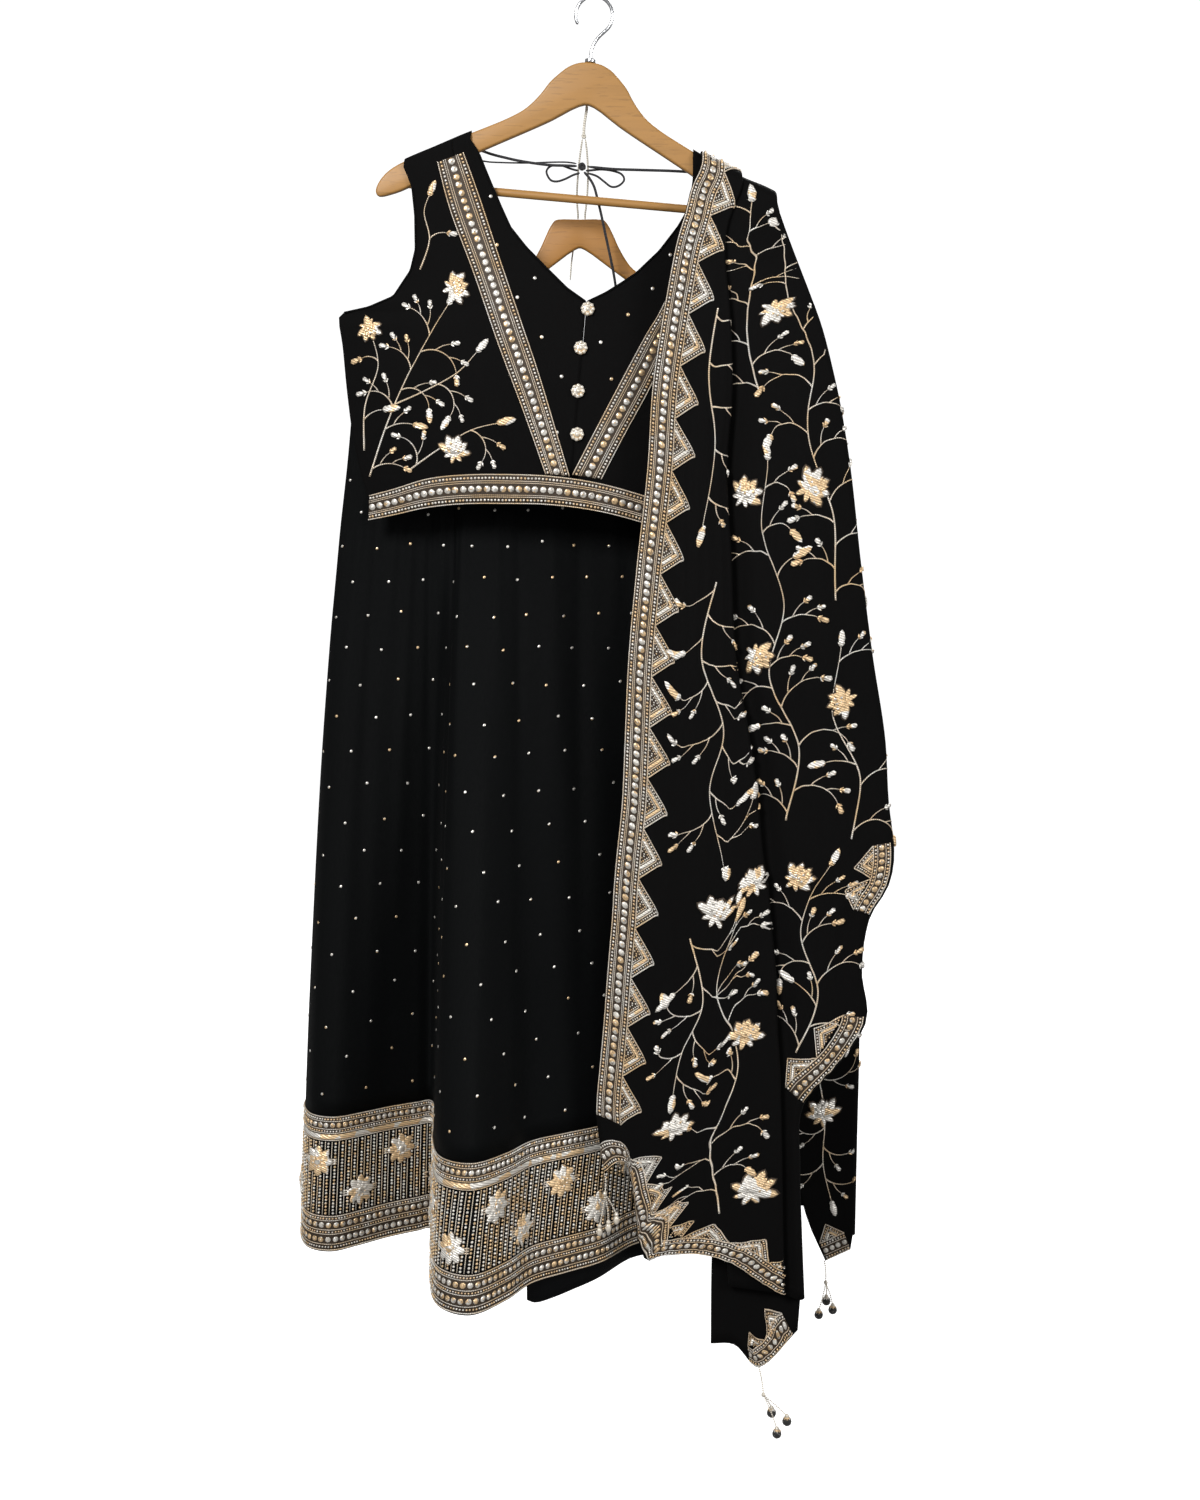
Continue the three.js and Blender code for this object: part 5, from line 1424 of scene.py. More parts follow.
class LEHENGA_OT_scarf(bpy.types.Operator):
    """Adds the long scarf, folded over the shoulder"""

    bl_idname = "lehenga.scarf"
    bl_label = "Scarf"

    def execute(self, context):
        face = scarf_face()
        grid = face.middle
        heap = Heap()
        add_wall(heap, face.outer, moved(grid, -0.5))
        piece = heap.piece("scarf_cloth", [look("crepe")], "black_cloth",
                           ["scarf_front", "scarf_shoulder", "scarf_back"])
        width, length = size_across(grid), size_down(grid)
        area = min(grid_area(grid), width * length)
        return {"FINISHED"}


# Small shapes that are modelled once and copied


@functools.cache
def small_shape(name):
    """A small closed shape by name, made once."""
    return SMALL_SHAPES[name]()


def ball_shape(fine):
    return taken_shape(lambda: bpy.ops.mesh.primitive_ico_sphere_add(subdivisions=fine, radius=1))


def raised_shape(outline, height, inset):
    """A flat piece with the given outline, its top smaller than its foot."""

    def shape(piece):
        for vertex, (x, y) in zip(piece.data.vertices, outline):
            vertex.co = (x, y, 0)
        bpy.ops.object.mode_set(mode="EDIT")
        bpy.ops.mesh.select_all(action="SELECT")
        bpy.ops.mesh.extrude_region_move(TRANSFORM_OT_translate={"value": (0, 0, height * 0.55)})
        bpy.ops.mesh.inset(thickness=inset, depth=height * 0.45)
        bpy.ops.mesh.select_all(action="SELECT")
        bpy.ops.mesh.normals_make_consistent(inside=False)
        bpy.ops.object.mode_set(mode="OBJECT")

    return taken_shape(
        lambda: bpy.ops.mesh.primitive_circle_add(vertices=len(outline), radius=1, fill_type="NGON"), shape)


def disc_outline(count):
    turns = np.arange(count) / count * TURN
    return np.stack([np.cos(turns), np.sin(turns)], -1)


def petal_outline(width, blunt, count=8):
    """A petal from its foot at the middle to its tip at 1, pointed, or round where blunt is above 0."""
    turns = np.arange(count) / count * TURN
    swell = np.sin(turns) * np.abs(np.sin(turns)) ** (0.35 * (1 - blunt))
    swell = swell * np.abs(np.sin(turns / 2)) ** (1.6 * blunt)
    return np.stack([width * swell, 0.5 - 0.5 * np.cos(turns)], -1)


SMALL_SHAPES = {
    "bead": lambda: ball_shape(1),
    "round_bead": lambda: ball_shape(2),
    "sequin": lambda: raised_shape(disc_outline(8), 0.34, 0.3),
    "leaf": lambda: raised_shape(petal_outline(0.26, 0), 0.1, 0.07),
    # a flat petal that is laid under petals in the ribbon's dark colour, as painted shade
    "shade": lambda: raised_shape(petal_outline(0.31, 0), 0.03, 0.02),
    "bud": lambda: raised_shape(petal_outline(0.42, 1), 0.2, 0.1),
}

# Trims


def even_line(line, step):
    """The same line with a point every step or so."""
    line = np.asarray(line, float)
    run = line_run(line)
    where = np.linspace(0, run[-1], max(2, int(round(run[-1] / step)) + 1))
    return np.stack([np.interp(where, run, line[:, k]) for k in (0, 1)], -1)


def spaced(line, pitch, radius, lift, uneven=0.06):
    """Places along a line for small round pieces, a little uneven as sewn by hand."""
    line = np.asarray(line, float)
    run = line_run(line)
    count = max(1, int(round(run[-1] / pitch)))
    where = (np.arange(count) + 0.5 + rng.uniform(-uneven, uneven, count)) * run[-1] / count
    spots = np.stack([np.interp(where, run, line[:, k]) for k in (0, 1)], -1)
    spots += rng.uniform(-uneven, uneven, spots.shape) * radius * 1.5
    size = radius * rng.uniform(1 - uneven, 1 + uneven, count)
    turn = rng.uniform(0, TURN, count)
    return np.stack([spots[:, 0], spots[:, 1], turn, size, size, np.full(count, lift)], -1)


def ribbon(heap, lay, first, second, low=0.15, high=0.8, columns=5, look=RIBBON):
    """A flat band between two lines that have as many points as each other."""
    shares = np.linspace(0, 1, columns)[None, :, None]
    spots = lerp(first[:, None], second[:, None], shares)
    flat = spots.reshape(-1, 2)
    faces = [lay(flat[:, 0], flat[:, 1], np.full(len(flat), lift)).reshape(*spots.shape[:2], 3)
             for lift in (high, low)]
    add_wall(heap, *faces, look=look)


# what lies across each trim: the kind, its share of the width, its size and its pitch
NARROW_TRIM = (
    ("cord", 0.025, 1.3, 0), ("bead", 0.135, 2.9, 3.9), ("cord", 0.235, 1.0, 0), ("cord", 0.3, 0.8, 0),
    ("sequin", 0.5, 7.4, 8.8), ("cord", 0.7, 0.8, 0), ("cord", 0.765, 1.0, 0), ("bead", 0.865, 2.9, 3.9),
    ("cord", 0.975, 1.3, 0))
ARCH_TRIM = (
    ("cord", 0.03, 1.3, 0), ("bead", 0.15, 2.7, 3.8), ("cord", 0.27, 0.9, 0), ("sequin", 0.5, 6.6, 8.4),
    ("cord", 0.73, 0.9, 0), ("bead", 0.85, 2.7, 3.8), ("cord", 0.97, 1.3, 0))
SKIRT_TOP_TRIM = (
    ("cord", 0.02, 1.2, 0), ("bead", 0.11, 2.4, 3.5), ("cord", 0.2, 0.9, 0), ("sequin", 0.36, 6.0, 7.6),
    ("cord", 0.52, 0.9, 0), ("bead", 0.6, 2.2, 3.5), ("cord", 0.68, 1.0, 0), ("satin", 0.84, 6.4, 0),
    ("cord", 0.975, 1.1, 0))
SKIRT_LOW_TRIM = (
    ("cord", 0.02, 1.2, 0), ("bead", 0.08, 2.4, 3.5), ("cord", 0.14, 0.9, 0), ("sequin", 0.27, 6.6, 8.4),
    ("cord", 0.4, 1.0, 0), ("bead", 0.46, 2.1, 3.5), ("cord", 0.52, 1.0, 0), ("sequin", 0.67, 6.6, 8.4),
    ("cord", 0.8, 0.9, 0), ("bead", 0.87, 2.3, 3.5), ("cord", 0.96, 1.5, 0))
RIBBON_TOP = 0.75
SEWN_AT = RIBBON_TOP - 0.1


def trim(heap, lay, first, second, kinds=NARROW_TRIM):
    """Beads, sequins and cords on a ribbon between two lines."""
    first, second = np.asarray(first, float), np.asarray(second, float)
    ribbon(heap, lay, first, second)
    for kind, share, size, pitch in kinds:
        line = lerp(first, second, share)
        if kind == "cord":
            thread(heap, lay, line, size, size * 0.8, lift=SEWN_AT)
        elif kind == "satin":
            thread(heap, lay, line, size, 0.7, lift=SEWN_AT, look=PETAL)
        elif kind == "bead":
            places = spaced(line, pitch, size / 2, RIBBON_TOP + size * 0.3)
            stamp(heap, lay, small_shape("bead"), places, BEAD)
        else:
            places = spaced(line, pitch, size / 2, SEWN_AT, 0.03)
            stamp(heap, lay, small_shape("sequin"), places, SEQUIN)
            stones = places[:, [0, 1, 2]]
            small = np.full((len(places), 2), size * 0.13)
            lift = np.full((len(places), 1), RIBBON_TOP + size * 0.17)
            stamp(heap, lay, small_shape("bead"), np.concatenate([stones, small, lift], 1), BEAD)


TOOTH = {"pitch": 56, "deep": 25}
# what lies inside each tooth, from its edge inwards: the kind, how far in, and its size
TOOTH_ROWS = (
    ("cord", 0.6, 1.4), ("bead", 3.0, 2.2), ("cord", 5.2, 1.2), ("satin", 7.6, 3.2), ("cord", 10.2, 1.1),
    ("bead", 12.2, 1.9), ("bead", 15.4, 1.9))


def teeth(heap, lay, line, side, pitch=TOOTH["pitch"], deep=TOOTH["deep"]):
    """A row of nested triangles along a line, side 1 or -1 says to which hand they point."""
    line = np.asarray(line, float)
    run = line_run(line)
    count = max(1, int(round(run[-1] / pitch)))
    at = lambda where: np.array([np.interp(where, run, line[:, k]) for k in (0, 1)])
    for tooth in range(count):
        start, end = at(run[-1] * tooth / count), at(run[-1] * (tooth + 1) / count)
        middle = (start + end) / 2
        along_base = end - start
        half = np.linalg.norm(along_base) / 2
        out = np.array([-along_base[1], along_base[0]]) / (2 * half) * side

        def chevron(inset):
            keep = 1 - inset * math.hypot(1 / deep, 1 / half)
            return np.array([middle + (start - middle) * keep, middle + out * deep * keep,
                             middle + (end - middle) * keep])

        low, tip, high = chevron(0)
        f = np.linspace(0, 0.97, 6)[:, None]
        ribbon(heap, lay, lerp(low, tip, f), lerp(high, tip, f), 0.12, 0.55)
        for kind, inset, size in TOOTH_ROWS:
            path = even_line(chevron(inset), 3.2)
            if kind == "bead":
                places = spaced(path, size * 1.5, size / 2, 0.55 + size * 0.3)
                stamp(heap, lay, small_shape("bead"), places, BEAD)
            elif kind == "cord":
                thread(heap, lay, path, size, size * 0.7, lift=0.45)
            else:
                thread(heap, lay, path, size, 0.8, lift=0.45, look=PETAL)


def beaded_piece(heap, name, replaces=(), slot="gold_trim"):
    return heap.piece(name, [look(kind) for kind in BEADED], slot, replaces)


# Bodice trims, as two edge lines each

VEE_TRIM_LEFT = (
    ((-156, 186), (-138, 236), (-108, 298), (-76, 369), (-39, 446), (-11, 507.6)),
    ((-128, 173), (-106, 220), (-80, 280), (-52, 343), (-24, 407), (16, 507.6)))
VEE_TRIM_RIGHT = (
    ((139, 181), (127, 240), (100, 318), (82, 356), (44, 444), (18, 506)),
    ((170, 196), (156, 248), (129, 312), (99, 396), (72, 458), (51, 508)))
BUTTONS = ((20, 328), (16, 370), (17, 416), (20, 462))


def edge_pair(edges, step=4.0):
    """Two edge lines, walked together."""
    count = int(line_length(along(edges[0], np.linspace(0, 1, 60))) / step)
    shares = np.linspace(0, 1, count)
    return along(edges[0], shares), along(edges[1], shares)


def waist_band_lines():
    left = float(LEFT_REACH.at("drop", "x", 560)) + 1.5
    right = float(RIGHT_REACH.at("drop", "x", 570)) - 1.5
    x = np.linspace(left, right, 120)
    return [np.stack([x, WAIST_BAND.at("x", name, x)], -1) for name in ("top", "bottom")]


class LEHENGA_OT_bodice_trims(bpy.types.Operator):
    """Adds the beaded bands of the neckline and the waist"""

    bl_idname = "lehenga.bodice_trims"
    bl_label = "Bodice Trims"

    def execute(self, context):
        front, back = bodice_face(-1), bodice_face(1)
        for name, edges, node in (("vee_left", VEE_TRIM_LEFT, "vee_trim_left"),
                                  ("vee_right", VEE_TRIM_RIGHT, "vee_trim_right")):
            heap = Heap()
            trim(heap, front, *edge_pair(edges))
            beaded_piece(heap, "trim_" + name, [node])
        for name, lay in (("front", front), ("back", back)):
            heap = Heap()
            trim(heap, lay, *waist_band_lines())
            beaded_piece(heap, "band_" + name, ["waist_band_" + name])
        self.piping(front, back)
        return {"FINISHED"}

    def piping(self, front, back):
        """A rolled edge of the same crepe round the neck and the armholes."""
        heap = Heap()
        inwards = lambda edge, by: even_line(np.array(edge, float) + [by, 0], 5)
        for lay, edges in ((front, (inwards(NECK_LEFT[1:], -1.2), inwards(NECK_RIGHT[1:], 1.2))),
                           (back, (inwards(BACK_NECK_LEFT[1:], -1.2), inwards(BACK_NECK_RIGHT[1:], 1.2)))):
            for edge in edges:
                thread(heap, lay, edge, 2.6, 1.1, look=0)
            for edge, by in ((SIDE_LEFT[1:8], 1.4), (SIDE_RIGHT[1:7], -1.4)):
                thread(heap, lay, inwards(edge, by), 2.6, 1.1, look=0)
        heap.piece("piping", [look("crepe")], "black_cloth")


class LEHENGA_OT_buttons(bpy.types.Operator):
    """Adds the four flower buttons"""

    bl_idname = "lehenga.buttons"
    bl_label = "Buttons"

    def execute(self, context):
        lay = bodice_face(-1)
        for number, (x, drop) in enumerate(BUTTONS, 1):
            heap = Heap()
            stamp(heap, lay, small_shape("sequin"), [[x, drop, 0, 7.6, 7.6, 0.8]], 1)
            turns = np.arange(8) / 8 * TURN
            ring = [[x + 5.6 * math.cos(a), drop + 5.6 * math.sin(a), a, 2.1, 2.1, 3.0] for a in turns]
            stamp(heap, lay, small_shape("round_bead"), ring, 0)
            stamp(heap, lay, small_shape("round_bead"), [[x, drop, 0, 3.0, 3.0, 3.2]], 0)
            rays = [[x + 3.4 * math.cos(a), drop + 3.4 * math.sin(a), a - math.pi / 2, 3.4, 3.6, 2.2]
                    for a in turns + TURN / 16]
            stamp(heap, lay, small_shape("leaf"), rays, 1)
            looks = [look("pearl"), look("bead")]
            heap.piece(f"button_flower_{number}", looks, "beads", [f"button_{number}"])
        return {"FINISHED"}


# Skirt border

SKIRT_BORDER = {"top": 29, "low": 42, "strings": 4.2, "flowers": 30, "flower": 20}
SKIRT_DOTS = {"across": 29, "down": 78, "size": 1.7}


@functools.cache
def skirt_face():
    """The skirt's face and its levels: "down" is the drop and each row is as wide as the hem."""
    levels = np.concatenate([np.arange(398, SKIRT["border"], 9.0), np.arange(SKIRT["border"], 1395, 5.3)])
    turns = np.append(SKIRT_TURNS, 1.0)
    return Face(skirt_face_grid(levels, turns), levels=levels), levels


class LEHENGA_OT_skirt_border(bpy.types.Operator):
    """Adds the skirt's beaded border, with its strings of beads and its star flowers"""

    bl_idname = "lehenga.skirt_border"
    bl_label = "Skirt Border"

    def execute(self, context):
        lay, _ = skirt_face()
        across = np.linspace(0, lay.width, int(lay.width / 5.5))
        level = lambda drop: np.stack([across, np.full(len(across), drop)], -1)
        top, foot = SKIRT["border"], SKIRT["hem"] - 0.4
        heap = Heap()
        trim(heap, lay, level(top + 0.6), level(top + SKIRT_BORDER["top"]), SKIRT_TOP_TRIM)
        beaded_piece(heap, "border_top")
        heap = Heap()
        trim(heap, lay, level(foot - SKIRT_BORDER["low"]), level(foot), SKIRT_LOW_TRIM)
        beaded_piece(heap, "border_foot")
        middle = top + SKIRT_BORDER["top"] + 1, foot - SKIRT_BORDER["low"] - 1
        self.strings(lay, *middle)
        self.flowers(lay, *middle)
        return {"FINISHED"}

    def strings(self, lay, top, foot):
        """Strings of pale beads and gold cords, in turn round the skirt."""
        heap = Heap()
        count = int(lay.width / (2 * SKIRT_BORDER["strings"]))
        pitch = lay.width / count
        drops = np.linspace(top, foot, int((foot - top) / 9) + 2)
        for i in range(count):
            lean = rng.uniform(-0.5, 0.5)
            line = np.stack([i * pitch + lean + 0 * drops, drops], -1)
            stamp(heap, lay, small_shape("bead"), spaced(line, 3.9, 1.55, 1.0, 0.04), BEAD)
            cord = np.stack([(i + 0.5) * pitch + lean + 0 * drops, drops], -1)
            thread(heap, lay, cord, 1.1, 0.7)
        beaded_piece(heap, "border_strings")

    def flowers(self, lay, top, foot):
        """Star flowers of eight petals, one high and the next one low."""
        heap = Heap()
        count = SKIRT_BORDER["flowers"]
        size = SKIRT_BORDER["flower"]
        for i in range(count):
            s = (i + 0.35) * lay.width / count
            t = lerp(top, foot, 0.27 if i % 2 else 0.72)
            star_flower(heap, lay, s, t, size)
        beaded_piece(heap, "border_flowers")


def star_flower(heap, lay, s, t, size):
    turns = np.arange(8) / 8 * TURN
    place = lambda a, off, width, length, lift: [
        s + off * math.cos(a), t + off * math.sin(a), a - math.pi / 2, width, length, lift]
    inner = turns + TURN / 16
    tiers = ((turns, 2.5, size * 0.95, size * 0.78, 1.4), (inner, 2, size * 0.5, size * 0.42, 2.6))
    for angles, off, wide, long, lift in tiers:
        # painted shade: a dark, larger copy of each petal lies under it, so a dark rim shows round it
        shades = [place(a, off - 1.2, wide * 1.02, long + 2.4, lift - 0.4) for a in angles]
        stamp(heap, lay, small_shape("shade"), shades, RIBBON)
        stamp(heap, lay, small_shape("leaf"), [place(a, off, wide, long, lift) for a in angles], PETAL)
    for side in (1, -1):
        for off in (-2.6, 0, 2.6):
            line = np.array([[s + side * size * share, t + off] for share in (0.55, 0.85, 1.12)])
            thread(heap, lay, line, 1.6, 1.1, lift=0.6)
    stamp(heap, lay, small_shape("sequin"), [[s, t, 0, size * 0.2, size * 0.2, 3.4]], SEQUIN)
    ring = [place(a, size * 0.3, 1.1, 1.1, 3.6) for a in inner]
    tips = [place(a, size * 0.8, 1.1, 1.1, 2.2) for a in turns]
    stamp(heap, lay, small_shape("bead"), ring + tips, BEAD)


class LEHENGA_OT_skirt_sequins(bpy.types.Operator):
    """Scatters tiny sequins over the skirt and the bodice's yoke"""

    bl_idname = "lehenga.skirt_sequins"
    bl_label = "Skirt Sequins"

    def execute(self, context):
        lay, levels = skirt_face()
        columns = int(lay.width / SKIRT_DOTS["across"])
        places = []
        for i in range(columns):
            for drop in np.arange(SKIRT["top"] + 62 + (i % 2) * SKIRT_DOTS["down"] / 2, SKIRT["border"] - 20,
                                  SKIRT_DOTS["down"]):
                narrow = np.interp(drop, levels, lay.shrunk)
                s = (i + 0.5) * lay.width / columns + rng.uniform(-3, 3)
                size = SKIRT_DOTS["size"]
                places.append([s, drop + rng.uniform(-4, 4), 0, size / narrow, size, 0.1])
        heap = Heap()
        stamp(heap, lay, small_shape("sequin"), places, SEQUIN)
        beaded_piece(heap, "skirt_dots", slot="beads")
        heap = Heap()
        dots = [[x, drop, 0, 2.0, 2.0, 0.2] for x, drop in YOKE_DOTS]
        stamp(heap, bodice_face(-1), small_shape("sequin"), dots, SEQUIN)
        beaded_piece(heap, "yoke_dots", slot="beads")
        return {"FINISHED"}


YOKE_DOTS = (
    (-95, 217), (-57, 322), (-27, 362), (37, 362), (104, 262), (-2, 402), (-2, 462), (-84, 268), (88, 300),
    (64, 330), (-40, 300), (52, 400))

# Scarf borders

SCARF_TRIM = 27.0


def border_line(face, end, s_from, s_to, step=3.0):
    """The scarf's cut edge between two places across it."""
    s = np.arange(s_from, s_to, step)
    t = face.edge(s, end)
    pad = np.pad(t, 2, mode="edge")
    return np.stack([s, (pad[:-4] + pad[1:-3] + pad[2:-2] + pad[3:-1] + pad[4:]) / 5], -1)


def offset(line, distance):
    """The line moved aside, to its right hand for a distance above zero on a cloth seen from outside."""
    ahead = np.gradient(line, axis=0)
    ahead /= np.maximum(np.linalg.norm(ahead, axis=1, keepdims=True), 1e-9)
    return line + np.stack([ahead[:, 1], -ahead[:, 0]], -1) * distance


class LEHENGA_OT_scarf_borders(bpy.types.Operator):
    """Adds the scarf's beaded borders with their rows of triangles"""

    bl_idname = "lehenga.scarf_borders"
    bl_label = "Scarf Borders"

    def execute(self, context):
        face = scarf_face()
        self.long_border(face)
        self.hems(face)
        self.patches(face)
        return {"FINISHED"}

    def long_border(self, face):
        top = face.spot(0, 0.1, 1384, back=True)[1]
        low = face.spot(0, 0.1, 1219)[1]
        down = np.arange(top, low, 4.0)
        edge = np.stack([np.full(len(down), 0.6), down], -1)
        inner = edge + [SCARF_TRIM, 0]
        heap = Heap()
        trim(heap, face, edge, inner)
        beaded_piece(heap, "scarf_long_trim", ["scarf_border_long"])
        heap = Heap()
        teeth(heap, face, inner[::-1], 1)
        beaded_piece(heap, "scarf_long_teeth")

    def hems(self, face):
        for name, end, start, side in (("front", -1, 0.8, 1), ("back", 0, SCARF_TRIM + 1, -1)):
            heap = Heap()
            last = face.across_at(1, 0.1, end)
            line = offset(border_line(face, end, start, last), 0.5 * side)
            inner = offset(line, 23 * side)
            trim(heap, face, line, inner, ARCH_TRIM)
            first = np.searchsorted(inner[:, 0], 62)
            teeth(heap, face, inner[first:], -side, 50, 22)
            beaded_piece(heap, "scarf_hem_" + name, [f"scarf_border_{name}_hem"])

    def patches(self, face):
        """Where the far border shows: on the right-hand fold and on the lowest corners."""
        heap = Heap()
        for first, last, wide in ((905, 985, 20), (1100, 1196, 25)):
            drops = np.linspace(first, last, 26)
            line = np.array([face.spot(2, 1.0, drop) for drop in drops]) + [2.5, 0]
            inner = offset(line, -wide)
            trim(heap, face, line, inner, ARCH_TRIM)
            teeth(heap, face, inner, 1, 46, 21)
        start, end = (face.across_at(3, share, 0) for share in (0.0, 1.0))
        line = offset(border_line(face, 0, start, end), -0.5)
        inner = offset(line, -24)
        trim(heap, face, line, inner, ARCH_TRIM)
        teeth(heap, face, inner, 1, 42, 20)
        beaded_piece(heap, "scarf_far_border")
        heap = Heap()
        lay = under_side(face)
        start, end = (face.across_at(3, share, -1) for share in (0.05, 0.62))
        line = offset(border_line(face, -1, start, end), 0.5)
        inner = offset(line, 22)
        trim(heap, lay, line, inner, ARCH_TRIM)
        teeth(heap, lay, inner, -1, 40, 18)
        beaded_piece(heap, "scarf_low_corner", ["scarf_border_low_corner"])


def under_side(face):
    """Lays pieces on the wrong side of the scarf."""
    return lambda s, t, lift: face(s, t, -1.0 - np.asarray(lift))


# Vines

STEM = {"width": 1.8, "high": 1.0, "every": 25, "leave": 32}
ROOM = {"branch": 5.0, "end": 10.0, "lotus": 21.0}
# the branches of a vine in turn: how long, how far they curl round, and what they end in
BRANCHES = (
    (60, 112, "bud"), (42, 64, "bud"), (68, 128, "bud"), (36, 48, "leaf"), (56, 96, "bud"), (48, 118, "leaf"),
    (40, 76, "bud"))
# the shoots of a branch: where they leave it, how long, and what they end in
SHOOTS = ((0.36, 20, "bud"), (0.68, 15, "bud"))
SHORTER = (1.0, 0.76, 0.54)


class Ground:
    """The cloth that vines may cover, and the places on it that are taken."""

    def __init__(self, inside):
        self.inside = inside
        self.taken = np.zeros((0, 3))

    def take(self, line, room):
        line = np.atleast_2d(np.asarray(line, float))
        self.taken = np.concatenate([self.taken, np.column_stack([line, np.full(len(line), room)])])

    def free(self, line):
        """Whether a line stays on the cloth and, past its first third, clear of what is taken."""
        far = line[len(line) // 3:]
        if not np.all(self.inside(line[:, 0], line[:, 1])):
            return False
        gaps = np.linalg.norm(far[:, None] - self.taken[None, :, :2], axis=2)
        return bool(np.all(gaps > self.taken[:, 2]))


def curl(start, heading, reach, bend, step=3.2):
    """A twig's line that leaves a point and bends evenly."""
    count = max(4, int(reach / step))
    turns = heading + math.radians(bend) * np.linspace(0, 1, count)
    steps = reach / (count - 1) * np.stack([np.cos(turns), np.sin(turns)], -1)
    return np.concatenate([[start], start + np.cumsum(steps[1:], axis=0)])


def heading_at(line, row):
    """Which way a line runs at one of its points."""
    ahead = line[min(row + 1, len(line) - 1)] - line[max(row - 1, 0)]
    return math.atan2(ahead[1], ahead[0])


def vine(heap, lay, ground, points, phase=0, size=1.0):
    """A stem through the points, with branches that curl to either side where there is room."""
    rough = through(np.asarray(points, float), np.linspace(0, len(points) - 1, 24 * (len(points) - 1) + 1))
    stem = even_line(rough, 4.2)
    thread(heap, lay, stem, STEM["width"] * 1.15, STEM["high"], lift=0.1, taper=True)
    ends = {"leaf": [], "bud": []}
    place_end(ends, "leaf", stem[-1], heading_at(stem, len(stem) - 1), size)
    run = line_run(stem)[-1]
    grown = []
    for j in range(int(run / (STEM["every"] * size))):
        reach, bend, end = BRANCHES[(j + phase) % len(BRANCHES)]
        side = 1 if (j + phase) % 2 else -1
        row = min(int((j + 0.5) * STEM["every"] * size / run * (len(stem) - 1)), len(stem) - 3)
        heading = heading_at(stem, row) + side * math.radians(STEM["leave"])
        lines = (curl(stem[row], heading, reach * size * share, side * bend) for share in SHORTER)
        branch = next((line for line in lines if ground.free(line)), None)
        if branch is None:
            continue
        thread(heap, lay, branch, STEM["width"], STEM["high"], lift=0.1, taper=True)
        place_end(ends, end, branch[-1], heading_at(branch, len(branch) - 1), size)
        grown += shoots(heap, lay, ground, branch, side, ends, size)
        ground.take(branch[len(branch) // 2:], ROOM["branch"])
        ground.take(branch[-1], ROOM["end"])
        grown.append(branch)
    for line in [stem, *grown]:
        ground.take(line, ROOM["branch"])
    for shape, places in ends.items():
        if places:
            stamp(heap, lay, small_shape(shape), places, PETAL)


def shoots(heap, lay, ground, branch, side, ends, size):
    """Short shoots on the outer side of a branch's curl."""
    found = []
    for share, reach, end in SHOOTS:
        row = int(share * (len(branch) - 1))
        line = curl(branch[row], heading_at(branch, row) - side * math.radians(52), reach * size, side * 34)
        if len(branch) > 9 and ground.free(line):
            thread(heap, lay, line, STEM["width"] * 0.8, STEM["high"] * 0.9, lift=0.1, taper=True)
            place_end(ends, end, line[-1], heading_at(line, len(line) - 1), size * 0.86)
            ground.take(line[-1], ROOM["end"])
            found.append(line)
    return found


def place_end(ends, kind, spot, heading, size):
    """A pointed leaf or a round bud at the end of a twig, between two small sepals."""
    turn = heading - math.pi / 2
    long, plump = {"leaf": (21, 0.8), "bud": (13, 0.86)}[kind]
    long = long * size * rng.uniform(0.88, 1.14)
    ends[kind].append([*spot, turn, long * plump, long, 0.4])
    for spread in (-0.7, 0.7):
        ends["leaf"].append([*spot, turn + spread, 4 * size, 6 * size, 0.2])


def lotus(heap, lay, ground, s, t, heading, size=1.0):
    """A lotus in three tiers of petals, each on a dark underlay of painted shade, with sequins in its heart.
    """
    turn = math.radians(heading)
    petals = []
    for count, spread, long, lift in ((5, 150, 21, 0.8), (4, 100, 17, 1.9), (3, 58, 12, 3.0)):
        for a in np.linspace(-spread / 2, spread / 2, count):
            reach = long * size * rng.uniform(0.92, 1.08)
            petals.append([s, t, turn + math.radians(a) - math.pi / 2, reach * 0.84, reach, lift])
    for a in (124, 180, -124):
        petals.append([s, t, turn + math.radians(a) - math.pi / 2, 11 * size, 13 * size, 0.8])
    petals = np.array(petals)
    # painted shade: a dark, slightly larger copy of each petal lies under it, so a dark rim shows round each
    # petal
    stamp(heap, lay, small_shape("shade"), petals * [1, 1, 1, 1.08, 1.08, 1] - [0, 0, 0, 0, 0, 0.4], RIBBON)
    stamp(heap, lay, small_shape("leaf"), petals, PETAL)
    hearts = []
    for a, off in ((0, 4), (-50, 6.5), (50, 6.5), (0, 10), (-30, 12), (30, 12)):
        angle = turn + math.radians(a)
        hearts.append([s + off * size * math.cos(angle), t + off * size * math.sin(angle), 0, 1.5, 1.5, 4.0])
    stamp(heap, lay, small_shape("sequin"), hearts, SEQUIN)
    middle = [s + 8 * size * math.cos(turn), t + 8 * size * math.sin(turn)]
    ground.take(middle, ROOM["lotus"] * size)


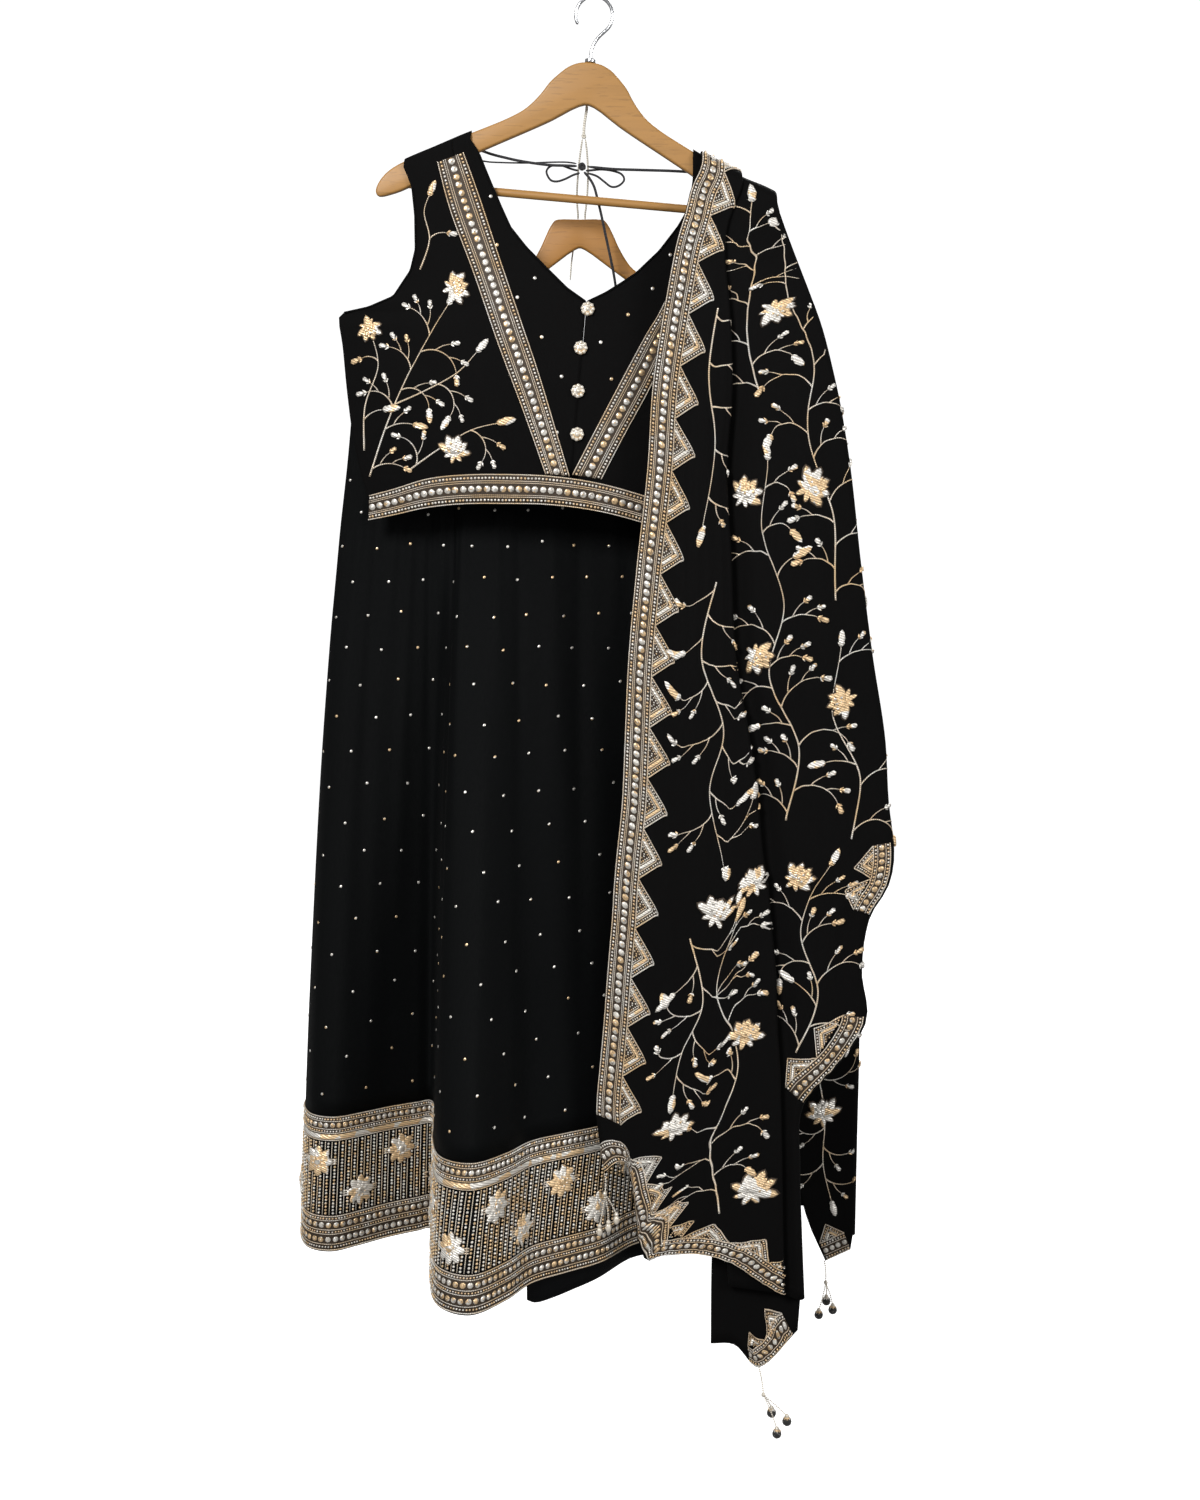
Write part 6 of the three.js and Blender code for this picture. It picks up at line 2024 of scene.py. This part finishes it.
# the scarf's vines: the layer, then share across and drop of each point of the stem
SCARF_VINES = (
    (0, ((0.84, 330), (0.72, 395), (0.86, 470), (0.72, 560))),
    (0, ((0.86, 620), (0.7, 700), (0.82, 780), (0.66, 850), (0.74, 930))),
    (0, ((0.5, 1010), (0.58, 1080), (0.46, 1140), (0.42, 1185))),
    (0, ((0.72, 1325), (0.64, 1240), (0.78, 1150), (0.66, 1070), (0.8, 990))),
    (2, ((0.5, 420), (0.42, 350), (0.52, 280), (0.46, 215))),
    (2, ((0.86, 640), (0.9, 560), (0.8, 480), (0.9, 390), (0.8, 310), (0.88, 240))),
    (2, ((0.46, 880), (0.56, 800), (0.44, 720), (0.56, 640), (0.46, 560), (0.52, 490))),
    (2, ((0.8, 900), (0.88, 830), (0.76, 760), (0.86, 690))),
    (2, ((0.62, 1140), (0.72, 1070), (0.6, 1000), (0.68, 930))),
)
SCARF_LOTUSES = (
    (2, 0.64, 330, 10, 1.0), (2, 0.36, 528, -60, 1.0), (2, 0.76, 520, -30, 1.15), (2, 0.37, 700, 30, 1.0),
    (2, 0.84, 748, 150, 1.0), (0, 0.66, 984, -70, 1.1), (0, 0.93, 950, -110, 1.05), (2, 0.5, 946, -50, 1.0),
    (0, 0.82, 1120, -80, 1.1), (0, 0.44, 1226, -100, 1.0), (0, 0.86, 1300, -90, 1.3))
SCARF_BACK_VINE = ((0.5, 1230), (0.42, 1290), (0.5, 1350), (0.42, 1400))
SCARF_BACK_LOTUS = (0.45, 1290, 90, 1.15)


class LEHENGA_OT_vines(bpy.types.Operator):
    """Embroiders vines with leaves, buds and lotuses on the bodice and the scarf"""

    bl_idname = "lehenga.vines"
    bl_label = "Vines"

    def execute(self, context):
        self.scarf()
        self.bodice()
        return {"FINISHED"}

    def scarf(self):
        face = scarf_face()
        borders = SCARF_TRIM + TOOTH["deep"] + 5
        low = lambda s, t: t < face.edge(s, -1) - borders
        high = lambda s, t: t > face.edge(s, 0) + borders
        on_cloth = lambda s, t: (s > borders) & (s < face.width - 12) & low(s, t) & high(s, t)
        for name, back in (("front", False), ("back", True)):
            heap, ground = Heap(), Ground(on_cloth)
            for layer, share, drop, heading, size in SCARF_LOTUSES:
                lotus(heap, face, ground, *face.spot(layer, share, drop, back), heading + 180 * back, size)
            if back:
                share, drop, heading, size = SCARF_BACK_LOTUS
                lotus(heap, face, ground, *face.spot(3, share, drop, True), heading, size)
                vine(heap, face, ground, [face.spot(3, *point, True) for point in SCARF_BACK_VINE], 2, 0.9)
            for phase, (layer, points) in enumerate(SCARF_VINES):
                vine(heap, face, ground, [face.spot(layer, *point, back) for point in points], phase)
            beaded_piece(heap, "vines_scarf_" + name, slot="beads")

    def bodice(self):
        for name, side in (("front", -1), ("back", 1)):
            lay = bodice_face(side)
            heap, ground = Heap(), Ground(bodice_ground(side))
            for x, drop, heading, size in BODICE_LOTUSES:
                lotus(heap, lay, ground, x, drop, heading, size)
            for phase, points in enumerate(BODICE_VINES):
                vine(heap, lay, ground, points, phase, 0.92)
            beaded_piece(heap, "vines_bodice_" + name, slot="beads")


def bodice_ground(side):
    """Where vines may lie on the bodice: outside the neckline's trim, inside the edges, above the band."""
    edges = (VEE_TRIM_LEFT[0], VEE_TRIM_RIGHT[1]) if side < 0 else (BACK_NECK_LEFT, BACK_NECK_RIGHT)
    left, right = (Table("x drop", *edge) for edge in edges)
    last = edges[0][-1][1]

    def on_cloth(x, drop):
        beside = (x < left.at("drop", "x", drop) - 12) | (x > right.at("drop", "x", drop) + 12)
        within = (x > LEFT_REACH.at("drop", "x", drop) + 15) & (x < RIGHT_REACH.at("drop", "x", drop) - 15)
        above = drop < WAIST_BAND.at("x", "top", x) - 11
        return (beside | (drop > last + 8)) & within & above & (drop > 200)

    return on_cloth


BODICE_VINES = (
    ((-166, 300), (-158, 268), (-166, 240), (-162, 222)),
    ((-206, 528), (-190, 470), (-172, 420), (-150, 372), (-132, 336)),
    ((-214, 500), (-216, 452), (-204, 408), (-214, 374)),
    ((-184, 448), (-150, 430), (-116, 408), (-96, 384)),
    ((-160, 516), (-128, 490), (-96, 468), (-68, 458)),
    ((214, 540), (204, 490), (222, 436), (206, 384)),
    ((168, 516), (150, 462), (170, 404), (162, 350), (172, 310)),
    ((112, 492), (128, 450), (118, 414)),
)
BODICE_LOTUSES = ((-128, 318, -20, 0.9), (-112, 494, -80, 0.9), (-218, 366, 60, 0.75), (184, 330, -80, 0.9))

# Cords, strings and tassels

TIE_PATHS = {
    "tie_left": ((-137, 12.4, -152), (-125, 12.5, -156), (-113, 12.4, -160), (-99, 12, -163.5),
                 (-84, 11.4, -166.8), (-68, 11, -169.4), (-50, 11, -171.5), (-34, 11, -172),
                 (-20.5, 11, -172.5)),
    "tie_right": ((-9.5, 11, -173), (18, 11, -175.6), (48, 11, -176.6), (78, 11.2, -177.4), (96, 12, -178.2),
                  (108, 12.4, -179), (118, 12.5, -180)),
    "tie_bow_left": ((-19, 14.4, -177), (-27, 14.6, -175), (-38, 14.4, -171.4), (-49, 14.2, -172),
                     (-54, 13.6, -178), (-50, 13, -186.5), (-43, 13, -188.5), (-34, 13.4, -186),
                     (-25, 14.4, -181.6), (-17.4, 14.8, -179.2)),
    "tie_bow_right": ((-11, 14.4, -177), (-4, 14.6, -176.4), (6, 14.4, -175.6), (18, 14.2, -177),
                      (28, 13.8, -180.6), (31, 13.4, -187), (25, 13.4, -193), (17, 13.6, -194),
                      (9, 14, -188.4), (1, 14.4, -182.6), (-9, 14.8, -179.4)),
    "tie_tail": ((-13, 10.4, -178.8), (-8, 10.4, -184), (-2, 10.6, -194), (2, 11, -208), (6, 12, -224),
                 (10, 13.5, -242), (14, 15, -260), (18, 16.5, -278), (21, 18, -294), (23, 19, -309),
                 (24, 19.6, -322)),
    "tie_left_thin": ((-136, 11.7, -165.4), (-126, 11.8, -166.6), (-116, 12.4, -168), (-104, 13.2, -168.4),
                      (-90, 14.6, -168.6), (-72, 15.2, -168.6), (-50, 15.4, -167.8), (-32, 15.2, -167.8),
                      (-21, 14.4, -169.4)),
}
STRING_PATHS = {
    "string_upper": ((-9.8, 7, -110), (-10, 9.4, -114), (-11.4, 10.6, -122), (-12.6, 11.4, -130),
                     (-13, 12, -137.6), (-13, 12.2, -140.6)),
    "string_lower_left": ((-14.6, 12.6, -143.8), (-17, 19, -158), (-19.6, 28, -178), (-21, 38, -200),
                          (-20.6, 44.5, -212), (-20, 47.7, -219), (-20, 48.3, -224.4)),
    "string_lower_right": ((-11.4, 12.6, -143.8), (-9.6, 19, -158), (-8.6, 28, -178), (-9.6, 38, -200),
                           (-11, 44.5, -212), (-12, 47.7, -219), (-12, 48.3, -224.4)),
    "string_end": ((-20, 57.6, -226), (-22.6, 58.4, -240), (-25.4, 58.8, -256), (-27.6, 58.8, -272),
                   (-29, 58.8, -290)),
}
CORD_RADII = {
    "tie_bow_left": 1.2, "tie_bow_right": 1.2, "tie_left_thin": 0.9, "string_upper": 1.6,
    "string_lower_left": 1.1, "string_lower_right": 1.1, "string_end": 0.9}
TIE_KNOT = (-15, 11, -173)
STRING_KNOT = (-13, 12.2, -141)
FREE_ENDS = ("tie_tail", "string_end")
SLACK_LOOPS = ("tie_bow_left", "tie_bow_right")


def cord_lay(node):
    if node in FREE_ENDS:
        return "hanging"
    return "loose" if node in SLACK_LOOPS else "taut"


class LEHENGA_OT_cords(bpy.types.Operator):
    """Adds the neck ties with their bow and the strings of the lower hanger"""

    bl_idname = "lehenga.cords"
    bl_label = "Ties and Strings"

    def execute(self, context):
        for node, points in {**TIE_PATHS, **STRING_PATHS}.items():
            self.cord(node, points)
        self.knot("knot_tie", TIE_KNOT, 4.4, 1.5, "tie", "black_cord", "tie_knot")
        self.knot("knot_string", STRING_KNOT, 2.7, 1.0, "string", "white_string", "string_knot")
        return {"FINISHED"}

    def cord(self, node, points):
        is_tie = node.startswith("tie")
        radius = CORD_RADII.get(node, settings("cord").tie_width / MM / 2)
        heap = Heap()
        path = tube(heap, points, radius, sides=10, fine=6, rounded=True)
        piece = heap.piece("cord_" + node, [look("tie" if is_tie else "string")],
                           "black_cord" if is_tie else "white_string", [node])
        metres = [tuple(float(v) * MM for v in point) for point in path]
        2 * radius * MM
        "bare" if node in FREE_ENDS else "object"
        cord_lay(node)

    def knot(self, name, place, reach, cord, tone, slot, node):
        """A knot of three turns of the cord, wound round each other."""
        heap = Heap()
        turns = np.linspace(0, TURN, 25)
        wide, deep = reach * 0.62, reach * 0.5
        for tilt in (0, 1, 2):
            lift = wide * np.sin(turns + tilt * 2.1)
            ring = np.stack([wide * np.cos(turns), deep * np.sin(turns), lift], -1)
            ring = np.roll(ring, tilt, axis=1)
            tube(heap, ring + place, cord, sides=8, fine=1)
        heap.piece(name, [look(tone)], slot, [node])


# each tassel's root, head and ball ends
TASSELS = {
    "tassel_front_left": ((10, -122, -1276.4), (10, -122, -1299),
                          ((4, -122, -1344), (14, -125, -1338), (23, -120, -1331))),
    "tassel_low": ((186.4, -104, -1515.4), (192, -104, -1549),
                   ((208, -104, -1597), (219, -107, -1580), (202, -99, -1574))),
    "tassel_back_right": ((285, 104, -1480), (287, 104, -1508),
                          ((279, 104, -1551), (296, 101, -1543), (289, 111, -1536))),
}
BALL = {"radius": 5.6, "bead": 1.35, "pitch": 2.7}


class LEHENGA_OT_tassels(bpy.types.Operator):
    """Adds the tassels at the scarf's corners"""

    bl_idname = "lehenga.tassels"
    bl_label = "Tassels"

    def execute(self, context):
        for node, (root, head, ends) in TASSELS.items():
            heap = Heap()
            self.beads(heap, root, head, 1.2)
            self.ball(heap, head, 2.6, 0)
            for end in ends:
                end = np.array(end, float)
                cap = end + [0, 0, BALL["radius"] + 1.0]
                self.beads(heap, head, cap, 1.1)
                self.ball(heap, cap, 2.6, 0)
                if node == "tassel_front_left":
                    self.drop_bead(heap, end)
                else:
                    self.ball(heap, end, BALL["radius"], 2)
                    self.cap(heap, end)
            heap.piece("beads_" + node, [look("pearl"), look("bead"), look("dark_ball")], "beads", [node])
        return {"FINISHED"}

    def beads(self, heap, start, end, radius):
        """A string of small pearls between two points."""
        start, end = np.array(start, float), np.array(end, float)
        count = max(2, int(np.linalg.norm(end - start) / (2 * radius)))
        sag = np.array([0.8, 0, 0])
        for f in np.linspace(0, 1, count):
            self.ball(heap, lerp(start, end, f) + sag * math.sin(math.pi * f), radius, 0, small_shape("bead"))

    def ball(self, heap, middle, radius, look_index, shape=None):
        points, faces = shape or small_shape("round_bead")
        heap.add(points * radius + middle, faces, look_index)

    def cap(self, heap, end):
        """A gold cap and a ring of gold beads on top of a ball."""
        points, faces = small_shape("sequin")
        heap.add(points * [3.6, 3.6, 3.0] + end + [0, 0, BALL["radius"] - 1.3], faces, 1)
        for turn in np.arange(8) / 8 * TURN:
            spot = end + [4.1 * math.cos(turn), 4.1 * math.sin(turn), BALL["radius"] - 1.6]
            self.ball(heap, spot, 0.8, 1, small_shape("bead"))

    def drop_bead(self, heap, end):
        """A long pale drop in place of a ball."""
        points, faces = small_shape("round_bead")
        heap.add(points * [3.6, 3.6, BALL["radius"]] + end, faces, 0)


# Studio

# the floor's depth, radius, curve up to its wall and the wall's height in metres, its steps and its glow
FLOOR = {"drop": 1.75, "radius": 5, "curve": 2, "wall": 6, "steps": 12, "glow": 0.75}
# the lens is as long as this many pixels of a picture of that height
CAMERA = {"place": (0.0046, -2.140, -0.478), "tilt": 81, "sensor": 36, "lens": 1900, "picture": 1500}


class LEHENGA_OT_stage(bpy.types.Operator):
    """Adds the floor, the lights and the camera"""

    bl_idname = "lehenga.stage"
    bl_label = "Stage"

    def execute(self, context):
        floor = self.backdrop()
        paint = Paint("floor")
        speckle = paint.noise(paint.place(), 3.0, 2.0)
        tone = colour("stage", "floor")
        floor.data.materials.append(paint.set(
            Base_Color=paint.mix(speckle, tone, lighter(tone, 0.97)), Roughness=0.9,
            Emission_Color=(1.0, 1.0, 1.0), Emission_Strength=FLOOR["glow"]))
        # diffuse and glossy rays miss the floor, so its glow doesn't light the cloth
        floor.visible_glossy = False
        floor.visible_diffuse = False
        floor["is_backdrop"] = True
        world = bpy.data.worlds.new("studio")
        world.use_nodes = True
        shade = world.node_tree.nodes["Background"]
        shade.inputs["Color"].default_value = (1, 1, 1, 1)
        shade.inputs["Strength"].default_value = settings("stage").background
        context.scene.world = world
        self.light("key", (-1.3, -2.5, 0.9), settings("stage").key, 0.9)
        self.light("fill", (2.2, -2.2, 0.2), settings("stage").key * 0.4, 1.2)
        self.light("back", (0.6, 2.6, 0.8), settings("stage").key * 0.5, 1.4)
        context.scene.view_settings.view_transform = "Standard"
        self.camera(context)
        return {"FINISHED"}

    def backdrop(self):
        """A floor that curves up into a wall on both sides, so that no horizon shows."""
        select_only()
        radius, curve, steps = FLOOR["radius"], FLOOR["curve"], FLOOR["steps"]
        bpy.ops.mesh.primitive_circle_add(
            vertices=96, radius=radius, fill_type="NGON", location=(0, 0, -FLOOR["drop"]))
        floor = bpy.context.active_object
        floor.name = "floor"
        bpy.ops.object.transform_apply(location=True, rotation=False, scale=False)
        bpy.ops.object.mode_set(mode="EDIT")
        bpy.ops.mesh.select_all(action="SELECT")
        bpy.ops.mesh.inset(thickness=0.01)
        bpy.ops.mesh.select_all(action="INVERT")
        bpy.ops.object.mode_set(mode="OBJECT")
        select_only(floor)
        mesh = floor.data
        for edge in mesh.edges:
            edge.select = all((mesh.vertices[v].co.xy.length > radius - MM) for v in edge.vertices)
        bpy.ops.object.mode_set(mode="EDIT")
        bpy.ops.mesh.select_mode(type="EDGE")
        for step in range(1, steps + 1):
            turn = math.radians(90 * step / steps)
            before = math.radians(90 * (step - 1) / steps)
            rise = curve * (math.cos(before) - math.cos(turn))
            grow = (radius + curve * math.sin(turn)) / (radius + curve * math.sin(before))
            bpy.ops.mesh.extrude_edges_move(TRANSFORM_OT_translate={"value": (0, 0, rise)})
            bpy.ops.transform.resize(value=(grow, grow, 1), center_override=(0, 0, 0))
        bpy.ops.mesh.extrude_edges_move(TRANSFORM_OT_translate={"value": (0, 0, FLOOR["wall"])})
        bpy.ops.object.mode_set(mode="OBJECT")
        mesh.shade_smooth()
        return floor

    def light(self, name, place, power, size):
        data = bpy.data.lights.new(name, "AREA")
        data.energy = power
        data.size = size
        lamp = bpy.data.objects.new(name, data)
        lamp.location = place
        lamp.rotation_euler = (Vector((0, 0, -0.8)) - Vector(place)).to_track_quat("-Z", "Y").to_euler()
        bpy.context.scene.collection.objects.link(lamp)

    def camera(self, context):
        """The photograph's view: level with the skirt and looking a little down."""
        data = bpy.data.cameras.new("camera")
        data.sensor_fit = "VERTICAL"
        data.sensor_height = CAMERA["sensor"]
        data.lens = CAMERA["sensor"] * CAMERA["lens"] / CAMERA["picture"]
        camera = bpy.data.objects.new("camera", data)
        camera.location = CAMERA["place"]
        camera.rotation_euler = (math.radians(CAMERA["tilt"]), 0, 0)
        context.scene.collection.objects.link(camera)
        context.scene.camera = camera


class LEHENGA_PT_panel(bpy.types.Panel):
    """Lists the set's pieces in the sidebar"""

    bl_idname = "LEHENGA_PT_panel"
    bl_label = "Lehenga Set"
    bl_space_type = "VIEW_3D"
    bl_region_type = "UI"
    bl_category = "Lehenga"

    def draw(self, context):
        for operator in OPERATORS:
            self.layout.operator(operator.bl_idname)
        for group in GROUPS:
            box = self.layout.box()
            box.label(text=group)
            for name in GROUPS[group].__annotations__:
                box.prop(settings(group), name)


GROUPS = {
    "cloth": ClothSettings,
    "trim": TrimSettings,
    "hanger": HangerSettings,
    "cord": CordSettings,
    "stage": StageSettings,
}
OPERATORS = (
    LEHENGA_OT_stage,
    LEHENGA_OT_cords,
    LEHENGA_OT_hangers,
    LEHENGA_OT_hook,
    LEHENGA_OT_bodice,
    LEHENGA_OT_bodice_trims,
    LEHENGA_OT_buttons,
    LEHENGA_OT_skirt,
    LEHENGA_OT_skirt_border,
    LEHENGA_OT_skirt_sequins,
    LEHENGA_OT_scarf,
    LEHENGA_OT_scarf_borders,
    LEHENGA_OT_vines,
    LEHENGA_OT_tassels,
)


def register():
    for group, settings_class in GROUPS.items():
        bpy.utils.register_class(settings_class)
        setattr(bpy.types.Scene, "lehenga_" + group, bpy.props.PointerProperty(type=settings_class))
    for registered in (*OPERATORS, LEHENGA_PT_panel):
        bpy.utils.register_class(registered)


def unregister():
    for registered in (LEHENGA_PT_panel, *reversed(OPERATORS)):
        bpy.utils.unregister_class(registered)
    for group, settings_class in GROUPS.items():
        delattr(bpy.types.Scene, "lehenga_" + group)
        bpy.utils.unregister_class(settings_class)


def main():
    register()
    for operator in OPERATORS:
        group, name = operator.bl_idname.split(".")
        getattr(getattr(bpy.ops, group), name)()
    as_lists = lambda box: [[float(v) for v in corner] for corner in box]
    {"cad": as_lists(cad_box), "visual": as_lists(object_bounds())}


if __name__ == "__main__":
    main()
